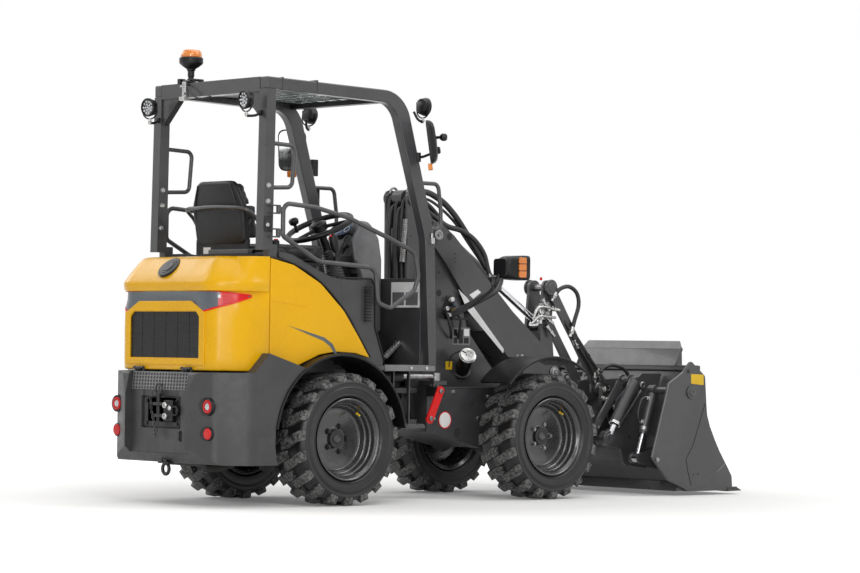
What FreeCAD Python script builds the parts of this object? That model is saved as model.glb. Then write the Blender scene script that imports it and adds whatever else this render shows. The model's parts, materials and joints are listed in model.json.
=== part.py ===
"""Compact articulated wheel loader with a four-post canopy and a two-piece bucket.

Places along the machine are counted from the rear axle, forwards positive, in millimetres.
Every shape is shifted at the end so that the origin lies on the ground under the middle of the
machine's length. +Y is the machine's left side and +Z is up.
"""
import FreeCAD, Part

import math
import os

from FreeCAD import Vector

# Overall sizes
REAR_REACH = 850.0          # rear axle to the counterweight's rear face
FRONT_REACH = 2946.0        # rear axle to the bucket's cutting tip
WHEELBASE = 1484.0
TRACK = 840.0
CANOPY_TOP = 2198.0
BODY_HALF_WIDTH = 480.0     # outer face of the side panels and canopy

# Wheels
TYRE_RADIUS = 345.0
TYRE_WIDTH = 267.0
RIM_RADIUS = 196.0
RIM_LIP_RADIUS = 212.0
RIM_DISC_INSET = 106.0      # lip to disc
RIM_WALL = 8.0
HUB_RADIUS = 62.0
HUB_SPIGOT_RADIUS = 48.0
BEAD_GAP = 0.3

# Chassis
CHASSIS_HALF_WIDTH = 200.0
CHASSIS_FLOOR = 290.0
CHASSIS_TOP = 620.0
CHASSIS_WALL = 20.0
PIVOT_X = 742.0             # articulation axis
PIVOT_PIN_RADIUS = 30.0
PIVOT_LEVELS = (420.0, 590.0)
LUG_THICKNESS = 28.0
LUG_TIP_RADIUS = 75.0
HOUSING_RADIUS = 118.0      # axle centre housing
LUG_GAP = 2.0
PIN_CLEARANCE = 0.05
SEAT_GAP = 0.3              # gap of a piece laid against another
AXLE_RADIUS = 52.0

# Rear wheel arch
ARCH_X = -45.0
FENDER_RADIUS = 443.0       # outer face
FENDER_THICKNESS = 12.0
FENDER_INNER_Y = 275.3
FENDER_OUTER_Y = 548.0

# Engine hood and panels
PANEL_THICKNESS = 18.0
HOOD_FRONT_X = -490.0
HOOD_REAR_X = -790.0
HOOD_FLOOR = 694.0
HOOD_TOP = 1279.0
HOOD_HINGE = (-804.0, 700.0)
HOOD_HINGE_Y = 200.0
HOOD_KNUCKLE_HALF = 30.0
HOOD_KNUCKLE_RADIUS = 12.0
HOOD_PIN_RADIUS = 7.0
WING_PEAK = (-532.0, 786.0)
WING_INNER_Y = 462.3
WEIGHT_TOP = 686.0          # flat of the counterweight under the hood
SHUT_GAP = 6.0              # gap between a moving panel and its neighbour
GRILLE_HALF_WIDTH = 270.0
GRILLE_FLOOR = 757.0
GRILLE_TOP = 1010.0

# Operator's place
FLOOR_TOP = 728.0
FLOOR_THICKNESS = 24.0
FLOOR_FRONT_X = 672.0
FLOOR_REAR_X = -20.0
DECK_HALF_WIDTH = 275.0
SHEET = 14.0                # wall of the welded tub
DASH_X = 600.0              # rear face of the front panel
SEAT_DECK_TOP = 1190.0
SEAT_DECK_FRONT_X = 120.0
CONSOLE_TOP = 1176.0
BEAM_REAR_X = -484.0
BEAM_FRONT_X = -430.0
BEAM_TOP = 670.0             # cross beam that carries the rear posts

# Steering wheel
WHEEL_CENTRE = Vector(236, 0, 1461)
WHEEL_LEAN = Vector(-150, 0, 320).normalize()
WHEEL_STEM = 44.0

# Canopy
FRAME_OUTER_Y = 474.0
FRAME_INNER_Y = 414.0       # inner face of the canopy tubes
POST_DEPTH = 66.0
POST_WIDTH = 60.0
ROOF_TUBE = 62.0
REAR_POST_X = -500.0
POST_JOG_Z = 1312.0         # where the rear posts step forward of the hood
POST_CAP = 14.0
FRONT_POST_FOOT_X = 668.0
ROOF_BEND_X = 420.0

# Side gates
GATE_HINGE_X = -448.0
GATE_HINGE_Y = -490.0
GATE_TUBE = 12.0
GATE_PIN_RADIUS = 7.0
GATE_HINGE_LEVELS = (1400.0, 1520.0)
GATE_BARREL_HALF = 16.0
GATE_LUG_THICKNESS = 7.0

# Linkage pivots (distance from the rear axle, height)
BOOM_PIVOT = (975.0, 1445.5)
TILT_BASE = (826.0, 1646.0)
COUPLER_PIVOT = (2240.0, 314.0)
LINK_LOW = (2296.0, 607.0)
ROCKER_PIVOT = (1895.0, 694.0)
ROCKER_MID = (1884.0, 967.0)
ROCKER_TOP = (1897.0, 1178.0)
LIFT_BASE = (1000.0, 400.0)
LIFT_EYE = (1124.7, 1096.2)
CLAM_PIVOT = (2535.0, 590.0)
CLAM_EAR = (2370.0, 600.0)
CLAM_ROD_EYE = (2240.0, 215.0)
STEER_BASE = (250.0, -175.0)
STEER_EYE = (880.0, -235.0)
STEER_HEIGHT = 668.0
STEER_STUD_RADIUS = 12.0

# Mast and boom sections
MAST_PLATE = 15.0
MAST_INNER = 80.0           # half the clear width between the mast plates
BOOM_INNER = 103.0          # half the clear width between the boom plates
BOOM_PLATE = 16.0
ROCKER_INNER = 48.0
ROCKER_PLATE = 18.0
LINK_PLATE = 16.0
EYE_HALF_WIDTH = 40.0
RUN_GAP = 0.8               # side gap of a moving eye or plate
LINK_INNER = ROCKER_INNER + ROCKER_PLATE + RUN_GAP

# Pins of the linkage
BOOM_PIN_RADIUS = 28.0
MAST_PIN_RADIUS = 22.0
ROCKER_PIN_RADIUS = 24.0
LINK_PIN_RADIUS = 20.0
LINK_EYE_RADIUS = 38.0
COUPLER_PIN_RADIUS = 26.0
CLAM_STUD_RADIUS = 16.0
CLAM_BOSS_RADIUS = 20.0
CLAM_PIVOT_RADIUS = 20.0
TRUNNION_RADIUS = 22.0

# Cylinders
LIFT_BARREL_RADIUS = 46.0
LIFT_ROD_RADIUS = 24.0
TILT_BARREL_RADIUS = 34.0
TILT_ROD_RADIUS = 19.0
STEER_BARREL_RADIUS = 27.0
STEER_ROD_RADIUS = 14.0
CLAM_BARREL_RADIUS = 27.0
CLAM_ROD_RADIUS = 15.0

# Bucket
BUCKET_HALF_WIDTH = 590.0
SIDE_PLATE = 15.0
BLADE_HALF_WIDTH = 568.0
BLADE_THICKNESS = 12.0
CLAM_CYLINDER_Y = 450.0
HOOK_PLATE_Y = 310.0
HOOK_PLATE_THICKNESS = 20.0
COUPLER_ARM_INNER = 150.0
COUPLER_ARM_PLATE = 24.0
GUARD_HALF_WIDTH = 405.0

# Lamps in the counterweight: (height, radius)
TAIL_LAMPS = ((513.0, 36.0), (376.0, 27.0))
TAIL_LAMP_Y = 383.0
TAIL_LAMP_SEAT_X = -790.0

# Hitch
HITCH_FACE_X = -788.0       # face of the recess
PANEL_FACE_X = -804.0         # centre panel above the hitch, set in to let its pin out
PANEL_HALF_WIDTH = 150.0
HITCH_HEIGHT = 490.0
HITCH_PIN_RADIUS = 12.0
TOW_EYE_PLACE = (-770.0, 186.0)
TOW_EYE_RADIUS = 27.0
TOW_BAR_RADIUS = 9.0

MIDDLE_X = (FRONT_REACH - REAR_REACH) / 2
os.makedirs("parts", exist_ok=True)


def save(name, shape):
    """Shift a finished shape to the origin under the machine's middle and write it."""
    placed = shape.copy()
    placed.translate(Vector(-MIDDLE_X, 0, 0))
    placed.exportStep("parts/" + name + ".step")


def block(x0, x1, y0, y1, z0, z1):
    """Box between two corners."""
    return Part.makeBox(x1 - x0, y1 - y0, z1 - z0, Vector(x0, y0, z0))


def rod_y(x, z, y0, y1, radius):
    """Cylinder across the machine."""
    return Part.makeCylinder(radius, y1 - y0, Vector(x, y0, z), Vector(0, 1, 0))


def rod_z(x, y, z0, z1, radius):
    """Upright cylinder."""
    return Part.makeCylinder(radius, z1 - z0, Vector(x, y, z0), Vector(0, 0, 1))


def rod_between(start, end, radius):
    """Cylinder from one point to another."""
    span = end - start
    return Part.makeCylinder(radius, span.Length, start, span)


def rounded_wire(corners, radius):
    """Closed wire through corner points, each corner turned by an arc of the given radius.

    radius is one number, or a list with one number per corner; 0 leaves the corner sharp.
    """
    count = len(corners)
    radii = radius if isinstance(radius, (list, tuple)) else [radius] * count
    starts, ends, middles = [], [], []
    for i, corner in enumerate(corners):
        before = (corners[i - 1] - corner).normalize()
        after = (corners[(i + 1) % count] - corner).normalize()
        half_angle = before.getAngle(after) / 2
        if radii[i] <= 0 or abs(half_angle - math.pi / 2) < 1e-4:
            starts.append(corner)
            ends.append(corner)
            middles.append(None)
            continue
        reach = radii[i] / math.tan(half_angle)
        bisector = (before + after).normalize()
        centre = corner + bisector * (radii[i] / math.sin(half_angle))
        starts.append(corner + before * reach)
        ends.append(corner + after * reach)
        middles.append(centre - bisector * radii[i])
    edges = []
    for i in range(count):
        if middles[i] is not None:
            edges.append(Part.Arc(starts[i], middles[i], ends[i]).toShape())
        following = starts[(i + 1) % count]
        if ends[i].distanceToPoint(following) > 1e-6:
            edges.append(Part.LineSegment(ends[i], following).toShape())
    return Part.Wire(edges)


def plate_y(points, y0, y1, radius=0.0):
    """Plate seen from the side: (x, z) corners, extruded across the machine."""
    wire = rounded_wire([Vector(x, y0, z) for x, z in points], radius)
    return Part.Face(wire).extrude(Vector(0, y1 - y0, 0))


def plate_z(points, z0, z1, radius=0.0):
    """Plate seen from above: (x, y) corners, extruded upwards."""
    wire = rounded_wire([Vector(x, y, z0) for x, y in points], radius)
    return Part.Face(wire).extrude(Vector(0, 0, z1 - z0))


def plate_x(points, x0, x1, radius=0.0):
    """Plate seen from the front: (y, z) corners, extruded along the machine."""
    wire = rounded_wire([Vector(x0, y, z) for y, z in points], radius)
    return Part.Face(wire).extrude(Vector(x1 - x0, 0, 0))


def other_side(shape):
    """The same piece on the other side of the machine."""
    return shape.mirror(Vector(0, 0, 0), Vector(0, 1, 0))


def pair(shape):
    """A piece and its mirror image, as two solids."""
    return Part.makeCompound([shape, other_side(shape)])


def joined(shapes):
    """One solid from touching or crossing shapes."""
    whole = shapes[0].fuse(shapes[1:])
    return whole.removeSplitter()


def turn_path(points, radius):
    """Open wire of straight runs joined by tangent arcs."""
    edges = []
    last = points[0]
    for i in range(1, len(points) - 1):
        corner = points[i]
        before = (points[i - 1] - corner).normalize()
        after = (points[i + 1] - corner).normalize()
        half_angle = before.getAngle(after) / 2
        bend = radius[i - 1] if isinstance(radius, (list, tuple)) else radius
        reach = bend / math.tan(half_angle)
        bisector = (before + after).normalize()
        centre = corner + bisector * (bend / math.sin(half_angle))
        start = corner + before * reach
        end = corner + after * reach
        edges.append(Part.LineSegment(last, start).toShape())
        edges.append(Part.Arc(start, centre - bisector * bend, end).toShape())
        last = end
    edges.append(Part.LineSegment(last, points[-1]).toShape())
    return Part.Wire(edges)


def bent_tube(points, tube_radius, bend_radius):
    """Round bar along a path of straight runs and arcs."""
    path = turn_path(points, bend_radius)
    direction = (points[1] - points[0]).normalize()
    circle = Part.Circle(points[0], direction, tube_radius).toShape()
    return path.makePipeShell([Part.Wire([circle])], True, True)


def ring_profile(centre_y, points):
    """Solid of revolution about an axis across the machine through the origin.

    points are (distance outwards from the wheel's centre plane, radius).
    """
    wire = rounded_wire([Vector(0, centre_y + y, r) for y, r in points], 0)
    return Part.Face(wire).revolve(Vector(0, centre_y, 0), Vector(0, 1, 0), 360)


# --- wheels -------------------------------------------------------------------------------------

def tyre(x, side):
    """Tyre with rounded shoulders, seated on the rim."""
    half = TYRE_WIDTH / 2
    inner = RIM_RADIUS + BEAD_GAP
    bead = half * 0.80
    shoulder = TYRE_RADIUS - 60
    clear = RIM_LIP_RADIUS + 6
    corners = [(-bead, inner), (-bead, clear), (-half, clear + 30), (-half, shoulder),
               (-half * 0.84, TYRE_RADIUS), (half * 0.84, TYRE_RADIUS), (half, shoulder),
               (half, clear + 30), (bead, clear), (bead, inner)]
    centre_y = side * TRACK / 2
    radii = [0, 0, 30, 40, 22, 22, 40, 30, 0, 0]
    wire = rounded_wire([Vector(0, centre_y + y, r) for y, r in corners], radii)
    solid = Part.Face(wire).revolve(Vector(0, centre_y, 0), Vector(0, 1, 0), 360)
    solid.translate(Vector(x, 0, TYRE_RADIUS))
    return solid


def rim(x, side):
    """Steel rim: barrel with two lips and a dished disc with its hub bore."""
    half = TYRE_WIDTH / 2
    lip = half * 0.90
    seat = half * 0.80 + BEAD_GAP
    disc_face = lip - RIM_DISC_INSET
    inner = RIM_RADIUS - RIM_WALL
    corners = [(-lip, RIM_LIP_RADIUS), (-seat - 4, RIM_LIP_RADIUS), (-seat - 4, RIM_RADIUS),
               (seat + 4, RIM_RADIUS), (seat + 4, RIM_LIP_RADIUS), (lip, RIM_LIP_RADIUS),
               (lip, inner), (disc_face, inner - 22), (disc_face, HUB_SPIGOT_RADIUS),
               (disc_face - RIM_WALL, HUB_SPIGOT_RADIUS), (disc_face - RIM_WALL, inner - 30),
               (disc_face - 22, inner), (-lip, inner)]
    centre_y = side * TRACK / 2
    solid = ring_profile(centre_y, [(side * y, r) for y, r in corners])
    solid.translate(Vector(x, 0, TYRE_RADIUS))
    return solid


def axle(x):
    """Axle tube with a centre housing, hub flanges and the spigots that carry the rims."""
    half = TYRE_WIDTH / 2
    disc_inner = TRACK / 2 + half * 0.90 - RIM_DISC_INSET - RIM_WALL
    flange = disc_inner - RUN_GAP
    spigot = HUB_SPIGOT_RADIUS - PIN_CLEARANCE
    tube = rod_y(x, TYRE_RADIUS, -flange, flange, AXLE_RADIUS)
    housing = Part.makeSphere(HOUSING_RADIUS, Vector(x, 0, TYRE_RADIUS))
    parts = [tube, housing]
    for side in (-1, 1):
        y_flange = sorted((side * (flange - 60), side * flange))
        y_spigot = sorted((side * flange, side * (disc_inner + RIM_WALL + 14)))
        parts.append(rod_y(x, TYRE_RADIUS, y_flange[0], y_flange[1], HUB_RADIUS + 50))
        parts.append(rod_y(x, TYRE_RADIUS, y_spigot[0], y_spigot[1], spigot))
    return joined(parts)


# --- rear frame -----------------------------------------------------------------------------------

def rear_chassis():
    """Box frame with axle saddles, an underbody tank and the rear half of the pivot."""
    half = CHASSIS_HALF_WIDTH
    inner_half = half - CHASSIS_WALL
    outer = block(-640, 600, -half, half, CHASSIS_FLOOR + 90, CHASSIS_TOP)
    inner = block(-620, 580, -inner_half, inner_half, CHASSIS_FLOOR + 110, CHASSIS_TOP + 1)
    frame = outer.cut(inner)
    frame = frame.cut(rod_y(0, TYRE_RADIUS, -300, 300, AXLE_RADIUS + SEAT_GAP))
    frame = frame.cut(Part.makeSphere(HOUSING_RADIUS + SEAT_GAP, Vector(0, 0, TYRE_RADIUS)))
    parts = [frame]
    pin_reach = LUG_THICKNESS * 1.5 + LUG_GAP + 6
    for level in PIVOT_LEVELS:
        for step in (-1, 1):
            z0 = level - LUG_THICKNESS / 2 + step * (LUG_THICKNESS + LUG_GAP)
            parts.append(pivot_lug(560, 120, z0))
        parts.append(rod_z(PIVOT_X, 0, level - pin_reach, level + pin_reach, PIVOT_PIN_RADIUS))
    parts.append(block(STEER_BASE[0] - 45, STEER_BASE[0] + 45, -half, -130,
                       CHASSIS_TOP - 30, STEER_HEIGHT - 28))
    parts.append(rod_z(STEER_BASE[0], STEER_BASE[1], STEER_HEIGHT - 29, STEER_HEIGHT + 30, STEER_STUD_RADIUS))
    parts.append(plate_x([(-190, 200), (190, 200), (190, 380), (-190, 380)], -640, -250, 40))
    return joined(parts)


def pivot_lug(root_x, root_half, z0):
    """Tapered lug of the articulation with its round end."""
    tip = LUG_TIP_RADIUS
    taper = plate_z([(root_x, -root_half), (root_x, root_half), (PIVOT_X, tip), (PIVOT_X, -tip)],
                    z0, z0 + LUG_THICKNESS)
    return joined([taper, rod_z(PIVOT_X, 0, z0, z0 + LUG_THICKNESS, tip)])


def engine_block():
    """Plain mass of the engine, on the chassis under the hood and astride the cross beam."""
    half = CHASSIS_HALF_WIDTH - CHASSIS_WALL / 2
    parts = [block(-600, -80, -half, half, BEAM_TOP + SHUT_GAP, 1060),
             block(-600, BEAM_REAR_X - SHUT_GAP, -half, half, CHASSIS_TOP, BEAM_TOP + SHUT_GAP),
             block(BEAM_FRONT_X + SHUT_GAP, -80, -half, half, CHASSIS_TOP, BEAM_TOP + SHUT_GAP)]
    return joined(parts)


def counterweight():
    """Cast rear weight with side wings that reach the wheel arches."""
    plan = [(-REAR_REACH, -250), (-REAR_REACH, 250), (-790, 400), (-640, 540), (-240, 540),
            (-240, -540), (-640, -540), (-790, -400)]
    body = plate_z(plan, 218, 800, [40, 40, 60, 90, 0, 0, 90, 60])
    side = [(-REAR_REACH - 1, 300), (-REAR_REACH - 1, 560), (-824, WEIGHT_TOP), (-626, WEIGHT_TOP),
            WING_PEAK, (-250, 700), (-250, 218), (-760, 218)]
    body = body.common(plate_y(side, -560, 560, [0, 30, 20, 0, 0, 0, 0, 40]))
    body = body.cut(rod_y(ARCH_X, TYRE_RADIUS, -600, 600, FENDER_RADIUS + SEAT_GAP))
    body = body.cut(block(-640, 0, -262, 262, 100, 900))
    body = body.cut(block(-600, 0, -WING_INNER_Y, WING_INNER_Y, CHASSIS_TOP - 20, 900))
    body = body.cut(block(-REAR_REACH - 5, HITCH_FACE_X, -165, 165, 395, 560))
    body = body.cut(block(-REAR_REACH - 5, PANEL_FACE_X, -PANEL_HALF_WIDTH, PANEL_HALF_WIDTH, 540, 800))
    for z, radius in TAIL_LAMPS:
        recess = Part.makeCylinder(radius + 9, 100, Vector(TAIL_LAMP_SEAT_X - 100, TAIL_LAMP_Y, z),
                                   Vector(1, 0, 0))
        body = body.cut(recess).cut(other_side(recess))
    x, z = HOOD_HINGE
    parts = [body]
    for centre in (-HOOD_HINGE_Y, HOOD_HINGE_Y):
        reach = HOOD_KNUCKLE_HALF + SEAT_GAP
        for y in (centre - reach - 8, centre + reach):
            parts.append(block(x - 12, x + 12, y, y + 8, WEIGHT_TOP - 10, z))
            parts.append(rod_y(x, z, y, y + 8, HOOD_KNUCKLE_RADIUS))
        parts.append(rod_y(x, z, centre - reach, centre + reach, HOOD_PIN_RADIUS))
    return joined(parts)


def rear_fender():
    """Right rear mudguard: a curved strip over the tyre."""
    outer = rod_y(ARCH_X, TYRE_RADIUS, -FENDER_OUTER_Y, -FENDER_INNER_Y, FENDER_RADIUS)
    inner = rod_y(ARCH_X, TYRE_RADIUS, -600, 0, FENDER_RADIUS - FENDER_THICKNESS)
    keep = block(ARCH_X - 500, ARCH_X + 500, -600, 0, 400, 900)
    return outer.cut(inner).common(keep)


def side_panel():
    """Right yellow flank panel between the hood, the console and the mudguard."""
    edge = [(-484, 1272), (-330, 1240), (-150, 1150), (10, 1010), (110, 880), (190, 768),
            (90, 792), (-45, 798), (-150, 783), (-256, 742), (-300, 724), (-484, 782)]
    return plate_y(edge, -BODY_HALF_WIDTH, -BODY_HALF_WIDTH + PANEL_THICKNESS,
                   [0, 120, 200, 200, 120, 0, 60, 90, 90, 60, 20, 0])


def platform():
    """Floor plate, front panel, seat deck and steps, welded as one tub."""
    edge = BODY_HALF_WIDTH - 12
    under = FLOOR_TOP - FLOOR_THICKNESS
    deck = DECK_HALF_WIDTH
    lug_top = PIVOT_LEVELS[1] + LUG_THICKNESS * 1.5 + LUG_GAP
    parts = [block(FLOOR_REAR_X, FLOOR_FRONT_X, -edge, edge, under, FLOOR_TOP),
             block(-470, SEAT_DECK_FRONT_X, -deck, deck, SEAT_DECK_TOP - SHEET, SEAT_DECK_TOP),
             block(SEAT_DECK_FRONT_X - SHEET, SEAT_DECK_FRONT_X, -deck, deck, FLOOR_TOP, SEAT_DECK_TOP),
             block(BEAM_REAR_X, BEAM_FRONT_X, -458, 458, CHASSIS_TOP, BEAM_TOP),
             block(575, 600, -110, 110, lug_top + SEAT_GAP, under)]
    for shape in (block(-470, SEAT_DECK_FRONT_X, -deck, -deck + SHEET, BEAM_TOP - 10, SEAT_DECK_TOP),
                  block(DASH_X, DASH_X + 15, -FRAME_INNER_Y + SEAT_GAP, -165, FLOOR_TOP, 1180),
                  block(60, 195, -CHASSIS_HALF_WIDTH, -CHASSIS_HALF_WIDTH + CHASSIS_WALL, CHASSIS_TOP, under),
                  block(470, 610, -455, -300, 396, 414),
                  block(480, 490, -340, -320, 396, under + 4),
                  block(592, 602, -340, -320, 396, under + 4)):
        parts += [shape, other_side(shape)]
    arch = rod_y(ARCH_X, TYRE_RADIUS, -600, -FENDER_INNER_Y + SEAT_GAP, FENDER_RADIUS + SEAT_GAP)
    return joined(parts).cut(arch).cut(other_side(arch))


def side_console():
    """Right-hand box beside the seat, with the cover that runs back to the rear post."""
    edge = [(-20, FLOOR_TOP), (-20, 1100), (-30, CONSOLE_TOP), (215, CONSOLE_TOP), (228, 1150),
            (236, 930), (300, 760), (300, FLOOR_TOP)]
    box = plate_y(edge, -460, -DECK_HALF_WIDTH - SEAT_GAP, [0, 0, 0, 20, 0, 40, 0, 0])
    curve = [(-426, 1278), (-330, 1250), (-150, 1160), (-10, 1044), (-10, CONSOLE_TOP),
             (-60, CONSOLE_TOP + 4), (-150, 1212), (-330, 1292), (-426, 1306)]
    cover = plate_y(curve, -FRAME_OUTER_Y, -DECK_HALF_WIDTH - SEAT_GAP, [0, 120, 200, 0, 0, 40, 200, 120, 0])
    arch = rod_y(ARCH_X, TYRE_RADIUS, -600, 0, FENDER_RADIUS + SEAT_GAP)
    return joined([box, cover]).cut(arch)


def seat_base():
    """Suspension box under the seat with the carrier behind the backrest."""
    box = plate_z([(-330, -190), (70, -190), (70, 190), (-330, 190)],
                  SEAT_DECK_TOP, SEAT_DECK_TOP + 70, 20)
    foot = block(-420, -300, -120, 120, SEAT_DECK_TOP + 40, SEAT_DECK_TOP + 56)
    carrier = plate_y([(-420, SEAT_DECK_TOP + 40), (-408, SEAT_DECK_TOP + 40), (-420.3, 1375),
                       (-432.3, 1500), (-446, 1500), (-434, 1375)], -120, 120)
    return joined([box, foot, carrier])


def seat_cushions():
    """Seat squab and backrest as plain closed solids."""
    squab = plate_z([(-330, -235), (120, -235), (120, 235), (-330, 235)],
                    SEAT_DECK_TOP + 70.3, SEAT_DECK_TOP + 165, 50)
    lower = plate_y([(-420, 1375), (-335, 1375), (-362, 1560), (-438, 1560)], -240, 240, 12)
    upper = plate_y([(-436, 1556), (-366, 1556), (-396, 1680), (-451, 1680)], -130, 130, 12)
    return Part.makeCompound([squab, joined([lower, upper])])


def steering_column():
    """Pedestal with the display pod and the shaft that carries the steering wheel."""
    post = plate_y([(600, FLOOR_TOP), (625, 1000), (560, 1260), (430, 1240), (480, 1000), (500, FLOOR_TOP)],
                   -80, 80, [0, 60, 30, 30, 60, 0])
    post = post.common(block(0, DASH_X - SEAT_GAP, -100, 100, 0, 2000))
    pod = plate_y([(380, 1420), (395, 1245), (560, 1245), (585, 1380), (470, 1500)], -95, 95, 25)
    carrier = block(325, 470, -40, 40, 1205, 1262)
    top = WHEEL_CENTRE - WHEEL_LEAN * (WHEEL_STEM + SEAT_GAP)
    shaft = rod_between(WHEEL_CENTRE - WHEEL_LEAN * 255, top, 22)
    return joined([post, pod, carrier, shaft])


def steering_wheel():
    """Rim, three spokes, hub and stem, square to the column."""
    parts = [Part.makeTorus(178, 15, WHEEL_CENTRE, WHEEL_LEAN),
             Part.makeCylinder(42, 26, WHEEL_CENTRE - WHEEL_LEAN * 16, WHEEL_LEAN),
             Part.makeCylinder(18, WHEEL_STEM, WHEEL_CENTRE - WHEEL_LEAN * WHEEL_STEM, WHEEL_LEAN)]
    across = WHEEL_LEAN.cross(Vector(0, 1, 0)).normalize()
    for degrees in (90, 210, 330):
        angle = math.radians(degrees)
        direction = Vector(0, 1, 0) * math.cos(angle) + across * math.sin(angle)
        parts.append(rod_between(WHEEL_CENTRE, WHEEL_CENTRE + direction * 176, 10))
    return joined(parts)


def canopy_side():
    """Right-hand bent tube: front post and roof rail in one, standing on the floor plate."""
    top = CANOPY_TOP
    foot = FRONT_POST_FOOT_X
    back = REAR_POST_X - 22
    outer = [(back, top), (ROOF_BEND_X, top - 20), (foot - 25, 1420), (foot, FLOOR_TOP),
             (foot - POST_DEPTH + 14, FLOOR_TOP), (foot - POST_DEPTH - 26, 1410),
             (ROOF_BEND_X - 70, top - ROOF_TUBE - 22), (back + 70, top - ROOF_TUBE), (back, top - ROOF_TUBE)]
    return plate_y(outer, -FRAME_OUTER_Y, -FRAME_INNER_Y, [0, 190, 300, 0, 0, 300, 130, 0, 0])


def canopy_rear():
    """Two rear posts with the gate hinge lugs, joined at the top by the rear roof tube."""
    seat_z = CANOPY_TOP - ROOF_TUBE
    back = REAR_POST_X - 22
    parts = [block(back, back + 60, -FRAME_INNER_Y + SEAT_GAP, FRAME_INNER_Y - SEAT_GAP, seat_z, CANOPY_TOP),
             block(back, back + 60, -FRAME_OUTER_Y, FRAME_OUTER_Y, seat_z - POST_CAP, seat_z)]
    upper = plate_y([(REAR_POST_X - 36, POST_JOG_Z), (REAR_POST_X + 28, POST_JOG_Z),
                     (back + 60, seat_z - POST_CAP), (back, seat_z - POST_CAP)],
                    -FRAME_OUTER_Y, -FRAME_INNER_Y)
    lower = block(BEAM_REAR_X, BEAM_FRONT_X, -FRAME_INNER_Y - 47.7, -FRAME_INNER_Y, BEAM_TOP, POST_JOG_Z + 30)
    for shape in [upper, lower] + gate_lugs():
        parts += [shape, other_side(shape)]
    return joined(parts)


def gate_lugs():
    """Lugs above and below each gate hinge barrel, with the hinge pin."""
    shapes = []
    outer = GATE_HINGE_Y - 10
    for level in GATE_HINGE_LEVELS:
        gap = GATE_BARREL_HALF + SEAT_GAP
        for z in (level - gap - GATE_LUG_THICKNESS, level + gap):
            shapes.append(plate_z([(-500, -FRAME_OUTER_Y + 2), (-500, outer), (GATE_HINGE_X + 10, outer),
                                   (GATE_HINGE_X + 10, -FRAME_OUTER_Y + 2)],
                                  z, z + GATE_LUG_THICKNESS, [0, 0, 9, 0]))
        shapes.append(rod_z(GATE_HINGE_X, GATE_HINGE_Y, level - gap, level + gap, GATE_PIN_RADIUS))
    return shapes


def roof_panel():
    """Roof sheet on its rim between the tubes."""
    y_in = BODY_HALF_WIDTH - 6 - POST_WIDTH
    x0 = REAR_POST_X + 38.3
    sheet = block(x0, ROOF_BEND_X - 60, -y_in + 0.3, y_in - 0.3, CANOPY_TOP - 40, CANOPY_TOP - 26)
    front = block(ROOF_BEND_X - 60, ROOF_BEND_X, -y_in + 0.3, y_in - 0.3, CANOPY_TOP - 74, CANOPY_TOP - 26)
    return joined([sheet, front])


def beacon():
    """Warning beacon: foot, stem and lens on the rear roof tube."""
    x, y = REAR_POST_X + 8, 200
    foot = rod_z(x, y, CANOPY_TOP, CANOPY_TOP + 12, 26)
    stem = rod_z(x, y, CANOPY_TOP + 12, CANOPY_TOP + 100, 14)
    flange = rod_z(x, y, CANOPY_TOP + 100, CANOPY_TOP + 136, 62)
    lens = rod_z(x, y, CANOPY_TOP + 136, CANOPY_TOP + 176, 54)
    return joined([foot, stem, flange, lens])


def work_lights():
    """Four round lamps on short brackets: two behind and two in front of the canopy."""
    rear_z = CANOPY_TOP - 123
    body = Part.makeCylinder(46, 44, Vector(-577, -407, rear_z), Vector(-1, 0, 0))
    rear = joined([body, block(-590, -500, -442, -418, rear_z - 12, rear_z + 12)]).cut(canopy_rear())
    front_z = CANOPY_TOP - 90
    body = Part.makeCylinder(46, 44, Vector(523, -473, front_z), Vector(1, 0, 0))
    front = joined([body, block(400, 535, -446, -428, front_z - 12, front_z + 12)]).cut(canopy_side())
    return Part.makeCompound([rear, other_side(rear), front, other_side(front)])


def mirrors():
    """A mirror each side on a bracket from the front post."""
    top = CANOPY_TOP - 163
    glass = plate_y([(500, top - 235), (545, top - 235), (522, top), (480, top)], -640, -505, 14)
    arm = rod_between(Vector(515, -440, top - 205), Vector(524, -560, top - 185), 9)
    return pair(joined([glass, arm]).cut(canopy_side()))


def grab_handles():
    """Bent tube handles at the rear and front posts."""
    y = -432
    top = CANOPY_TOP - 336
    rear = bent_tube([Vector(REAR_POST_X + 20, y, top), Vector(-298, y, top - 7), Vector(-316, y, top - 222),
                      Vector(REAR_POST_X + 22, y, top - 230)], 11, 34)
    front = bent_tube([Vector(560, y, 1704), Vector(700, y, 1704), Vector(722, y, 1560), Vector(722, y, 1462),
                       Vector(610, y, 1462)], 11, [36, 60, 36])
    rear = rear.cut(canopy_rear())
    front = front.cut(canopy_side())
    return Part.makeCompound([rear, other_side(rear), front, other_side(front)])


def tail_lamps():
    """Two round lamps and two reflectors on each side, set in the counterweight."""
    lamps = []
    for z, radius in TAIL_LAMPS:
        lamp = Part.makeCylinder(radius, 16, Vector(TAIL_LAMP_SEAT_X - 16, TAIL_LAMP_Y, z), Vector(1, 0, 0))
        lamps += [lamp, other_side(lamp)]
    return Part.makeCompound(lamps)


def rear_hitch():
    """Drawbar jaw with an upright pin bore."""
    face = HITCH_FACE_X
    parts = [block(face - 12, face, -120, 120, HITCH_HEIGHT - 62, HITCH_HEIGHT + 62)]
    for z in (HITCH_HEIGHT - 38, HITCH_HEIGHT + 22):
        parts.append(plate_z([(face, -55), (face, 55), (face - 58, 36), (face - 58, -36)], z, z + 16,
                             [0, 0, 20, 20]))
    bore = rod_z(face - 34, 0, HITCH_HEIGHT - 80, HITCH_HEIGHT + 80, HITCH_PIN_RADIUS)
    return joined(parts).cut(bore)


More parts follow.
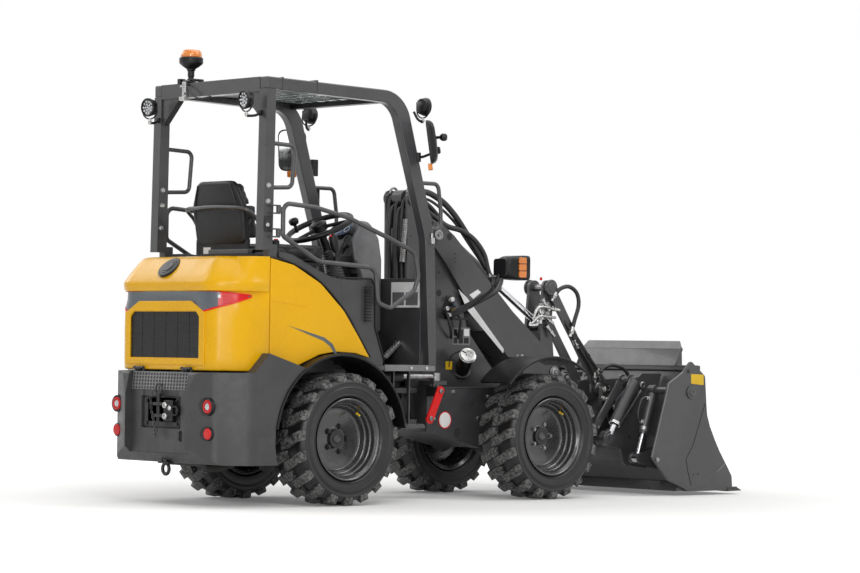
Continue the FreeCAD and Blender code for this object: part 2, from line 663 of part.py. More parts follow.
def tow_eye():
    """Ring on a short shank under the counterweight."""
    x, z = TOW_EYE_PLACE
    ring = Part.makeTorus(TOW_EYE_RADIUS, TOW_BAR_RADIUS, Vector(x, 0, z), Vector(1, 0, 0))
    shank = block(x - TOW_BAR_RADIUS, x + TOW_BAR_RADIUS, -14, 14, z + TOW_EYE_RADIUS - 4, 250)
    return joined([ring, shank]).cut(counterweight())


# --- hood ---------------------------------------------------------------------------------------

def hood_outline(inset):
    """Hood seen from above, drawn in by an inset."""
    w = BODY_HALF_WIDTH - 2 - inset
    rear = HOOD_REAR_X + inset
    return [(HOOD_FRONT_X, -w), (HOOD_FRONT_X, w), (-650, w), (rear, 330 - inset * 0.5),
            (rear, -330 + inset * 0.5), (-650, -w)]


def hood_side(inset):
    """Hood seen from the side, drawn in by an inset."""
    rear = HOOD_REAR_X + inset
    top = HOOD_TOP - inset
    floor = HOOD_FLOOR - inset * 2
    return [(HOOD_FRONT_X, WING_PEAK[1] + 14 - inset * 2), (HOOD_FRONT_X, top), (-700 + inset, top),
            (rear - 4, 1150), (rear + 2, 1095), (rear, floor), (-629, floor),
            (WING_PEAK[0] - 5, WING_PEAK[1] + SHUT_GAP - inset * 2)]


def hood_shell():
    """Yellow engine cover, one wall thick, with the grille's opening and two hinge knuckles."""
    wall = PANEL_THICKNESS
    radii = [0, 0, 90, 120, 120, 90]
    outer = plate_z(hood_outline(0), HOOD_FLOOR, HOOD_TOP, radii)
    outer = outer.common(plate_y(hood_side(0), -600, 600, [0, 0, 30, 10, 0, 0, 0, 0]))
    inner = plate_z(hood_outline(wall), HOOD_FLOOR - 40, HOOD_TOP, radii)
    inner = inner.common(plate_y([(x, z) for x, z in hood_side(wall)[1:6]] + [(HOOD_FRONT_X, HOOD_FLOOR - 36)],
                                 -600, 600, [0, 14, 10, 0, 0, 0]))
    mouth = block(HOOD_FRONT_X - 2, HOOD_FRONT_X + 2, -BODY_HALF_WIDTH + 20, BODY_HALF_WIDTH - 20,
                  HOOD_FLOOR - 40, HOOD_TOP - wall)
    shell = outer.cut(inner).cut(mouth).cut(grille_opening(0))
    x, z = HOOD_HINGE
    knuckles = []
    bores = []
    for centre in (-HOOD_HINGE_Y, HOOD_HINGE_Y):
        low, high = centre - HOOD_KNUCKLE_HALF, centre + HOOD_KNUCKLE_HALF
        knuckles.append(rod_y(x, z, low, high, HOOD_KNUCKLE_RADIUS))
        knuckles.append(block(x, HOOD_REAR_X + 4, low, high, z - 5, z + 9))
        bores.append(rod_y(x, z, low - 1, high + 1, HOOD_PIN_RADIUS + PIN_CLEARANCE))
    return joined([shell] + knuckles).cut(bores)


def grille_opening(clearance):
    """Trapezoid of the grille through the rear wall."""
    w = GRILLE_HALF_WIDTH - clearance
    top = GRILLE_TOP - clearance
    floor = GRILLE_FLOOR + clearance
    return plate_x([(-w, floor), (w, floor), (w + 18, top - 25), (w - 22, top), (-w + 22, top),
                    (-w - 18, top - 25)], HOOD_REAR_X - 30, HOOD_REAR_X + 60)


def hood_grille():
    """Dark grille plate in the hood's rear opening."""
    slab = block(HOOD_REAR_X + 3, HOOD_REAR_X + PANEL_THICKNESS - 2, -400, 400, 700, 1100)
    return slab.common(grille_opening(0.3))


# --- gates --------------------------------------------------------------------------------------

def gate():
    """Right-hand side gate: a closed loop of bent tube with its hinge barrels at the rear post."""
    y = GATE_HINGE_Y
    corners = [(-418, 1385), (-418, 1555), (-200, 1540), (20, 1496), (300, 1400), (486, 1330),
               (516, 1200), (486, 1128), (318, 1030), (232, 1056), (212, 1240), (-180, 1262)]
    bends = [30, 45, 200, 300, 300, 60, 60, 40, 36, 40, 60, 150]
    edges = rounded_wire([Vector(x, y, z) for x, z in corners], bends).Edges
    first = edges[1]
    start = first.valueAt(first.FirstParameter)
    direction = first.tangentAt(first.FirstParameter)
    circle = Part.Circle(start, direction, GATE_TUBE).toShape()
    path = Part.Wire(edges[1:] + edges[:1])
    parts = [path.makePipeShell([Part.Wire([circle])], True, True)]
    bores = []
    for level in GATE_HINGE_LEVELS:
        low, high = level - GATE_BARREL_HALF, level + GATE_BARREL_HALF
        parts.append(rod_z(GATE_HINGE_X, y, low, high, 13))
        parts.append(block(GATE_HINGE_X, -420, y - 7, y + 7, low + 3, high - 3))
        bores.append(rod_z(GATE_HINGE_X, y, low - 1, high + 1, GATE_PIN_RADIUS + PIN_CLEARANCE))
    return joined(parts).cut(bores)


# --- front frame --------------------------------------------------------------------------------

def front_chassis():
    """Front half of the pivot, box frame and the mast's two plates."""
    half = CHASSIS_HALF_WIDTH
    box_top = CHASSIS_TOP - 10
    nose = WHEELBASE + 176
    shell = plate_y([(850, 367), (850, box_top), (nose - 100, box_top), (nose, 540), (nose, 380),
                     (nose - 160, 300), (1250, 275)], -half, half)
    hollow = plate_y([(866, 381), (866, box_top + 1), (nose - 108, box_top + 1), (nose - 20, 540),
                      (nose - 20, 392), (nose - 164, 316), (1254, 292)], -half + CHASSIS_WALL, half - CHASSIS_WALL)
    tx, tz = TILT_BASE
    bx, bz = BOOM_PIVOT
    mast = [(tx - 32, 560), (tx - 44, tz - 60), (tx - 46, tz + 20), (tx, tz + 46), (tx + 46, tz + 10),
            (bx + 52, bz + 20), (bx + 50, bz - 60), (1085, 1290), (1168, 1146), (1240, 926), (1440, 706),
            (nose - 100, 600), (nose - 100, 335), (nose - 160, 308), (1250, 284), (860, 373)]
    plate = plate_y(mast, -MAST_INNER - MAST_PLATE, -MAST_INNER,
                    [0, 0, 40, 40, 30, 40, 0, 60, 0, 100, 0, 0, 0, 0, 0, 0])
    parts = [shell.cut(hollow), plate, other_side(plate),
             block(tx - 30, tx - 18, -MAST_INNER, MAST_INNER, 640, 1480)]
    for level in PIVOT_LEVELS:
        parts.append(pivot_lug(880, 130, level - LUG_THICKNESS / 2))
    lug_top = STEER_HEIGHT - 22
    parts.append(block(STEER_EYE[0] - 34, STEER_EYE[0] + 60, -half - 60, -half + 10, lug_top - 22, lug_top))
    parts.append(block(STEER_EYE[0] + 10, STEER_EYE[0] + 60, -half, -MAST_INNER - 5, CHASSIS_TOP - 40, lug_top))
    pivots = [rod_z(PIVOT_X, 0, 300, 700, PIVOT_PIN_RADIUS + PIN_CLEARANCE),
              rod_y(WHEELBASE, TYRE_RADIUS, -300, 300, AXLE_RADIUS + SEAT_GAP),
              Part.makeSphere(HOUSING_RADIUS + SEAT_GAP, Vector(WHEELBASE, 0, TYRE_RADIUS)),
              rod_y(bx, bz, -200, 200, BOOM_PIN_RADIUS + PIN_CLEARANCE),
              rod_y(tx, tz, -200, 200, MAST_PIN_RADIUS + PIN_CLEARANCE),
              rod_y(LIFT_BASE[0], LIFT_BASE[1], -150, 150, TRUNNION_RADIUS + PIN_CLEARANCE)]
    return joined(parts).cut(pivots)


def front_fender():
    """Right front mudguard with its bracket to the frame."""
    arc_x = WHEELBASE - 10
    outer = rod_y(arc_x, TYRE_RADIUS, -545, -300, 440)
    inner = rod_y(arc_x, TYRE_RADIUS, -546, -299, 428)
    wedge = plate_y([(arc_x, TYRE_RADIUS), (arc_x - 620, 920), (arc_x, 1100), (arc_x + 330, 1100)], -560, -280)
    strip = outer.cut(inner).common(wedge)
    x0, x1 = WHEELBASE - 84, WHEELBASE - 34
    bracket = [block(x0, x1, -310, -255, 767, 779), block(x0, x1, -270, -255, 560, 779),
               block(x0, x1, -270, -CHASSIS_HALF_WIDTH - SEAT_GAP, 560, 600)]
    return joined([strip] + bracket)


def headlight():
    """Right headlight with its post and arm from the mast."""
    body = plate_x([(-500, 1200), (-360, 1200), (-360, 1340), (-500, 1340)], 1180, 1330, 28)
    post = rod_between(Vector(1220, -400, 1205), Vector(1190, -400, 1120), 16)
    arm = rod_between(Vector(1190, -400, 1120), Vector(1060, -MAST_INNER - MAST_PLATE - 40, 1010), 16)
    foot = block(1020, 1100, -MAST_INNER - MAST_PLATE - 62, -MAST_INNER - MAST_PLATE, 970, 1050)
    return joined([body, post, arm, foot, Part.makeSphere(16, Vector(1190, -400, 1120))])


# --- boom and linkage -----------------------------------------------------------------------------

def along(start, end, share, lift=0.0):
    """Point at a share of the way from start to end, lifted square to the line."""
    dx, dz = end[0] - start[0], end[1] - start[1]
    length = math.hypot(dx, dz)
    return (start[0] + dx * share - dz / length * lift, start[1] + dz * share + dx / length * lift)


def boom():
    """Two side plates tied by cross tubes and covers, forked over the mast at the root."""
    a, b = BOOM_PIVOT, COUPLER_PIVOT
    outline = [along(a, b, -0.035, 70), along(a, b, 0.06, 92), along(a, b, 0.42, 88), along(a, b, 0.64, 116),
               along(a, b, 0.80, 70), along(a, b, 0.985, 48), along(a, b, 1.028, 0), along(a, b, 0.985, -48),
               along(a, b, 0.80, -70), along(a, b, 0.55, -120), along(a, b, 0.40, -128), along(a, b, 0.28, -112),
               along(a, b, 0.10, -64), along(a, b, -0.03, -45)]
    radii = [50, 40, 200, 150, 200, 40, 20, 40, 200, 150, 100, 100, 100, 40]
    parts = []
    for side in (-1, 1):
        y = sorted((side * BOOM_INNER, side * (BOOM_INNER + BOOM_PLATE)))
        parts.append(plate_y(outline, y[0], y[1], radii))
        y = sorted((side * BOOM_INNER, side * (BOOM_INNER + BOOM_PLATE + 14)))
        parts.append(rod_y(a[0], a[1], y[0], y[1], 44))
        parts.append(rod_y(b[0], b[1], y[0], y[1], 40))
    cover = [along(a, b, 0.24, 72), along(a, b, 0.42, 80), along(a, b, 0.42, 68), along(a, b, 0.24, 60)]
    parts.append(plate_y(cover, -BOOM_INNER, BOOM_INNER))
    belly = [along(a, b, 0.40, -104), along(a, b, 0.55, -100), along(a, b, 0.80, -56), along(a, b, 0.90, -50),
             along(a, b, 0.90, -38), along(a, b, 0.80, -44), along(a, b, 0.55, -88), along(a, b, 0.40, -92)]
    parts.append(plate_y(belly, -BOOM_INNER, BOOM_INNER))
    tie = along(a, b, 0.33, 20)
    parts.append(rod_y(tie[0], tie[1], -BOOM_INNER, BOOM_INNER, 40))
    whole = joined(parts)
    hang = []
    ex, ez = LIFT_EYE
    for side in (-1, 1):
        y = sorted((side * (EYE_HALF_WIDTH + RUN_GAP), side * (EYE_HALF_WIDTH + RUN_GAP + 14)))
        lug = plate_y([(ex - 34, ez - 30), (ex + 40, ez - 36), along(a, b, 0.30, 10), along(a, b, 0.24, 60),
                       along(a, b, 0.20, 30)], y[0], y[1], [20, 20, 0, 0, 0])
        hang.append(lug)
    web = plate_y([along(a, b, 0.255, 62), along(a, b, 0.32, 62), along(a, b, 0.32, 50), along(a, b, 0.255, 50)],
                  -BOOM_INNER, BOOM_INNER)
    whole = whole.fuse(hang + [web]).removeSplitter()
    for side in (-1, 1):
        y = sorted((side * (MAST_INNER - 2), side * (BOOM_INNER + BOOM_PLATE + 20)))
        whole = whole.fuse(rod_y(a[0], a[1], y[0], y[1], BOOM_PIN_RADIUS))
    holes = [rod_y(ROCKER_PIVOT[0], ROCKER_PIVOT[1], -200, 200, ROCKER_PIN_RADIUS + PIN_CLEARANCE),
             rod_y(b[0], b[1], -200, 200, COUPLER_PIN_RADIUS + PIN_CLEARANCE)]
    return whole.cut(holes[0]).cut(holes[1]).removeSplitter()


def pin_y(place, half_length, radius, head):
    """Pin across the machine with a thin head at each end."""
    shaft = rod_y(place[0], place[1], -half_length, half_length, radius)
    heads = [rod_y(place[0], place[1], half_length, half_length + 6, head),
             rod_y(place[0], place[1], -half_length - 6, -half_length, head)]
    return joined([shaft] + heads)


def rocker():
    """Two lever plates tied by the tube round the lower pin."""
    p0, p1, p2 = ROCKER_PIVOT, ROCKER_MID, ROCKER_TOP
    outline = [(p0[0] - 44, p0[1] - 40), (p0[0] + 44, p0[1] - 40), (p0[0] + 52, p0[1] + 60), (p1[0] + 40, p1[1]),
               (p2[0] + 42, p2[1] - 20), (p2[0] + 40, p2[1] + 42), (p2[0] - 42, p2[1] + 42),
               (p2[0] - 44, p2[1] - 20), (p1[0] - 48, p1[1]), (p0[0] - 60, p0[1] + 60)]
    outer = ROCKER_INNER + ROCKER_PLATE
    plate = plate_y(outline, -outer, -ROCKER_INNER, [38, 38, 60, 100, 60, 38, 38, 60, 100, 60])
    spacer = rod_y(p0[0], p0[1], -BOOM_INNER + RUN_GAP, -outer, ROCKER_PIN_RADIUS + 4)
    tube = rod_y(p0[0], p0[1], -ROCKER_INNER, ROCKER_INNER, 42)
    whole = joined([tube, plate, other_side(plate), spacer, other_side(spacer)])
    for place, radius in ((p0, ROCKER_PIN_RADIUS), (p2, LINK_PIN_RADIUS)):
        whole = whole.cut(rod_y(place[0], place[1], -200, 200, radius + PIN_CLEARANCE))
    return whole


def bucket_link():
    """Two flat bars from the rocker's top to the coupler, outside the rocker's plates."""
    a, b = ROCKER_TOP, LINK_LOW
    y0, y1 = -LINK_INNER - LINK_PLATE, -LINK_INNER
    bar = plate_y([along(a, b, 0.02, 32), along(a, b, 0.5, 28), along(a, b, 0.98, 32), along(a, b, 0.98, -32),
                   along(a, b, 0.5, -28), along(a, b, 0.02, -32)], y0, y1, [0, 300, 0, 0, 300, 0])
    whole = joined([bar, rod_y(a[0], a[1], y0, y1, LINK_EYE_RADIUS), rod_y(b[0], b[1], y0, y1, LINK_EYE_RADIUS)])
    return pair(whole.cut(rod_y(a[0], a[1], -200, 200, LINK_PIN_RADIUS + PIN_CLEARANCE)))


# --- cylinders ------------------------------------------------------------------------------------

def cylinder_barrel(base, eye, length, radius, eye_radius, y, half, bore):
    """Barrel with its base eye: a tube closed at the base end, open for the rod."""
    start = Vector(base[0], y, base[1])
    span = Vector(eye[0] - base[0], 0, eye[1] - base[1]).normalize()
    body = rod_between(start + span * (eye_radius * 0.7), start + span * length, radius)
    ring = rod_y(base[0], base[1], y - half, y + half, eye_radius)
    whole = joined([body, ring])
    return whole.cut(rod_between(start + span * (eye_radius + 20), start + span * (length + 10), bore))


def cylinder_rod(base, eye, start_share, radius, eye_radius, y, half):
    """Rod with its eye; the eye's own pin fills its bore."""
    origin = Vector(base[0], y, base[1])
    end = Vector(eye[0], y, eye[1])
    span = end - origin
    rod = rod_between(origin + span * start_share, end, radius)
    ring = rod_y(eye[0], eye[1], y - half, y + half, eye_radius)
    return joined([rod, ring])


def mast_pin():
    """Pin that carries the tilt cylinder between the mast plates."""
    half = MAST_INNER + MAST_PLATE + 2
    return pin_y(TILT_BASE, half, MAST_PIN_RADIUS, 34)


def tilt_barrel():
    """Tilt cylinder barrel on the mast pin."""
    body = cylinder_barrel(TILT_BASE, ROCKER_MID, 860, TILT_BARREL_RADIUS, 44, 0, EYE_HALF_WIDTH,
                           TILT_ROD_RADIUS + 0.5)
    return body.cut(rod_y(TILT_BASE[0], TILT_BASE[1], -100, 100, MAST_PIN_RADIUS + PIN_CLEARANCE))


def tilt_rod():
    """Tilt cylinder rod with its eye between the rocker plates."""
    return cylinder_rod(TILT_BASE, ROCKER_MID, 0.24, TILT_ROD_RADIUS, 38, 0, EYE_HALF_WIDTH)


def lift_barrel():
    """Lift cylinder barrel with the trunnion that runs in the mast plates."""
    body = cylinder_barrel(LIFT_BASE, LIFT_EYE, 620, LIFT_BARREL_RADIUS, 42, 0, 60, LIFT_ROD_RADIUS + 0.5)
    reach = MAST_INNER + MAST_PLATE + 4
    return joined([body, rod_y(LIFT_BASE[0], LIFT_BASE[1], -reach, reach, TRUNNION_RADIUS)])


def lift_rod():
    """Lift cylinder rod with its eye under the boom."""
    return cylinder_rod(LIFT_BASE, LIFT_EYE, 0.19, LIFT_ROD_RADIUS, 34, 0, EYE_HALF_WIDTH)


def steer_barrel():
    """Steering cylinder barrel on the rear frame's stud."""
    x0, y0 = STEER_BASE
    x1, y1 = STEER_EYE
    start = Vector(x0, y0, STEER_HEIGHT)
    span = Vector(x1 - x0, y1 - y0, 0).normalize()
    body = rod_between(start + span * 20, start + span * 400, STEER_BARREL_RADIUS)
    ring = rod_z(x0, y0, STEER_HEIGHT - 26, STEER_HEIGHT + 26, 30)
    whole = joined([body, ring]).cut(rod_z(x0, y0, 500, 800, STEER_STUD_RADIUS + PIN_CLEARANCE))
    return whole.cut(rod_between(start + span * 50, start + span * 410, STEER_ROD_RADIUS + 0.5))


def steer_rod():
    """Steering cylinder rod; its eye lies on the front frame's lug."""
    x0, y0 = STEER_BASE
    x1, y1 = STEER_EYE
    start = Vector(x0, y0, STEER_HEIGHT)
    end = Vector(x1, y1, STEER_HEIGHT)
    rod = rod_between(start + (end - start) * 0.36, end, STEER_ROD_RADIUS)
    ring = rod_z(x1, y1, STEER_HEIGHT - 21.5, STEER_HEIGHT + 21.5, 28)
    return joined([rod, ring])


def clam_barrels():
    """Barrels of the two clam cylinders, hung from the clam's ears."""
    one = cylinder_barrel(CLAM_EAR, CLAM_ROD_EYE, 262, CLAM_BARREL_RADIUS, 30, -CLAM_CYLINDER_Y, 24,
                          CLAM_ROD_RADIUS + 0.5)
    one = one.cut(rod_y(CLAM_EAR[0], CLAM_EAR[1], -600, -400, CLAM_STUD_RADIUS + PIN_CLEARANCE))
    return pair(one)


def clam_rods():
    """Rods of the two clam cylinders, with eyes between the back blade's lugs."""
    one = cylinder_rod(CLAM_EAR, CLAM_ROD_EYE, 0.36, CLAM_ROD_RADIUS, 26, -CLAM_CYLINDER_Y, 24)
    return pair(one)


# --- coupler and bucket -----------------------------------------------------------------------------

def coupler():
    """Quick coupler: two pairs of arms from the lower pin to the upper cross tube, and link ears."""
    px, pz = COUPLER_PIVOT
    lx, lz = LINK_LOW
    top = (2482.0, 640.0)
    parts = [rod_y(top[0], top[1], -HOOK_PLATE_Y + SEAT_GAP, HOOK_PLATE_Y - SEAT_GAP, 26)]
    for side in (-1, 1):
        y = sorted((side * COUPLER_ARM_INNER, side * (COUPLER_ARM_INNER + COUPLER_ARM_PLATE)))
        arm = plate_y([(px - 42, pz - 34), (px + 50, pz - 40), (px + 96, pz + 60), (top[0] + 36, top[1] - 24),
                       (top[0] + 20, top[1] + 34), (top[0] - 40, top[1] + 30), (px - 36, pz + 50)],
                      y[0], y[1], [36, 30, 60, 26, 20, 30, 30])
        parts.append(arm)
        y = sorted((side * (LINK_INNER - RUN_GAP), side * (LINK_INNER - RUN_GAP - ROCKER_PLATE)))
        ear = plate_y([(lx - 42, lz - 38), (lx + 90, lz - 90), (top[0] + 10, top[1] - 20), (top[0] + 4, top[1] + 24),
                       (lx + 10, lz + 44), (lx - 40, lz + 36)], y[0], y[1], [34, 20, 0, 0, 30, 34])
        parts.append(ear)
        y = sorted((side * (COUPLER_ARM_INNER + COUPLER_ARM_PLATE), side * (HOOK_PLATE_Y - SEAT_GAP)))
        parts.append(rod_y(px + 60, pz - 20, y[0], y[1], 20))
    whole = joined(parts)
    return whole.cut(rod_y(px, pz, -300, 300, COUPLER_PIN_RADIUS + PIN_CLEARANCE))


def blade_profile(offset):
    """Curved back blade seen from the side; offset moves it forwards."""
    return [(2606 + offset, 745), (2500 + offset, 480), (2440 + offset, 300), (2436 + offset, 160),
            (2480 + offset, 60)]


def back_blade():
    """Curved back blade with spill guard, hook plates, and lugs for the clam."""
    rear = blade_profile(0)
    front = blade_profile(BLADE_THICKNESS)
    skin = plate_y(rear + front[::-1], -BLADE_HALF_WIDTH, BLADE_HALF_WIDTH, [0, 300, 300, 160, 0, 0, 160, 300, 300, 0])
    parts = [skin]
    rail = block(2575, 2632, -BLADE_HALF_WIDTH, BLADE_HALF_WIDTH, 716, 742)
    parts.append(rail)
    guard = plate_y([(2604, 740), (2616, 740), (2660, 836), (2745, 866), (2741, 878), (2650, 846)],
                    -GUARD_HALF_WIDTH, GUARD_HALF_WIDTH)
    parts.append(guard)
    edge = plate_y([(2466, 78), (2490, 78), (2520, 30), (2440, 26)], -BLADE_HALF_WIDTH, BLADE_HALF_WIDTH)
    parts.append(edge)
    for side in (-1, 1):
        y = sorted((side * HOOK_PLATE_Y, side * (HOOK_PLATE_Y + HOOK_PLATE_THICKNESS)))
        hook = plate_y([(2200, 372), (2200, 545), (2400, 694), (2560, 694), (2490, 480), (2445, 300), (2445, 150),
                        (2260, 172)], y[0], y[1], [40, 40, 30, 0, 0, 0, 0, 30])
        parts.append(hook)
        for centre in (CLAM_CYLINDER_Y - 24 - RUN_GAP - 12, CLAM_CYLINDER_Y + 24 + RUN_GAP):
            y = sorted((side * centre, side * (centre + 12)))
            rx, rz = CLAM_ROD_EYE
            lug = plate_y([(rx - 30, rz + 26), (rx - 30, rz - 26), (rx + 20, rz - 36), (2440, 150), (2440, 290),
                           (rx + 30, rz + 34)], y[0], y[1], [24, 24, 20, 0, 0, 20])
            parts.append(lug)
        y = sorted((side * (BLADE_HALF_WIDTH - 40), side * (BLADE_HALF_WIDTH + 0)))
        ear = plate_y([(2500, 560), (2530, 545), (2575, 560), (2590, 640), (2628, 736), (2580, 736)], y[0], y[1])
        parts.append(ear)
        y = sorted((side * (BLADE_HALF_WIDTH - 40), side * (BUCKET_HALF_WIDTH + 6)))
        parts.append(rod_y(CLAM_PIVOT[0], CLAM_PIVOT[1], y[0], y[1], CLAM_PIVOT_RADIUS))
    return joined(parts)


def clam():
    """Floor with cutting edge, side plates, and the ears that take the cylinders."""
    floor = plate_y([(2532, 24), (FRONT_REACH, 24), (FRONT_REACH - 60, 44), (2532, 44)],
                    -BUCKET_HALF_WIDTH, BUCKET_HALF_WIDTH)
    parts = [floor]
    inner = BUCKET_HALF_WIDTH - SIDE_PLATE
    outline = [(2218, 225), (2352, 92), (2532, 24), (FRONT_REACH, 24), (2850, 172), (2664, 546), (2652, 684),
               (2532, 770), (2460, 700), (2350, 640), (2330, 570)]
    for side in (-1, 1):
        y = sorted((side * inner, side * BUCKET_HALF_WIDTH))
        plate = plate_y(outline, y[0], y[1], [24, 30, 0, 0, 40, 40, 30, 16, 30, 24, 30])
        parts.append(plate)
        y = sorted((side * (CLAM_CYLINDER_Y - 26), side * inner))
        parts.append(rod_y(CLAM_EAR[0], CLAM_EAR[1], y[0], y[1], CLAM_STUD_RADIUS))
        y = sorted((side * (CLAM_CYLINDER_Y + 26), side * inner))
        parts.append(rod_y(CLAM_EAR[0], CLAM_EAR[1], y[0], y[1], CLAM_BOSS_RADIUS))
    whole = joined(parts)
    return whole.cut(rod_y(CLAM_PIVOT[0], CLAM_PIVOT[1], -700, 700, CLAM_PIVOT_RADIUS + PIN_CLEARANCE))


# --- write every node -------------------------------------------------------------------------------

for end_name, x in (("rear", 0.0), ("front", WHEELBASE)):
    for side_name, side in (("left", 1), ("right", -1)):
        save(end_name + "_" + side_name + "_tyre", tyre(x, side))
        save(end_name + "_" + side_name + "_rim", rim(x, side))
    save(end_name + "_axle", axle(x))

save("rear_chassis", rear_chassis())
save("engine_block", engine_block())
save("counterweight", counterweight())
save("rear_fenders", pair(rear_fender()))
save("side_panels", pair(side_panel()))
save("platform", platform())
save("side_consoles", pair(side_console()))
save("seat_base", seat_base())
save("seat_cushions", seat_cushions())
save("steering_column", steering_column())
save("steering_wheel", steering_wheel())
save("canopy_side_frames", pair(canopy_side()))
save("canopy_rear_frame", canopy_rear())
save("roof_panel", roof_panel())
save("beacon", beacon())
save("work_lights", work_lights())
save("mirrors", mirrors())
save("grab_handles", grab_handles())
save("tail_lamps", tail_lamps())
save("rear_hitch", rear_hitch())
save("tow_eye", tow_eye())
save("hood_shell", hood_shell())
save("hood_grille", hood_grille())
save("right_gate_loop", gate())
save("left_gate_loop", other_side(gate()))
save("front_chassis", front_chassis())
save("front_fenders", pair(front_fender()))
save("headlights", pair(headlight()))
save("boom_arm", boom())
save("lift_barrel", lift_barrel())
save("lift_rod", lift_rod())
save("mast_pin", mast_pin())
save("tilt_barrel", tilt_barrel())
save("tilt_rod", tilt_rod())
save("rocker_pin", pin_y(ROCKER_PIVOT, BOOM_INNER + BOOM_PLATE + 2, ROCKER_PIN_RADIUS, 34))
save("rocker_lever", rocker())
save("link_pin", pin_y(ROCKER_TOP, LINK_INNER + LINK_PLATE + 2, LINK_PIN_RADIUS, 30))
save("bucket_link", bucket_link())
save("coupler_pin", pin_y(COUPLER_PIVOT, COUPLER_ARM_INNER + COUPLER_ARM_PLATE + 2, COUPLER_PIN_RADIUS, 36))
save("coupler_frame", coupler())
save("back_blade", back_blade())
save("clam_shell", clam())
save("clam_barrels", clam_barrels())
save("clam_rods", clam_rods())
save("steer_barrel", steer_barrel())
save("steer_rod", steer_rod())
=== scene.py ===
"""Looks of a compact articulated wheel loader with a four-post canopy and a two-piece bucket.

Each sub-assembly is a class that holds its sizes and builds its pieces. Sizes are millimetres counted
from the rear axle, the machine's centre plane and the ground; at() turns them into the row frame.
"""
import json
import logging
import math
from dataclasses import dataclass
from enum import Enum

import bmesh
import bpy
from mathutils import Matrix, Vector

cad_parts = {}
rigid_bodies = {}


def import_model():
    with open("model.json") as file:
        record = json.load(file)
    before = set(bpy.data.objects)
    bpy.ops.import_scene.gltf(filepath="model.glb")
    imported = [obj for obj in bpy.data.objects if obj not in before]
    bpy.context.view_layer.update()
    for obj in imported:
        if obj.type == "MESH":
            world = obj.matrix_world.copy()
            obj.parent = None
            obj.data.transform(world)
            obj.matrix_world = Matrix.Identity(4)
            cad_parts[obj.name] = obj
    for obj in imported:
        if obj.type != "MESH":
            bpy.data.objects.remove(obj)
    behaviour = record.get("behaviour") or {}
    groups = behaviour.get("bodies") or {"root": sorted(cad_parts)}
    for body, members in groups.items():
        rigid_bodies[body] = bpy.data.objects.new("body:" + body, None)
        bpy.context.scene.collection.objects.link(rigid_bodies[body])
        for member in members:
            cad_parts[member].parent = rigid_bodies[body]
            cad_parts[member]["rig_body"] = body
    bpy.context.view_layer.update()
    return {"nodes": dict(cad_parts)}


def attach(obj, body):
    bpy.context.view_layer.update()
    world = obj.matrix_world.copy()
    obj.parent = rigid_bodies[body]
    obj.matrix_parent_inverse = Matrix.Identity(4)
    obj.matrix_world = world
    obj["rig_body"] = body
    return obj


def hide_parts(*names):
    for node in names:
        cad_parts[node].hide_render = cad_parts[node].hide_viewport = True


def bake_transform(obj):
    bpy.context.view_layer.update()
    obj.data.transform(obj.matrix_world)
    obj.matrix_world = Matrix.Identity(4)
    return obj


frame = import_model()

LOG = logging.getLogger("loader")
MIDDLE_X = 1048.0           # rear axle to the origin, along the machine
WHEELBASE = 1484.0
AXLE_HEIGHT = 345.0

Colour = tuple[float, float, float]
Point = tuple[float, float, float]
Flat = tuple[float, float]


def at(x: float, y: float, z: float) -> Vector:
    """A place on the machine in the row frame.

    Args:
        x: Millimetres ahead of the rear axle.
        y: Millimetres to the left of the centre plane.
        z: Millimetres above the ground.

    Returns:
        The same place in metres.
    """
    return Vector(((x - MIDDLE_X) / 1000, y / 1000, z / 1000))


class Side(Enum):
    """The two sides of the machine, as signs of Y."""

    LEFT = 1
    RIGHT = -1


def sides() -> list[tuple[int, str]]:
    """Sign of Y and name of each side, the left one first."""
    return [(side.value, side.name.lower()) for side in Side]


class Axis(Enum):
    """Directions of a bar or disc."""

    X = (1.0, 0.0, 0.0)
    Y = (0.0, 1.0, 0.0)
    Z = (0.0, 0.0, 1.0)


# --- finishes -----------------------------------------------------------------------------------


def set_inputs(tree: bpy.types.NodeTree, node: bpy.types.Node, values: dict[str | int, object]) -> bpy.types.Node:
    """Set a node's inputs, with a link where the value is a socket.

    Args:
        tree: Tree that holds the node.
        node: The node.
        values: Value or socket for each input.

    Returns:
        The node.
    """
    for key, value in values.items():
        if isinstance(value, bpy.types.NodeSocket):
            tree.links.new(value, node.inputs[key])
        else:
            node.inputs[key].default_value = value
    return node


def add(tree: bpy.types.NodeTree, kind: str, values: dict[str | int, object] | None = None,
        **options: str) -> bpy.types.Node:
    """Add a node.

    Args:
        tree: Tree that gets the node.
        kind: Type of the node.
        values: Value or socket for each input.
        options: Settings of the node.

    Returns:
        The node.
    """
    node = tree.nodes.new(kind)
    for name, option in options.items():
        setattr(node, name, option)
    return set_inputs(tree, node, values or {})


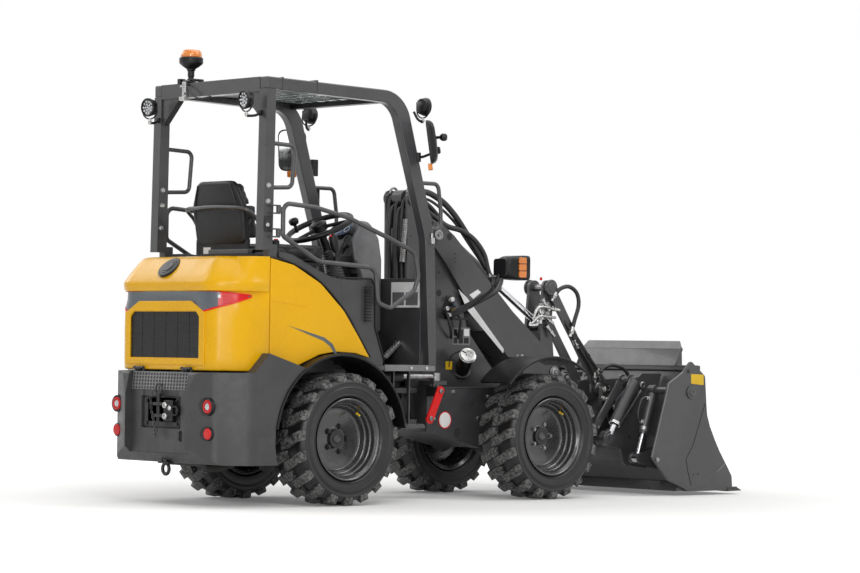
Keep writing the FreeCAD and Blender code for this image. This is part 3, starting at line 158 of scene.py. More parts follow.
@dataclass(frozen=True)
class Finish:
    """A painted, moulded or metal surface with drift in its colour, grain and dust.

    Attributes:
        name: Name of the material.
        colour: Main colour.
        shade: Colour that it drifts to in patches.
        roughness: Middle of its roughness.
        metallic: Share of metal.
        coat: Weight of the clear coat.
        drift: Patches per metre.
        grain: Grains per metre in the bump.
        depth: Height of the grain in metres.
        dust: Most dust, as a share.
        dust_colour: Colour of the dust.
        dust_top: Height in metres at which the dust has gone.
        shine: Strength of the reflection that is not metal.
    """

    name: str
    colour: Colour
    shade: Colour
    roughness: float = 0.5
    metallic: float = 0.0
    coat: float = 0.0
    drift: float = 5.0
    grain: float = 700.0
    depth: float = 0.0002
    dust: float = 0.0
    dust_colour: Colour = (0.20, 0.19, 0.18)
    dust_top: float = 0.9
    shine: float = 0.5

    def build(self) -> bpy.types.Material:
        """Make the node tree once and return the material."""
        known = bpy.data.materials.get(self.name)
        if known:
            return known
        material = bpy.data.materials.new(self.name)
        material.use_nodes = True
        tree = material.node_tree
        coords = add(tree, "ShaderNodeTexCoord")
        patches = self._noise(tree, coords, self.drift, 5.0)
        colour = self._blend(tree, self._contrast(tree, patches, 0.38, 0.62), self.colour, self.shade)
        if self.dust > 0:
            colour = self._dusted(tree, coords, colour)
        rough = add(tree, "ShaderNodeMapRange", {
            "From Min": 0.3, "From Max": 0.7, "To Min": max(0.02, self.roughness - 0.07),
            "To Max": min(1.0, self.roughness + 0.09),
                                                 "Value": self._noise(tree, coords, self.drift * 3.7, 4.0)})
        bump = add(tree, "ShaderNodeBump", {
            "Strength": 0.6, "Distance": self.depth, "Height": self._noise(tree, coords, self.grain, 3.0)})
        set_inputs(tree, tree.nodes["Principled BSDF"], {
            "Base Color": colour, "Roughness": rough.outputs["Result"], "Normal": bump.outputs["Normal"],
            "Metallic": self.metallic, "Coat Weight": self.coat, "Coat Roughness": 0.12,
            "Specular IOR Level": self.shine})
        return material

    def _noise(self, tree: bpy.types.NodeTree, coords: bpy.types.Node, scale: float,
               detail: float) -> bpy.types.NodeSocket:
        """Noise in object space at a number of features per metre."""
        return add(tree, "ShaderNodeTexNoise", {"Scale": scale, "Detail": detail, "Roughness": 0.6,
                                                "Vector": coords.outputs["Object"]}).outputs["Fac"]

    def _contrast(self, tree: bpy.types.NodeTree, value: bpy.types.NodeSocket, low: float,
                  high: float) -> bpy.types.NodeSocket:
        """Stretch a value so that low becomes 0 and high becomes 1."""
        return add(tree, "ShaderNodeMapRange", {"From Min": low, "From Max": high, "Value": value},
                   interpolation_type="SMOOTHSTEP").outputs["Result"]

    def _blend(self, tree: bpy.types.NodeTree, share: bpy.types.NodeSocket,
               first: Colour | bpy.types.NodeSocket,
               second: Colour) -> bpy.types.NodeSocket:
        """Mix two colours by a share."""
        start = first if isinstance(first, bpy.types.NodeSocket) else (*first, 1)
        return add(tree, "ShaderNodeMix", {"Factor": share, 6: start, 7: (*second, 1)},
                   data_type="RGBA").outputs[2]

    def _dusted(self, tree: bpy.types.NodeTree, coords: bpy.types.Node,
                colour: bpy.types.NodeSocket) -> bpy.types.NodeSocket:
        """Lay patchy dust over the lower parts."""
        split = add(tree, "ShaderNodeSeparateXYZ", {"Vector": coords.outputs["Object"]})
        fade = add(tree, "ShaderNodeMapRange", {"From Min": self.dust_top, "From Max": 0.0,
                                                "To Max": self.dust,
                                                "Value": split.outputs["Z"]})
        patches = self._contrast(tree, self._noise(tree, coords, 34.0, 8.0), 0.36, 0.66)
        share = add(tree, "ShaderNodeMath", {0: fade.outputs["Result"], 1: patches}, operation="MULTIPLY")
        return self._blend(tree, share.outputs["Value"], colour, self.dust_colour)


@dataclass(frozen=True)
class ClearFinish:
    """Clear or tinted lens or window."""

    name: str
    colour: Colour
    roughness: float = 0.05
    transmission: float = 0.9

    def build(self) -> bpy.types.Material:
        """Make the material once and return it."""
        known = bpy.data.materials.get(self.name)
        if known:
            return known
        material = bpy.data.materials.new(self.name)
        material.use_nodes = True
        tree = material.node_tree
        coords = add(tree, "ShaderNodeTexCoord")
        noise = add(tree, "ShaderNodeTexNoise", {"Scale": 90.0, "Vector": coords.outputs["Object"]})
        rough = add(tree, "ShaderNodeMapRange", {"To Min": self.roughness, "To Max": self.roughness + 0.12,
                                                 "Value": noise.outputs["Fac"]})
        set_inputs(tree, tree.nodes["Principled BSDF"], {
            "Roughness": rough.outputs["Result"], "Base Color": (*self.colour, 1),
            "Transmission Weight": self.transmission, "IOR": 1.46})
        return material


YELLOW = Finish("yellow_enamel", (0.85, 0.455, 0.0), (0.80, 0.42, 0.0), 0.27, drift=2.0,
                grain=450, depth=0.000004, shine=0.32)
GREY = Finish("grey_enamel", (0.052, 0.052, 0.055), (0.040, 0.040, 0.043), 0.34, drift=4.0, coat=0.22,
              grain=900, depth=0.00004, dust=0.04, dust_top=0.75)
DARK = Finish("dark_paint", (0.016, 0.016, 0.017), (0.011, 0.011, 0.012), 0.40, drift=5.0, dust=0.04,
              shine=0.4)
MOULDED = Finish("moulded_grey", (0.050, 0.050, 0.052), (0.040, 0.040, 0.042), 0.44, drift=7.0, grain=1500,
                 depth=0.00025, dust=0.04, dust_top=0.7, shine=0.45)
BLACK = Finish("black_moulding", (0.006, 0.006, 0.007), (0.004, 0.004, 0.005), 0.38, drift=9.0, grain=1300,
               depth=0.0002, dust=0.02, shine=0.3)
RUBBER = Finish("tyre_sidewall", (0.008, 0.008, 0.008), (0.012, 0.012, 0.012), 0.36, drift=12.0, grain=600,
                depth=0.0001, shine=0.45)
TREAD = Finish("tyre_tread", (0.006, 0.006, 0.006), (0.15, 0.148, 0.145), 0.58, drift=70.0, grain=240,
               depth=0.003, dust=0.15, dust_colour=(0.22, 0.218, 0.214), dust_top=1.1)
RIM = Finish("rim_enamel", (0.046, 0.046, 0.048), (0.034, 0.034, 0.036), 0.26, metallic=0.35, drift=7.0,
             coat=0.6,
             grain=300, depth=0.00001, dust=0.02, dust_top=0.7, shine=0.7)
STEEL = Finish("turned_steel", (0.30, 0.30, 0.31), (0.20, 0.19, 0.18), 0.34, metallic=0.9, drift=30.0)
DARK_STEEL = Finish("dark_steel", (0.09, 0.09, 0.092), (0.05, 0.05, 0.052), 0.38, metallic=0.8, drift=30.0)
STEEL_DARK = Finish("worn_steel", (0.10, 0.10, 0.10), (0.06, 0.058, 0.055), 0.40, metallic=0.7, drift=14.0)
# Lighter copy of the bucket's grey paint: painted highlight on the guard rim's top and along the clam's edges.
PAINTED_HIGHLIGHT_GREY = Finish("guard_enamel", (0.19, 0.19, 0.195), (0.15, 0.15, 0.155), 0.36, drift=4.0, grain=900,
                  depth=0.00004)
CHROME = Finish("polished_chrome", (0.72, 0.72, 0.74), (0.62, 0.62, 0.64), 0.14, metallic=1.0, drift=18.0)
ZINC = Finish("fitting_zinc", (0.52, 0.52, 0.51), (0.38, 0.38, 0.37), 0.26, metallic=0.95, drift=60.0)
HOSE = Finish("hose_rubber", (0.012, 0.012, 0.013), (0.020, 0.020, 0.021), 0.46, drift=40.0, grain=1800,
              depth=0.0003)
RED = Finish("red_paint", (0.80, 0.008, 0.008), (0.72, 0.006, 0.006), 0.32, shine=0.3)
RED_LENS = Finish("red_lamp_glass", (0.72, 0.006, 0.008), (0.60, 0.004, 0.006), 0.20, shine=0.35)
AMBER = Finish("amber_lamp_glass", (0.86, 0.26, 0.010), (0.75, 0.20, 0.006), 0.16, coat=0.8, grain=260,
               depth=0.0004)
WHITE_LENS = Finish("clear_lens", (0.72, 0.74, 0.76), (0.50, 0.52, 0.54), 0.12, coat=0.9, grain=420,
                    depth=0.0005)
REFLECTOR = Finish("lamp_reflector", (0.70, 0.71, 0.72), (0.45, 0.46, 0.47), 0.18, metallic=0.8, grain=120,
                   depth=0.001)
WHITE = Finish("blank_plate", (0.88, 0.88, 0.87), (0.82, 0.82, 0.81), 0.42, drift=9.0)
BAND = Finish("slate_band", (0.085, 0.105, 0.125), (0.070, 0.088, 0.106), 0.34, coat=0.3)
GREY_LIGHT = Finish("vent_grey", (0.20, 0.20, 0.205), (0.16, 0.16, 0.165), 0.42, metallic=0.2)
VINYL = Finish("stitched_vinyl", (0.009, 0.009, 0.010), (0.006, 0.006, 0.007), 0.46, drift=9.0, grain=520,
               depth=0.0006,
               shine=0.3)
POD = Finish("pod_grey", (0.13, 0.13, 0.135), (0.10, 0.10, 0.105), 0.34, drift=9.0, grain=1300, depth=0.0001,
             shine=0.7)
SCREEN = Finish("display_glass", (0.10, 0.16, 0.26), (0.07, 0.11, 0.19), 0.12, coat=0.7)
ROOF_SHEET = ClearFinish("roof_window", (0.74, 0.80, 0.78), 0.10, 0.75)
MIRROR = Finish("mirror_glass", (0.78, 0.79, 0.80), (0.74, 0.75, 0.76), 0.05, metallic=1.0, depth=0.00001)
YELLOW_PLATE = Finish("blank_yellow_plate", (0.85, 0.55, 0.02), (0.78, 0.48, 0.015), 0.40)
# Near-black finish for the underside parts and the grille ribs; on the hole discs and at the back of the
# counterweight's slot it is painted shade.
NEAR_BLACK_AND_HOLE_SHADE = Finish("underside_dark", (0.014, 0.014, 0.014), (0.022, 0.021, 0.019), 0.8, drift=15.0)

AnyFinish = Finish | ClearFinish


# --- mesh making ----------------------------------------------------------------------------------


class Shape:
    """Parts of one piece, gathered in one mesh in the row frame."""

    def __init__(self, name: str) -> None:
        """Start an empty piece."""
        self.name = name
        self.mesh = bmesh.new()

    def skin(self, rings: list[list[Vector]], caps: bool = True, loop: bool = False) -> "Shape":
        """Join rings of points, each closed on itself, into a surface.

        Args:
            rings: Rings with the same number of points.
            caps: Whether the first and last ring are filled.
            loop: Whether the last ring joins the first.

        Returns:
            This shape.
        """
        made = [[self.mesh.verts.new(p) for p in ring] for ring in rings]
        count = len(made[0])
        spans = list(zip(made, made[1:]))
        if loop:
            spans.append((made[-1], made[0]))
        for first, second in spans:
            for i in range(count):
                j = (i + 1) % count
                self.mesh.faces.new((first[i], first[j], second[j], second[i]))
        if caps and not loop:
            self.mesh.faces.new(list(reversed(made[0])))
            self.mesh.faces.new(made[-1])
        return self

    def prism(self, corners: list[Flat], axis: Axis, low: float, high: float) -> "Shape":
        """Plate from its outline, in machine millimetres.

        Args:
            corners: (x, z) for Y, (x, y) for Z and (y, z) for X.
            axis: Direction of its thickness.
            low: Start of the thickness.
            high: End of the thickness.

        Returns:
            This shape.
        """
        def place(a: float, b: float, depth: float) -> Vector:
            if axis is Axis.Y:
                return at(a, depth, b)
            if axis is Axis.Z:
                return at(a, b, depth)
            return at(depth, a, b)
        return self.skin([[place(a, b, low) for a, b in corners], [place(a, b, high) for a, b in corners]])

    def box(self, low: Point, high: Point) -> "Shape":
        """Block between two corners in machine millimetres."""
        return self.prism([(low[0], low[1]), (high[0], low[1]), (high[0], high[1]), (low[0], high[1])],
                          Axis.Z, low[2], high[2])

    def lathe(self, profile: list[Flat], centre: Vector, axis: Vector, sides: int = 48,
              closed: bool = False) -> "Shape":
        """Turned part.

        Args:
            profile: (millimetres along the axis, radius in millimetres).
            centre: Where the axis starts, in the row frame.
            axis: Direction of the axis.
            sides: Steps round the axis.
            closed: Whether the profile's last point joins its first.

        Returns:
            This shape.
        """
        axis = axis.normalized()
        across = axis.orthogonal().normalized()
        other = axis.cross(across)
        rings = []
        for along, radius in profile:
            ring = []
            for i in range(sides):
                turn = 2 * math.pi * i / sides
                out = across * math.cos(turn) + other * math.sin(turn)
                ring.append(centre + axis * (along / 1000) + out * (max(radius, 0.05) / 1000))
            rings.append(ring)
        return self.skin(rings, caps=not closed, loop=closed)

    def bar(self, start: Vector, end: Vector, radius: float, sides: int = 20,
            chamfer: float = 0.0) -> "Shape":
        """Round bar between two places in the row frame, radius in millimetres."""
        length = (end - start).length * 1000
        profile = [(0, radius), (length, radius)]
        if chamfer:
            profile = [(0, radius - chamfer), (chamfer, radius), (length - chamfer, radius),
                       (length, radius - chamfer)]
        return self.lathe(profile, start, end - start, sides)

    def tube(self, points: list[Vector], radius: float, sides: int = 14, steps: int = 6,
             smooth: bool = True) -> "Shape":
        """Bent bar or hose through points in the row frame.

        Args:
            points: Places that the line passes.
            radius: Radius in millimetres.
            sides: Steps round the bar.
            steps: Steps between two points where smooth.
            smooth: Whether the line is curved through its points.

        Returns:
            This shape.
        """
        line = curve_through(points, steps) if smooth else points
        rings = []
        normal = (line[1] - line[0]).orthogonal().normalized()
        for i, place in enumerate(line):
            ahead = line[min(i + 1, len(line) - 1)] - line[max(i - 1, 0)]
            ahead.normalize()
            normal = (normal - ahead * normal.dot(ahead)).normalized()
            other = ahead.cross(normal)
            rings.append([place + (normal * math.cos(2 * math.pi * k / sides)
                                   + other * math.sin(2 * math.pi * k / sides)) * (radius / 1000)
                          for k in range(sides)])
        return self.skin(rings)

    def hexagon(self, centre: Vector, axis: Vector, across_flats: float, height: float,
                washer: bool = True) -> "Shape":
        """Hexagon bolt head with its washer, in millimetres."""
        corner = across_flats / 2 / math.cos(math.pi / 6)
        base = height * 0.16 if washer else 0.0
        if washer:
            self.lathe([(0, corner * 1.12), (base, corner * 1.12)], centre, axis, 20)
        return self.lathe([(base, corner * 0.98), (base + height * 0.62, corner),
                           (base + height * 0.84, corner * 0.86)], centre, axis, 6)

    def take(self) -> bpy.types.Object:
        """Give the gathered mesh as an object and free it."""
        bmesh.ops.recalc_face_normals(self.mesh, faces=self.mesh.faces)
        data = bpy.data.meshes.new(self.name)
        self.mesh.to_mesh(data)
        self.mesh.free()
        return bpy.data.objects.new(self.name, data)

    def finish(self, finish: AnyFinish, body: str, bevel: float = 0.0, replaces: tuple[str, ...] = (),
               slot: str = "", smooth_angle: float = 35.0) -> bpy.types.Object:
        """Turn the gathered mesh into a piece that rides on a body.

        Args:
            finish: Its surface.
            body: The body that it rides on, or nothing to leave it on no body.
            bevel: Width of the rounded edges in millimetres.
            replaces: CAD nodes that it stands for.
            slot: The record's material slot; not used.
            smooth_angle: Edges sharper than this many degrees stay sharp.

        Returns:
            The finished object.
        """
        return dress(self.take(), finish, body, bevel, replaces, smooth_angle)


def dress(piece: bpy.types.Object, finish: AnyFinish, body: str, bevel: float = 0.0,
          replaces: tuple[str, ...] = (), smooth_angle: float = 35.0) -> bpy.types.Object:
    """Link a piece, shade it, round its edges and let it ride on a body.

    Args:
        piece: The piece.
        finish: Its surface.
        body: The body that it rides on, or nothing to leave it on no body.
        bevel: Width of the rounded edges in millimetres.
        replaces: CAD nodes that it stands for.
        smooth_angle: Edges sharper than this many degrees stay sharp.

    Returns:
        The same piece.
    """
    if piece.name not in bpy.context.scene.collection.objects:
        bpy.context.scene.collection.objects.link(piece)
    piece.data.materials.clear()
    piece.data.materials.append(finish.build())
    piece.data.shade_smooth()
    piece.data.set_sharp_from_angle(angle=math.radians(smooth_angle))
    if bevel > 0:
        round_edges(piece, bevel / 1000, smooth_angle)
    if body:
        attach(piece, body)
    if replaces:
        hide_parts(*replaces)
    LOG.info("piece %s on %s", piece.name, body)
    return piece


def round_edges(piece: bpy.types.Object, width: float, angle: float, segments: int = 2,
                harden: bool = True) -> None:
    """Round the edges of a piece.

    Args:
        piece: The piece.
        width: Width of the rounding in metres.
        angle: Only edges sharper than this many degrees are rounded.
        segments: Steps of the rounding.
        harden: Whether the flat faces keep flat shading.
    """
    rounding = piece.modifiers.new("rounding", "BEVEL")
    rounding.width = width
    rounding.segments = segments
    rounding.limit_method = "ANGLE"
    rounding.angle_limit = math.radians(angle)
    rounding.harden_normals = harden


def reshade(piece: bpy.types.Object, width: float, angle: float, segments: int = 2) -> None:
    """Shade a carved piece and round its edges, as round_edges does."""
    piece.data.shade_smooth()
    piece.data.set_sharp_from_angle(angle=math.radians(30))
    round_edges(piece, width, angle, segments)


def plain(piece: bpy.types.Object) -> None:
    """Run the modifiers of a piece and keep the plain mesh."""
    bpy.context.view_layer.update()
    ready = piece.evaluated_get(bpy.context.evaluated_depsgraph_get())
    piece.data = bpy.data.meshes.new_from_object(ready)
    piece.modifiers.clear()


def curve_through(points: list[Vector], steps: int) -> list[Vector]:
    """Smooth line through points, by Catmull and Rom's rule."""
    line = []
    count = len(points)
    for i in range(count - 1):
        before = points[i - 1] if i > 0 else points[i] * 2 - points[i + 1]
        after = points[i + 2] if i + 2 < count else points[i + 1] * 2 - points[i]
        first, second = points[i], points[i + 1]
        for k in range(steps):
            t = k / steps
            line.append(0.5 * ((2 * first) + (second - before) * t
                               + (2 * before - 5 * first + 4 * second - after) * t * t
                               + (3 * first - before - 3 * second + after) * t * t * t))
    line.append(points[-1].copy())
    return line


def rounded(corners: list[Flat], radii: list[float], steps: int = 5, closed: bool = True) -> list[Flat]:
    """Outline with rounded corners.

    Args:
        corners: Corners in order.
        radii: Radius at each corner.
        steps: Steps of each rounding.
        closed: Whether the outline closes on itself.

    Returns:
        Points of the rounded outline.
    """
    result: list[Flat] = []
    count = len(corners)
    for i, (corner, radius) in enumerate(zip(corners, radii)):
        if radius <= 0 or (not closed and i in (0, count - 1)):
            result.append(corner)
            continue
        here = Vector(corner)
        before = (Vector(corners[i - 1]) - here)
        after = (Vector(corners[(i + 1) % count]) - here)
        half = before.angle(after) / 2
        back = min(radius / math.tan(half), before.length * 0.49, after.length * 0.49)
        start, end = here + before.normalized() * back, here + after.normalized() * back
        for k in range(steps + 1):
            t = k / steps
            place = start * (1 - t) ** 2 + here * 2 * t * (1 - t) + end * t ** 2
            result.append((place.x, place.y))
    return result


def carve(piece: bpy.types.Object, tools: list[Shape]) -> None:
    """Cut closed shapes out of a piece and keep the plain mesh.

    Args:
        piece: The piece that is cut.
        tools: The shapes that are cut away; they are used up.
    """
    cutters = [tool.take() for tool in tools]
    for cutter in cutters:
        bpy.context.scene.collection.objects.link(cutter)
        step = piece.modifiers.new("cut", "BOOLEAN")
        step.operation = "DIFFERENCE"
        step.solver = "EXACT"
        step.object = cutter
    plain(piece)
    for cutter in cutters:
        bpy.data.objects.remove(cutter, do_unlink=True)


def refine(node: str, finish: AnyFinish, bevel: float) -> bpy.types.Object:
    """Stand a welded, rounded and smoothly shaded copy in for a frame node.

    Args:
        node: Name of the frame node.
        finish: Its surface.
        bevel: Width of its rounded edges in millimetres; 0 leaves them sharp.

    Returns:
        The new piece.
    """
    source = frame["nodes"][node]
    work = bmesh.new()
    work.from_mesh(source.data)
    bmesh.ops.remove_doubles(work, verts=work.verts, dist=0.00002)
    bmesh.ops.dissolve_degenerate(work, edges=work.edges, dist=0.00001)
    bmesh.ops.dissolve_limit(work, angle_limit=math.radians(0.6), verts=work.verts, edges=work.edges)
    data = bpy.data.meshes.new(node + "_skin")
    work.to_mesh(data)
    work.free()
    piece = bpy.data.objects.new(node + "_skin", data)
    return dress(piece, finish, source["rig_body"], bevel, (node,), 32.0)


# --- repeated parts -------------------------------------------------------------------------------


class Repeater:
    """Geometry Nodes trees that repeat one small part and give one plain mesh."""

    def __init__(self) -> None:
        """Build both trees."""
        self.grid_tree = self._grid()
        self.ring_tree = self._ring()

    def _start(self, name: str, extra: list[tuple[str, str]]) -> bpy.types.NodeTree:
        """A tree with its geometry sockets and the named inputs."""
        tree = bpy.data.node_groups.new(name, "GeometryNodeTree")
        tree.interface.new_socket("Part", in_out="INPUT", socket_type="NodeSocketGeometry")
        for label, kind in extra:
            tree.interface.new_socket(label, in_out="INPUT", socket_type=kind)
        tree.interface.new_socket("Finish", in_out="INPUT", socket_type="NodeSocketMaterial")
        tree.interface.new_socket("Result", in_out="OUTPUT", socket_type="NodeSocketGeometry")
        return tree

    def _math(self, tree: bpy.types.NodeTree, operation: str, first: bpy.types.NodeSocket,
              second: bpy.types.NodeSocket | float) -> bpy.types.NodeSocket:
        """One arithmetic step."""
        return add(tree, "ShaderNodeMath", {0: first, 1: second}, operation=operation).outputs[0]

    def _scaled(self, tree: bpy.types.NodeTree, vector: bpy.types.NodeSocket,
                factor: bpy.types.NodeSocket) -> bpy.types.NodeSocket:
        """A vector times a number."""
        return add(tree, "ShaderNodeVectorMath", {0: vector, "Scale": factor}, operation="SCALE").outputs[0]

    def _end(self, tree: bpy.types.NodeTree, given: bpy.types.Node,
             places: dict[str | int, bpy.types.NodeSocket]) -> bpy.types.NodeTree:
        """Put the part on the places, make it real, set its finish and return the tree."""
        put = add(tree, "GeometryNodeInstanceOnPoints", {"Instance": given.outputs["Part"], **places})
        real = add(tree, "GeometryNodeRealizeInstances", {"Geometry": put.outputs["Instances"]})
        paint = add(tree, "GeometryNodeSetMaterial", {"Geometry": real.outputs["Geometry"],
                                                      "Material": given.outputs["Finish"]})
        add(tree, "NodeGroupOutput", {"Result": paint.outputs["Geometry"]})
        return tree

    def _grid(self) -> bpy.types.NodeTree:
        """Rows and columns with a step along each."""
        tree = self._start("repeat_grid", [("Columns", "NodeSocketInt"), ("Rows", "NodeSocketInt"),
                                           ("Column Step", "NodeSocketVector"),
                                           ("Row Step", "NodeSocketVector")])
        given = add(tree, "NodeGroupInput")
        index = add(tree, "GeometryNodeInputIndex").outputs[0]
        columns = given.outputs["Columns"]
        column = self._math(tree, "MODULO", index, columns)
        ratio = self._math(tree, "DIVIDE", index, columns)
        row = self._math(tree, "FLOOR", self._math(tree, "ADD", ratio, 0.0001), 0.0)
        place = add(tree, "ShaderNodeVectorMath", {
            0: self._scaled(tree, given.outputs["Column Step"], column),
            1: self._scaled(tree, given.outputs["Row Step"], row)}, operation="ADD")
        points = add(tree, "GeometryNodePoints", {
            "Count": self._math(tree, "MULTIPLY", columns, given.outputs["Rows"]),
                                                  "Position": place.outputs[0]})
        return self._end(tree, given, {"Points": points.outputs[0]})

    def _ring(self) -> bpy.types.NodeTree:
        """A part, modelled about the origin, turned about Y and moved to a centre."""
        tree = self._start("repeat_ring", [("Count", "NodeSocketInt"), ("Phase", "NodeSocketFloat"),
                                           ("Centre", "NodeSocketVector")])
        given = add(tree, "NodeGroupInput")
        index = add(tree, "GeometryNodeInputIndex").outputs[0]
        points = add(tree, "GeometryNodePoints", {"Count": given.outputs["Count"],
                                                  "Position": given.outputs["Centre"]})
        turn = self._math(tree, "DIVIDE", self._math(tree, "MULTIPLY", index, 2 * math.pi),
                          given.outputs["Count"])
        spin = add(tree, "ShaderNodeCombineXYZ", {"Y": self._math(tree, "ADD", turn, given.outputs["Phase"])})
        return self._end(tree, given, {"Points": points.outputs[0], "Rotation": spin.outputs[0]})

    def _apply(self, shape: Shape, tree: bpy.types.NodeTree, finish: AnyFinish,
               values: dict[str, object]) -> bpy.types.Object:
        """Run a tree on a shape and keep the plain mesh."""
        piece = shape.take()
        bpy.context.scene.collection.objects.link(piece)
        modifier = piece.modifiers.new("repeat", "NODES")
        modifier.node_group = tree
        names = {item.name: item.identifier for item in tree.interface.items_tree
                 if item.item_type == "SOCKET" and item.in_out == "INPUT"}
        for label, value in values.items():
            modifier[names[label]] = value
        modifier[names["Finish"]] = finish.build()
        plain(piece)
        piece.data.name = shape.name
        return piece

    def grid(self, shape: Shape, finish: AnyFinish, body: str, columns: int, column_step: Point,
             rows: int = 1,
             row_step: Point = (0.0, 0.0, 0.0), bevel: float = 0.0) -> bpy.types.Object:
        """Repeat a shape in rows and columns; the steps are millimetres."""
        piece = self._apply(shape, self.grid_tree, finish, {
            "Columns": columns, "Rows": rows,
            "Column Step": Vector(column_step) / 1000, "Row Step": Vector(row_step) / 1000})
        return dress(piece, finish, body, bevel)

    def ring(self, shape: Shape, finish: AnyFinish, body: str, centre: Vector, count: int, phase: float = 0.0,
             bevel: float = 0.0) -> bpy.types.Object:
        """Repeat a shape, modelled about the row frame's origin, round an axis along Y."""
        piece = self._apply(shape, self.ring_tree, finish, {"Count": count, "Phase": phase, "Centre": centre})
        return dress(piece, finish, body, bevel)


# --- wheels ---------------------------------------------------------------------------------------


@dataclass
class Wheel:
    """One wheel: tyre, tread blocks, rim, bolts and valve."""

    end: str
    side: Side
    repeat: Repeater
    track_half: float = 420.0
    half_width: float = 133.5
    lugs: int = 19
    bolt_circle: float = 68.0

    @property
    def body(self) -> str:
        """Name of the wheel's body."""
        return f"{self.end}_{self.side.name.lower()}_wheel"

    @property
    def centre(self) -> Vector:
        """Middle of the wheel."""
        return at(0 if self.end == "rear" else WHEELBASE, self.side.value * self.track_half, AXLE_HEIGHT)

    def build(self) -> None:
        """Make every piece of the wheel."""
        self.carcass()
        self.tread()
        self.rim()
        self.fixings()

    def carcass(self) -> None:
        """Sidewalls with their ribs and the groove bottom of the tread."""
        half = self.half_width
        side = [(106.5, 197), (107, 214), (116, 219), (122, 226), (125, 228), (125, 232), (123.5, 235),
                (126, 243),
                (129.5, 260), (130, 264), (133, 266), (133.4, 269), (131, 272), (130.5, 286), (131, 291),
                (133.4, 294), (133.4, 298), (131, 301), (126, 308), (114, 319), (98, 323)]
        outline = side + [(0, 326)] + [(-a, r) for a, r in reversed(side)]
        name = f"{self.end}_{self.side.name.lower()}_tyre"
        shape = Shape(name + "_carcass")
        shape.lathe([(a, r) for a, r in outline if abs(a) <= half], self.centre, Vector((0, 1, 0)), 120,
                    closed=True)
        shape.finish(RUBBER, self.body, replaces=(name,), slot="tyre", smooth_angle=40)

    def lug(self, name: str, hand: float) -> Shape:
        """One tread block that starts on the shoulder and hooks over the crown.

        Args:
            name: Name of the piece.
            hand: 1 or -1 for the shoulder that it starts from.

        Returns:
            The block about the row frame's origin.
        """
        rows = [((131.5, 300), (118, 298), 0.0, 4.2), ((132.5, 314), (114, 304), 0.3, 4.6),
                ((125, 336), (107, 317), 0.8, 4.6),
                ((112, 343.5), (100, 320), 1.4, 4.4), ((84, 344.6), (84, 322), 3.2, 4.2),
                ((56, 345), (56, 323), 5.6, 4.1), ((28, 345), (28, 324), 7.8, 4.3),
                ((4, 345), (4, 324), 9.2, 4.4), ((-16, 345), (-16, 324), 10.0, 3.6)]
        shape = Shape(name)
        rings = []
        for (y_out, r_out), (y_in, r_in), lead, spread in rows:
            ring = []
            for y, radius, turn in ((y_out, r_out, lead - spread), (y_out, r_out, lead + spread),
                                    (y_in, r_in - 3, lead + spread * 1.12),
                                    (y_in, r_in - 3, lead - spread * 1.12)):
                angle = math.radians(turn) * hand
                ring.append(Vector((math.sin(angle) * radius, hand * y, math.cos(angle) * radius)) / 1000)
            rings.append(ring)
        shape.skin(rings)
        return shape

    def tread(self) -> None:
        """Two rows of blocks, half a pitch apart."""
        name = f"{self.end}_{self.side.name.lower()}_tread"
        for hand, label in ((1.0, "left"), (-1.0, "right")):
            phase = 0.0 if hand > 0 else math.pi / self.lugs
            self.repeat.ring(self.lug(f"{name}_{label}_blocks", hand), TREAD, self.body, self.centre,
                             self.lugs,
                             phase, bevel=1.6)

    def rim(self) -> None:
        """Stepped rim with a flat disc and a raised centre."""
        out = self.side.value
        profile = [(120, 206), (121.5, 210), (120, 213), (114, 213), (111, 210), (110, 198), (96, 196.2),
                   (70, 196),
                   (-96, 196), (-110, 198), (-111, 210), (-120, 213), (-121, 208), (-112, 192), (-90, 188),
                   (-40, 180), (-4, 170), (0, 160), (4, 148), (5, 49), (14.6, 49), (15.4, 56), (16.4, 60),
                   (14.2, 64), (14.2, 150), (15, 158), (18, 163), (24, 166), (44, 168), (50, 171), (53, 177),
                   (72, 180), (79, 183), (82, 188), (98, 191), (106, 194), (110, 199), (114, 201)]
        name = f"{self.end}_{self.side.name.lower()}_rim"
        shape = Shape(name + "_wheel")
        shape.lathe([(a * out, r) for a, r in profile], self.centre, Vector((0, 1, 0)), 96, closed=True)
        shape.finish(RIM, self.body, replaces=(name,), slot="rim_paint", smooth_angle=40)

    def fixings(self) -> None:
        """Five bolts with their bosses, the hub cap and the valve."""
        out = Vector((0, self.side.value, 0))
        name = f"{self.end}_{self.side.name.lower()}"
        bolt = Shape(name + "_wheel_bolts")
        place = Vector((0, self.side.value * 0.0142, self.bolt_circle / 1000))
        bolt.lathe([(0, 17), (3, 15), (3, 12)], place, out, 20)
        bolt.hexagon(place + out * 0.003, out, 23, 17, washer=False)
        bolt.lathe([(12, 6), (22, 6), (23, 5)], place, out, 12)
        self.repeat.ring(bolt, STEEL if self.end == "front" else DARK, self.body, self.centre, 5, 0.3)
        Shape(name + "_hub_cap").lathe([(14, 36), (24, 35), (26, 32), (27, 25), (33, 23), (35, 18), (32, 15),
                                        (32, 1)], self.centre, out,
                                       40).finish(STEEL_DARK, self.body, bevel=0.6)
        valve = Shape(name + "_valve")
        angle = math.radians(38)
        foot = self.centre + Vector((math.sin(angle) * 0.170, self.side.value * 0.060,
                                     math.cos(angle) * 0.170))
        stem = foot + Vector((-math.sin(angle) * 0.014, self.side.value * 0.034, -math.cos(angle) * 0.014))
        valve.bar(foot, foot.lerp(stem, 0.35), 6, 14)
        valve.bar(foot.lerp(stem, 0.3), foot.lerp(stem, 0.7), 4, 12)
        valve.bar(foot.lerp(stem, 0.7), stem, 5, 12, 1)
        valve.finish(YELLOW_PLATE, self.body)


# --- engine cover ---------------------------------------------------------------------------------


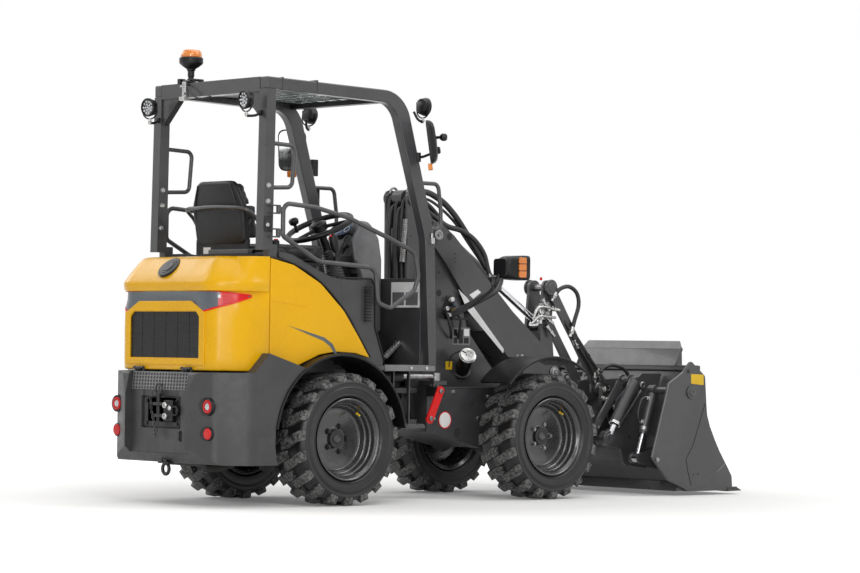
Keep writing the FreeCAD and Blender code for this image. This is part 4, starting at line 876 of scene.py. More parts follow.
@dataclass
class Hood:
    """Engine cover with its lip, band, lamps, grille, filler cap and hinges."""

    repeat: Repeater
    body: str = "hood"
    front_x: float = -490.0
    rear_x: float = -790.0
    half_width: float = 478.0
    corner: tuple[Flat, ...] = ((-650.0, 478.0), (-790.0, 362.0))
    wall: float = 15.0
    levels: tuple[Flat, ...] = ((694, 9), (697, 3), (704, 0), (757, -1), (900, -2), (994, -1), (1036, 10),
                                (1088, 20),
                                (1095, 19), (1098, 5), (1101, -3), (1108, -6), (1128, -9), (1142, -9),
                                (1152, -4),
                                (1180, 14), (1215, 41), (1246, 67), (1262, 83), (1271, 95), (1276, 106),
                                (1279, 122))
    grille: tuple[float, float, float] = (290.0, 757.0, 994.0)

    def __post_init__(self) -> None:
        """Work out the cover's outline seen from above."""
        w = self.half_width
        (cx, _), (rx, ry) = self.corner
        path = rounded([(self.front_x, w), (cx, w), (rx, ry), (rx, -ry), (cx, -w), (self.front_x, -w)],
                       [0, 190, 140, 140, 190, 0], 16, closed=False)
        stops = [290.0, 193.0, 97.0, 0.0, -97.0, -193.0, -290.0]
        middle = [i for i in range(len(path) - 1) if path[i][1] > 0 > path[i + 1][1]][0]
        side = [(-530.0, w), (-570.0, w)]
        start = [path[0]] + side
        end = [(x, -y) for x, y in reversed(side)] + [path[-1]]
        self.path = start + path[1:middle + 1] + [(rx, y) for y in stops] + path[middle + 1:-1] + end
        self.reach = [0.0]
        for a, b in zip(self.path, self.path[1:]):
            self.reach.append(self.reach[-1] + math.dist(a, b))
        self.middle = self.reach[-1] / 2

    def inset(self, z: float) -> float:
        """How far the surface lies inside the outline at a height."""
        for (z0, a), (z1, b) in zip(self.levels, self.levels[1:]):
            if z <= z1:
                return a + (b - a) * (z - z0) / (z1 - z0)
        return self.levels[-1][1]

    def skin_point(self, index: int, z: float, lift: float = 0.0) -> Vector:
        """A point of the cover.

        Args:
            index: Which point of the outline.
            z: Height in millimetres.
            lift: Millimetres outside the surface.

        Returns:
            The place in the row frame.
        """
        x, y = self.path[index]
        ahead = self.path[min(index + 1, len(self.path) - 1)]
        behind = self.path[max(index - 1, 0)]
        dx, dy = ahead[0] - behind[0], ahead[1] - behind[1]
        size = math.hypot(dx, dy)
        normal = (dy / size, -dx / size)
        inset = self.inset(z)
        share = min(1.0, (self.front_x - x) / (170 if z > 1156 else 30))
        if z > 1156:
            share = share ** 1.5
        move = lift - inset * share
        return at(x + normal[0] * move, y + normal[1] * move, z)

    def at_reach(self, reach: float, z: float, lift: float) -> Vector:
        """A point of the cover at a distance along the outline from the rear centre."""
        target = self.middle + reach
        for i in range(len(self.path) - 1):
            if target <= self.reach[i + 1]:
                share = (target - self.reach[i]) / (self.reach[i + 1] - self.reach[i])
                return self.skin_point(i, z, lift).lerp(self.skin_point(i + 1, z, lift), share)
        return self.skin_point(len(self.path) - 1, z, lift)

    def build(self) -> None:
        """Make every piece of the cover."""
        self.shell()
        self.band()
        self.grille_parts()
        self.cap()
        self.hinges()

    def shell(self) -> None:
        """The yellow cover, one wall thick, open at the front and at the grille."""
        shape = Shape("hood_cover")
        heights = [z for z, _ in self.levels]
        rings = [[shape.mesh.verts.new(self.skin_point(i,
                                                       z)) for i in range(len(self.path))] for z in heights]
        half, low, high = self.grille
        for k in range(len(rings) - 1):
            for i in range(len(self.path) - 1):
                flat = all(abs(point[0] - self.rear_x) < 0.1 for point in self.path[i:i + 2])
                inside = max(abs(self.path[i][1]), abs(self.path[i + 1][1])) <= half + 0.1
                if flat and inside and heights[k] >= low - 0.1 and heights[k + 1] <= high + 0.1:
                    continue
                shape.mesh.faces.new((rings[k][i], rings[k][i + 1], rings[k + 1][i + 1], rings[k + 1][i]))
        shape.mesh.faces.new(rings[-1])
        piece = shape.finish(YELLOW, self.body, replaces=("hood_shell",), slot="yellow_paint",
                             smooth_angle=32)
        outward = sum((f.normal.dot(f.center - at(-600, 0, 950)) for f in piece.data.polygons)) > 0
        wall = piece.modifiers.new("wall", "SOLIDIFY")
        wall.thickness = self.wall / 1000
        wall.offset = -1.0 if outward else 1.0
        round_edges(piece, 0.0016, 50, harden=False)

    def strip(self, name: str, spans: list[tuple[float, float, float]], finish: AnyFinish,
              lift: float) -> None:
        """Thin strip that follows the cover.

        Args:
            name: Name of the piece.
            spans: (distance along the outline, low edge, high edge) in order.
            finish: Its surface.
            lift: Millimetres that it stands off the cover.
        """
        shape = Shape(name)
        rings = []
        for (a, low_a, high_a), (b, low_b, high_b) in zip(spans, spans[1:]):
            steps = max(1, int(abs(b - a) / 14))
            for k in range(steps + (1 if b == spans[-1][0] else 0)):
                t = k / steps
                place = a + (b - a) * t
                low, high = low_a + (low_b - low_a) * t, high_a + (high_b - high_a) * t
                rings.append([self.at_reach(place, low, -3), self.at_reach(place, low, lift),
                              self.at_reach(place, (low + high) / 2, lift + 0.3),
                              self.at_reach(place, high, lift), self.at_reach(place, high, -3)])
        shape.skin(rings)
        shape.finish(finish, self.body)

    def band(self) -> None:
        """Slate band under the lip with a red line and a lamp at each end."""
        base = [(-585, 1070, 1079), (-470, 1036, 1094), (-330, 997, 1097), (-296, 990, 1097),
                (-206, 1046, 1097),
                (0, 1047, 1097), (206, 1046, 1097), (296, 990, 1097), (330, 997, 1097), (470, 1036, 1094),
                (585, 1070, 1079)]
        self.strip("hood_band", base, BAND, 2.0)
        for sign, label in sides():
            order = 1 if sign > 0 else -1
            lamp = [(sign * 400, 1024, 1090), (sign * 470, 1043, 1088), (sign * 560, 1066, 1080)]
            self.strip(f"hood_band_lamp_{label}", lamp[::order], RED_LENS, 4.0)
            # A small white strip on each lamp is a painted highlight.
            glint = [(sign * 396, 1066, 1078), (sign * 404, 1062, 1082), (sign * 412, 1066, 1078)]
            self.strip(f"hood_band_glint_{label}", glint[::order], WHITE_LENS, 5.0)
            over = [(sign * 190, 1092, 1097), (sign * 400, 1091, 1098), (sign * 585, 1076, 1082)]
            self.strip(f"hood_band_top_line_{label}", over[::order], RED, 4.5)
            under = [(sign * 288, 986, 994), (sign * 330, 994, 1002), (sign * 470, 1032, 1042),
                     (sign * 585, 1068, 1075)]
            self.strip(f"hood_band_low_line_{label}", under[::order], RED, 4.5)

    def grille_parts(self) -> None:
        """Raised yellow surround, slats and the dark screen behind them."""
        outer = [(-332, 722), (332, 722), (332, 990), (218, 1048), (-218, 1048), (-332, 990)]
        inner = [(-290, 750), (290, 750), (290, 968), (262, 996), (-262, 996), (-290, 968)]
        frame_shape = Shape("hood_grille_surround")
        rings = []
        for ring, x in ((outer, -786), (outer, -795), (inner, -797), (inner, -770)):
            rings.append([at(x, y, z) for y, z in ring])
        frame_shape.skin(rings, loop=True)
        frame_shape.finish(YELLOW, self.body, bevel=3.0)
        screen = Shape("hood_grille_screen")
        screen.prism([(-291, 748), (291, 748), (291, 969), (263, 997), (-263, 997), (-291, 969)], Axis.X,
                     -786, -772)
        screen.finish(BLACK, self.body, replaces=("hood_grille",), slot="black_plastic")
        slat = Shape("hood_grille_slats")
        slat.prism([(-789, 756), (-784, 759), (-784, 761), (-789, 758)], Axis.Y, -289, 289)
        self.repeat.grid(slat, DARK, self.body, 26, (0, 0, 9.1))
        rib = Shape("hood_grille_ribs")
        rib.box((-788, -200, 754), (-784, -198, 994))
        self.repeat.grid(rib, NEAR_BLACK_AND_HOLE_SHADE, self.body, 5, (0, 99, 0))

    def cap(self) -> None:
        """Round filler cap in a ring on the sloping top."""
        normal = Vector((-0.70, 0, 0.714)).normalized()
        centre = at(-745, 30, 1222)
        shape = Shape("filler_cap")
        shape.lathe([(-6, 68), (3, 68), (6, 65), (6, 59), (1, 56), (-4, 54)], centre, normal, 56)
        shape.lathe([(-6, 52), (5, 52), (9, 48), (9, 39), (12, 36), (12, 2)], centre, normal, 56)
        shape.finish(BLACK, self.body, bevel=0.8)
        Shape("filler_cap_ring").lathe([(4, 56), (7, 55), (7, 52), (4, 51)], centre, normal, 56,
                                       closed=True).finish(GREY, self.body)

    def hinges(self) -> None:
        """Two hinge knuckles low on the rear wall."""
        shape = Shape("hood_hinges")
        for centre in (-200, 200):
            shape.bar(at(-804, centre - 22, 700), at(-804, centre + 22, 700), 10, 28, 1)
            shape.box((-803, centre - 21, 694), (-779, centre + 21, 706))
        shape.finish(BLACK, self.body, bevel=1.0)


# --- counterweight ----------------------------------------------------------------------------------


@dataclass
class RearWeight:
    """Counterweight with its recessed centre, screen, lamps and hitch."""

    repeat: Repeater
    body: str = "rear_frame"
    panel_half: float = 252.0
    panel_x: float = -808.0
    lamp_y: float = 383.0
    lamp_x: float = -790.0

    def build(self) -> None:
        """Make every piece at the rear of the chassis."""
        self.casting()
        self.screen()
        self.lamps()
        self.hitch()
        self.underside()

    def casting(self) -> None:
        """The cast weight with a set-in centre and dished lamp places."""
        tools = []
        centre = Shape("centre_cut")
        centre.prism([(-900, 268), (self.panel_x, 268), (self.panel_x, 590), (-800, 700), (-900, 700)],
                     Axis.Y,
                     -self.panel_half, self.panel_half)
        tools.append(centre)
        for side in (-1, 1):
            dish = Shape("dish_cut")
            dish.lathe([(-30, 92), (22, 60), (48, 47)], at(-846, side * self.lamp_y, 513),
                       Vector((1, side * -0.16, -0.05)), 40)
            tools.append(dish)
            low = Shape("dish_cut_low")
            low.lathe([(-30, 66), (26, 44), (48, 36)], at(-846, side * self.lamp_y, 376),
                      Vector((1, side * -0.2, 0)), 40)
            tools.append(low)
        slot = Shape("slot_cut")
        slot.prism(rounded([(-184, 330), (-152, 330), (-152, 386), (-184, 386)], [15, 15, 15, 15], 5), Axis.X,
                   -860, -780)
        tools.append(slot)
        piece = refine("counterweight", MOULDED, 0.0)
        carve(piece, tools)
        reshade(piece, 0.006, 32, 3)
        # A near-black sheet at the back of the slot is painted shade.
        Shape("slot_liner").box((-800, -190, 325), (-796, -146, 392)).finish(NEAR_BLACK_AND_HOLE_SHADE, self.body)

    def screen(self) -> None:
        """Perforated screen above the hitch."""
        Shape("vent_screen").prism([(-812, 592), (-803, 684), (-797, 684), (-806, 592)], Axis.Y, -246,
                                   246).finish(GREY_LIGHT, self.body, bevel=0.8)
        # The screen's holes are flat near-black discs: painted shade, not cut.
        hole = Shape("vent_holes")
        hole.lathe([(-1, 6.6), (0.8, 6.6)], at(-811.0, -232, 602), Vector((-1, 0, 0.1)), 10)
        self.repeat.grid(hole, NEAR_BLACK_AND_HOLE_SHADE, self.body, 20, (0, 24.4, 0), 5, (1.6, 0, 17.5))

    def lamps(self) -> None:
        """Tail lamps and reflectors, each in its ring."""
        for sign, label in sides():
            back = Vector((-1, 0, 0))
            place = at(self.lamp_x, sign * self.lamp_y, 513)
            Shape(f"tail_lamp_ring_{label}").lathe([(0, 44), (16, 44), (18, 42), (18, 36), (0, 36)], place,
                                                   back, 44, closed=True).finish(BLACK, self.body, bevel=0.6)
            outer = Shape(f"tail_lamp_red_{label}")
            outer.lathe([(1, 36), (14, 36), (20, 33), (22, 28), (21, 21), (12, 20), (1, 20)], place, back, 44,
                        closed=True)
            names = ("tail_lamps",) if sign > 0 else ()
            outer.finish(RED_LENS, self.body, replaces=names, slot="red_lens")
            Shape(f"tail_lamp_white_{label}").lathe([(1, 20), (15, 20), (19, 16), (20, 1)], place, back,
                                                    36).finish(WHITE_LENS, self.body)
            spot = at(self.lamp_x, sign * self.lamp_y, 376)
            Shape(f"rear_reflector_{label}").lathe([(0, 30), (12, 30), (17, 27), (18, 1)], spot, back,
                                                   40).finish(RED_LENS, self.body)
            Shape(f"rear_reflector_ring_{label}").lathe([(0, 35), (10, 35), (12, 33), (12, 30), (0, 30)],
                                                        spot, back, 40, closed=True).finish(BLACK, self.body)

    def hitch(self) -> None:
        """Trailer jaw with its pin, ring and chain, and the connectors beside it."""
        Shape("hitch_plate").prism(rounded([(-150, 402), (150, 402), (150, 552), (-150, 552)], [16] * 4, 5),
                                   Axis.X, -800, -791).finish(DARK, self.body, bevel=1.0)
        Shape("connector_block").prism(rounded([(-120, 432), (-42, 432), (-42, 540), (-120, 540)], [8] * 4,
                                               4), Axis.X, -824, -800).finish(BLACK, self.body, bevel=1.5)
        bright = Shape("connector_caps")
        for z in (458, 514):
            bright.lathe([(0, 17), (10, 17), (14, 14), (14, 8), (6, 8)], at(-824, -64, z), Vector((-1, 0, 0)),
                         28)
        bright.lathe([(0, 13), (8, 13), (11, 10), (11, 1)], at(-824, -102, 500), Vector((-1, 0, 0)), 24)
        bright.finish(ZINC, self.body)
        Shape("trailer_socket").lathe([(0, 27), (22, 27), (26, 24), (26, 19), (14, 18)], at(-800, -136, 486),
                                      Vector((-1, 0, 0)), 32).finish(BLACK, self.body, bevel=0.6)
        pin = Shape("hitch_pin")
        pin.bar(at(-822, 0, 428), at(-822, 0, 572), 11, 24, 2)
        pin.lathe([(0, 16), (8, 16)], at(-822, 0, 560), Vector((0, 0, 1)), 24)
        loop = [at(-822, 26 * math.cos(a), 596 + 26 * math.sin(a)) for a in
                [math.radians(k) for k in range(-90, 271, 20)]]
        pin.tube(loop, 4.5, 10, 2)
        pin.finish(DARK, self.body)
        bolt = Shape("hitch_plate_bolts")
        bolt.hexagon(at(-800, -128, 418), Vector((-1, 0, 0)), 16, 8)
        self.repeat.grid(bolt, DARK, self.body, 2, (0, 256, 0), 2, (0, 0, 116))
        self.chain()

    def chain(self) -> None:
        """Chain from the pin's ring down the plate."""
        path = curve_through([at(-830, 20, 590), at(-846, 34, 560), at(-848, 30, 500), at(-846, 12, 440),
                              at(-844, 6, 392), at(-843, -2, 352), at(-842, -14, 392), at(-842, -22, 430)], 5)
        links = Shape("hitch_chain")
        spent = 0.0
        flip = False
        for a, b in zip(path, path[1:]):
            spent += (b - a).length
            if spent < 0.015:
                continue
            spent = 0.0
            along = (b - a).normalized()
            across = along.cross(Vector((1, 0, 0) if flip else (0.2, 1, 0))).normalized()
            flip = not flip
            ring = [a + along * (0.011 * math.cos(t)) + across * (0.0062 * math.sin(t))
                    for t in [2 * math.pi * k / 10 for k in range(11)]]
            links.tube(ring, 2.1, 7, 1, smooth=False)
        links.finish(DARK_STEEL, self.body)

    def underside(self) -> None:
        """Tank, pipe and brackets under the counterweight."""
        Shape("rear_tank").prism(rounded([(-330, 176), (-110, 176), (-110, 236), (-330, 236)], [28] * 4, 5),
                                 Axis.Y, -330, -210).finish(NEAR_BLACK_AND_HOLE_SHADE, self.body, bevel=5.0)
        Shape("exhaust_pipe").tube([at(-400, -180, 300), at(-520, -250, 230), at(-620, -250, 200),
                                    at(-700, -236, 196)], 21, 20, 6).finish(NEAR_BLACK_AND_HOLE_SHADE, self.body)
        Shape("tow_eye_plate").box((-790, -44, 214), (-748, 44, 222)).finish(DARK, self.body, bevel=1.5)


# --- canopy -----------------------------------------------------------------------------------------


@dataclass
class Canopy:
    """Roof window, gussets, lamps, mirrors, beacon and bolts of the four-post canopy."""

    repeat: Repeater
    body: str = "rear_frame"
    top: float = 2198.0
    roof_half: float = 413.0
    roof_rear: float = -461.0
    roof_front: float = 419.0
    liner_front: float = -70.0

    def build(self) -> None:
        """Make every piece of the canopy."""
        self.roof()
        self.gussets()
        self.beacon()
        self.lamps()
        self.mirrors()
        self.bolts()

    def roof(self) -> None:
        """Dark liner behind, window with its guard bars in front."""
        low, high = self.top - 40, self.top - 27
        liner = Shape("roof_liner")
        liner.box((self.roof_rear, -self.roof_half, low), (self.liner_front, self.roof_half, high))
        liner.box((self.roof_rear, -self.roof_half, low - 26), (self.roof_rear + 60, self.roof_half, low))
        liner.finish(DARK, self.body, bevel=3.0)
        window = Shape("roof_window")
        window.prism([(self.liner_front, high - 8), (self.roof_front - 6, high - 12),
                      (self.roof_front - 6, high - 6),
                      (self.liner_front, high - 2)], Axis.Y, -self.roof_half + 2, self.roof_half - 2)
        window.finish(ROOF_SHEET, self.body, replaces=("roof_panel",), slot="roof_sheet")
        rim = Shape("roof_window_rim")
        rim.box((self.roof_front - 58, -self.roof_half, self.top - 72),
                (self.roof_front, self.roof_half, self.top - 44))
        for side in (-1, 1):
            edge = sorted((side * (self.roof_half - 26), side * self.roof_half))
            rim.box((self.liner_front, edge[0], low - 8), (self.roof_front, edge[1], low + 4))
        rim.finish(BLACK, self.body, bevel=2.0)
        bar = Shape("roof_guard_bars")
        bar.box((self.liner_front + 70, -self.roof_half + 4, high - 12),
                (self.liner_front + 78, self.roof_half - 4, high - 10))
        self.repeat.grid(bar, DARK, self.body, 4, (100, 0, -1))
        rod = Shape("roof_guard_rods")
        rod.prism([(self.liner_front, high - 10), (self.roof_front - 10, high - 14),
                   (self.roof_front - 10, high - 12),
                   (self.liner_front, high - 8)], Axis.Y, -self.roof_half + 86, -self.roof_half + 94)
        self.repeat.grid(rod, DARK, self.body, 8, (0, 92, 0))

    def gussets(self) -> None:
        """Folded plates between the rear posts and the rear tube, and the engine bulkhead."""
        for side in (-1, 1):
            shape = Shape("rear_gusset_" + ("left" if side > 0 else "right"))
            shape.prism([(side * 414, 2137), (side * 262, 2137), (side * 276, 2112), (side * 398, 1996),
                         (side * 414, 1984)], Axis.X, -514, -472)
            shape.finish(GREY, self.body, bevel=3.0)
        Shape("engine_bulkhead").box((-482, -412, 1192),
                                     (-472, 412, 1296)).finish(BLACK, self.body, bevel=2.0)
        seam = Shape("roof_tube_seams")
        for side in (-1, 1):
            for x in (-420, -190):
                edge = sorted((side * 411, side * 477))
                seam.box((x, edge[0], 2133), (x + 4, edge[1], self.top + 1.5))
        seam.finish(GREY, self.body, bevel=1.0)

    def beacon(self) -> None:
        """Amber lens on a black base, a ribbed stem and a bright clamp."""
        foot = at(-492, 200, 0)
        up = Vector((0, 0, 1))
        base = Shape("beacon_base")
        base.lathe([(2196, 27), (2206, 27), (2208, 15), (2214, 15), (2216, 19), (2222, 19), (2224, 15),
                    (2232, 15),
                    (2234, 18), (2262, 18), (2266, 22), (2274, 24), (2284, 40), (2300, 60), (2306, 63),
                    (2330, 63),
                    (2334, 60), (2336, 50)], foot, up, 48)
        base.finish(BLACK, self.body, bevel=0.6)
        lens = Shape("beacon_lens")
        lens.lathe([(2335, 55), (2340, 57), (2350, 56), (2366, 52), (2372, 46), (2375, 34), (2376, 1)], foot,
                   up, 48)
        lens.finish(AMBER, self.body, replaces=("beacon",), slot="amber_lens")
        ridge = Shape("beacon_lens_ridges")
        ridge.prism([(-437.5, 2342), (-435.5, 2342), (-439.5, 2364), (-441.5, 2364)], Axis.Y, 198, 202)
        data = ridge.mesh
        bmesh.ops.translate(data, verts=data.verts, vec=-at(-492, 200, 0))
        for vert in data.verts:
            vert.co = Vector((vert.co.x, vert.co.z, -vert.co.y))
        piece = self.repeat.ring(ridge, AMBER, self.body, Vector((0, 0, 0)), 30)
        for vert in piece.data.vertices:
            vert.co = Vector((vert.co.x, -vert.co.z, vert.co.y)) + at(-492, 200, 0)
        clamp = Shape("beacon_clamp")
        clamp.box((-538, 184, 2120), (-524, 216, 2204))
        clamp.box((-552, 176, 2104), (-520, 224, 2124))
        clamp.bar(at(-552, 190, 2140), at(-510, 190, 2140), 7, 12, 1)
        clamp.bar(at(-552, 210, 2180), at(-510, 210, 2180), 7, 12, 1)
        clamp.finish(ZINC, self.body, bevel=1.5)
        arm = Shape("beacon_bracket")
        arm.bar(at(-540, 150, 2212), at(-450, 150, 2212), 8, 12, 1)
        arm.bar(at(-520, 140, 2206), at(-520, 262, 2206), 9, 12, 1)
        arm.box((-534, 236, 2196), (-500, 262, 2222))
        arm.finish(BLACK, self.body, bevel=1.5)
        Shape("beacon_lead").tube([at(-500, 196, 2200), at(-546, 150, 2170), at(-552, 90, 2120),
                                   at(-530, 60, 2110), at(-480, 40, 2120)], 4, 8, 5).finish(HOSE, self.body)

    def lamp(self, name: str, centre: Vector, ahead: Vector) -> None:
        """Round work lamp.

        Args:
            name: Name of its pieces.
            centre: Middle of its drum.
            ahead: Where it shines.
        """
        ahead = ahead.normalized()
        drum = Shape(name + "_housing")
        start = centre - ahead * 0.022
        drum.lathe([(0, 20), (4, 34), (10, 42), (26, 46), (36, 49), (45, 49), (47, 47), (47, 42), (41, 41)],
                   start,
                   ahead, 44)
        up = Vector((0, 0, 1))
        across = ahead.cross(up).normalized()
        for k in range(-3, 4):
            offset = across * (k * 0.0105)
            half = math.sqrt(max(0.0, 0.040 ** 2 - (k * 0.0105) ** 2))
            drum.bar(start + offset - up * half + ahead * 0.004, start + offset + up * half + ahead * 0.004,
                     2.2, 6)
        bracket = start + ahead * 0.024
        drum.tube([bracket + across * 0.050 + up * 0.004, bracket + across * 0.051 - up * 0.035,
                   bracket + across * 0.02 - up * 0.058, bracket - across * 0.02 - up * 0.058,
                   bracket - across * 0.051 - up * 0.035, bracket - across * 0.050 + up * 0.004], 4, 10, 4)
        drum.finish(BLACK, self.body, bevel=0.5)
        foot = Shape(name + "_bolt")
        foot.bar(bracket - up * 0.056, bracket - up * 0.088, 6, 12, 1)
        foot.hexagon(bracket - up * 0.070, up * -1, 19, 12)
        foot.finish(ZINC, self.body)
        Shape(name + "_reflector").lathe([(38, 41), (41, 41), (41, 1)], start, ahead,
                                         40).finish(REFLECTOR, self.body)
        leds = Shape(name + "_diodes")
        spots = [(0.0, 0.0)] + [(math.cos(a) * 0.015, math.sin(a) * 0.015) for a in
                                [2 * math.pi * k / 5 for k in range(5)]]
        spots += [(math.cos(a) * 0.031,
                   math.sin(a) * 0.031) for a in [2 * math.pi * k / 10 for k in range(10)]]
        for a, b in spots:
            leds.lathe([(40, 6.2), (44, 5.6), (45.5, 3.5), (46, 0.5)], start + across * a + up * b, ahead, 12)
        leds.finish(WHITE_LENS, self.body)

    def lamps(self) -> None:
        """Two lamps behind and two in front."""
        for sign, label in sides():
            self.lamp(f"rear_lamp_{label}", at(-599, sign * 407, 2075), Vector((-1, -0.12 * sign, -0.05)))
            self.lamp(f"front_lamp_{label}", at(545, sign * 473, 2108), Vector((1, 0.1 * sign, -0.05)))
            arm = Shape(f"lamp_arms_{label}")
            arm.tube([at(-526, sign * 430, 2010), at(-560, sign * 424, 1996), at(-602, sign * 412, 1992)], 7,
                     10, 4)
            arm.box((-536, min(sign * 418, sign * 442), 1998), (-518, max(sign * 418, sign * 442), 2024))
            arm.tube([at(505, sign * 446, 2080), at(520, sign * 462, 2040), at(545, sign * 473, 2024)], 7, 10,
                     4)
            names = ("work_lights",) if sign > 0 else ()
            arm.finish(BLACK, self.body, bevel=1.0, replaces=names, slot="lamp_lens")

    def mirrors(self) -> None:
        """A ribbed mirror shell with its glass on a jointed arm at each front post."""
        for sign, label in sides():
            ahead = Vector((-0.742, -0.67 * sign, 0.0))
            across = Vector((-0.67 * sign, 0.742, 0.0))
            up = Vector((0.0, 0, 1.0))
            lean = math.radians(-8)
            up = up * math.cos(lean) + ahead * math.sin(lean) * -1
            ahead = across.cross(up) * (1 if across.cross(up).dot(ahead) > 0 else -1)
            centre = at(514, sign * 574, 1915)
            outline = rounded([(-0.076, -0.112), (0.076, -0.118), (0.080, 0.118), (-0.080, 0.112)],
                              [0.045] * 4, 7)
            shell = Shape(f"mirror_shell_{label}")
            rings = [[centre + across * (a * s) + up * (b * s) + ahead * d for a, b in outline]
                     for s, d in ((0.62, -0.030), (0.84, -0.024), (0.96, -0.012), (1.0, 0.004), (1.0, 0.012),
                                  (0.95, 0.014), (0.93, 0.009))]
            shell.skin(rings)
            shell.finish(BLACK, self.body, replaces=("mirrors",) if sign > 0 else (),
                         slot="black_plastic", smooth_angle=50)
            glass = Shape(f"mirror_glass_{label}")
            glass.skin([[centre + across * (a * 0.925) + up * (b * 0.935) + ahead * d for a, b in outline]
                         for d in (0.006, 0.0125)])
            glass.finish(MIRROR, self.body)
            ribs = Shape(f"mirror_ribs_{label}")
            for k in range(-3, 4):
                foot = centre + across * (k * 0.013) - ahead * 0.026
                ribs.tube([foot - up * 0.07, foot - ahead * 0.004, foot + up * 0.07], 2.4, 6, 3)
            ribs.finish(BLACK, self.body)
            arm = Shape(f"mirror_arm_{label}")
            arm.tube([at(524, sign * 470, 1836), at(536, sign * 502, 1842),
                      centre - ahead * 0.04 - up * 0.05], 7, 12, 5)
            arm.bar(at(520, sign * 470, 1812), at(520, sign * 470, 1862), 15, 18, 2)
            arm.lathe([(0, 18), (14, 20), (22, 14)], centre - ahead * 0.024 - up * 0.05, ahead * -1, 18)
            arm.bar(at(536, sign * 560, 1936), at(566, sign * 604, 1942), 8, 12, 1)
            arm.lathe([(0, 12), (10, 20), (30, 20), (38, 12)], at(560, sign * 596, 1941),
                      Vector((0.8, 0.6 * sign, 0)), 18)
            arm.finish(BLACK, self.body, bevel=0.6)
            amber = Shape(f"mirror_marker_{label}")
            low = at(514, sign * 574, 1782)
            amber.skin([[low + across * (a * 0.34) + up * (b * 0.16) + ahead * d for a, b in outline]
                         for d in (-0.012, 0.012)])
            amber.finish(AMBER, self.body, bevel=2.0)

    def bolts(self) -> None:
        """Bolts on the posts, and two small boxes on the left front post."""
        for side in (-1, 1):
            out = Vector((0, side, 0))
            label = "left" if side > 0 else "right"
            bolts = Shape("post_bolts_" + label)
            for x, z in ((-505, 1641), (-508, 1560), (-512, 1440)):
                bolts.hexagon(at(x, side * 474, z), out, 21, 11)
                bolts.hexagon(at(x, side * 414, z), out * -1, 21, 11)
            bolts.finish(ZINC, self.body, bevel=0.6)
            plate = Shape("post_plate_" + label)
            plate.prism(rounded([(-530, 1404), (-476, 1404), (-476, 1486), (-530, 1486)], [10] * 4, 4),
                        Axis.Y,
                        *sorted((side * 473, side * 478)))
            plate.finish(DARK, self.body, bevel=1.2)
        box = Shape("post_boxes")
        box.box((560, 454, 1770), (604, 488, 1862))
        box.box((582, 454, 1600), (618, 486, 1706))
        box.finish(BLACK, self.body, bevel=3.0)


# --- operator's place -------------------------------------------------------------------------------


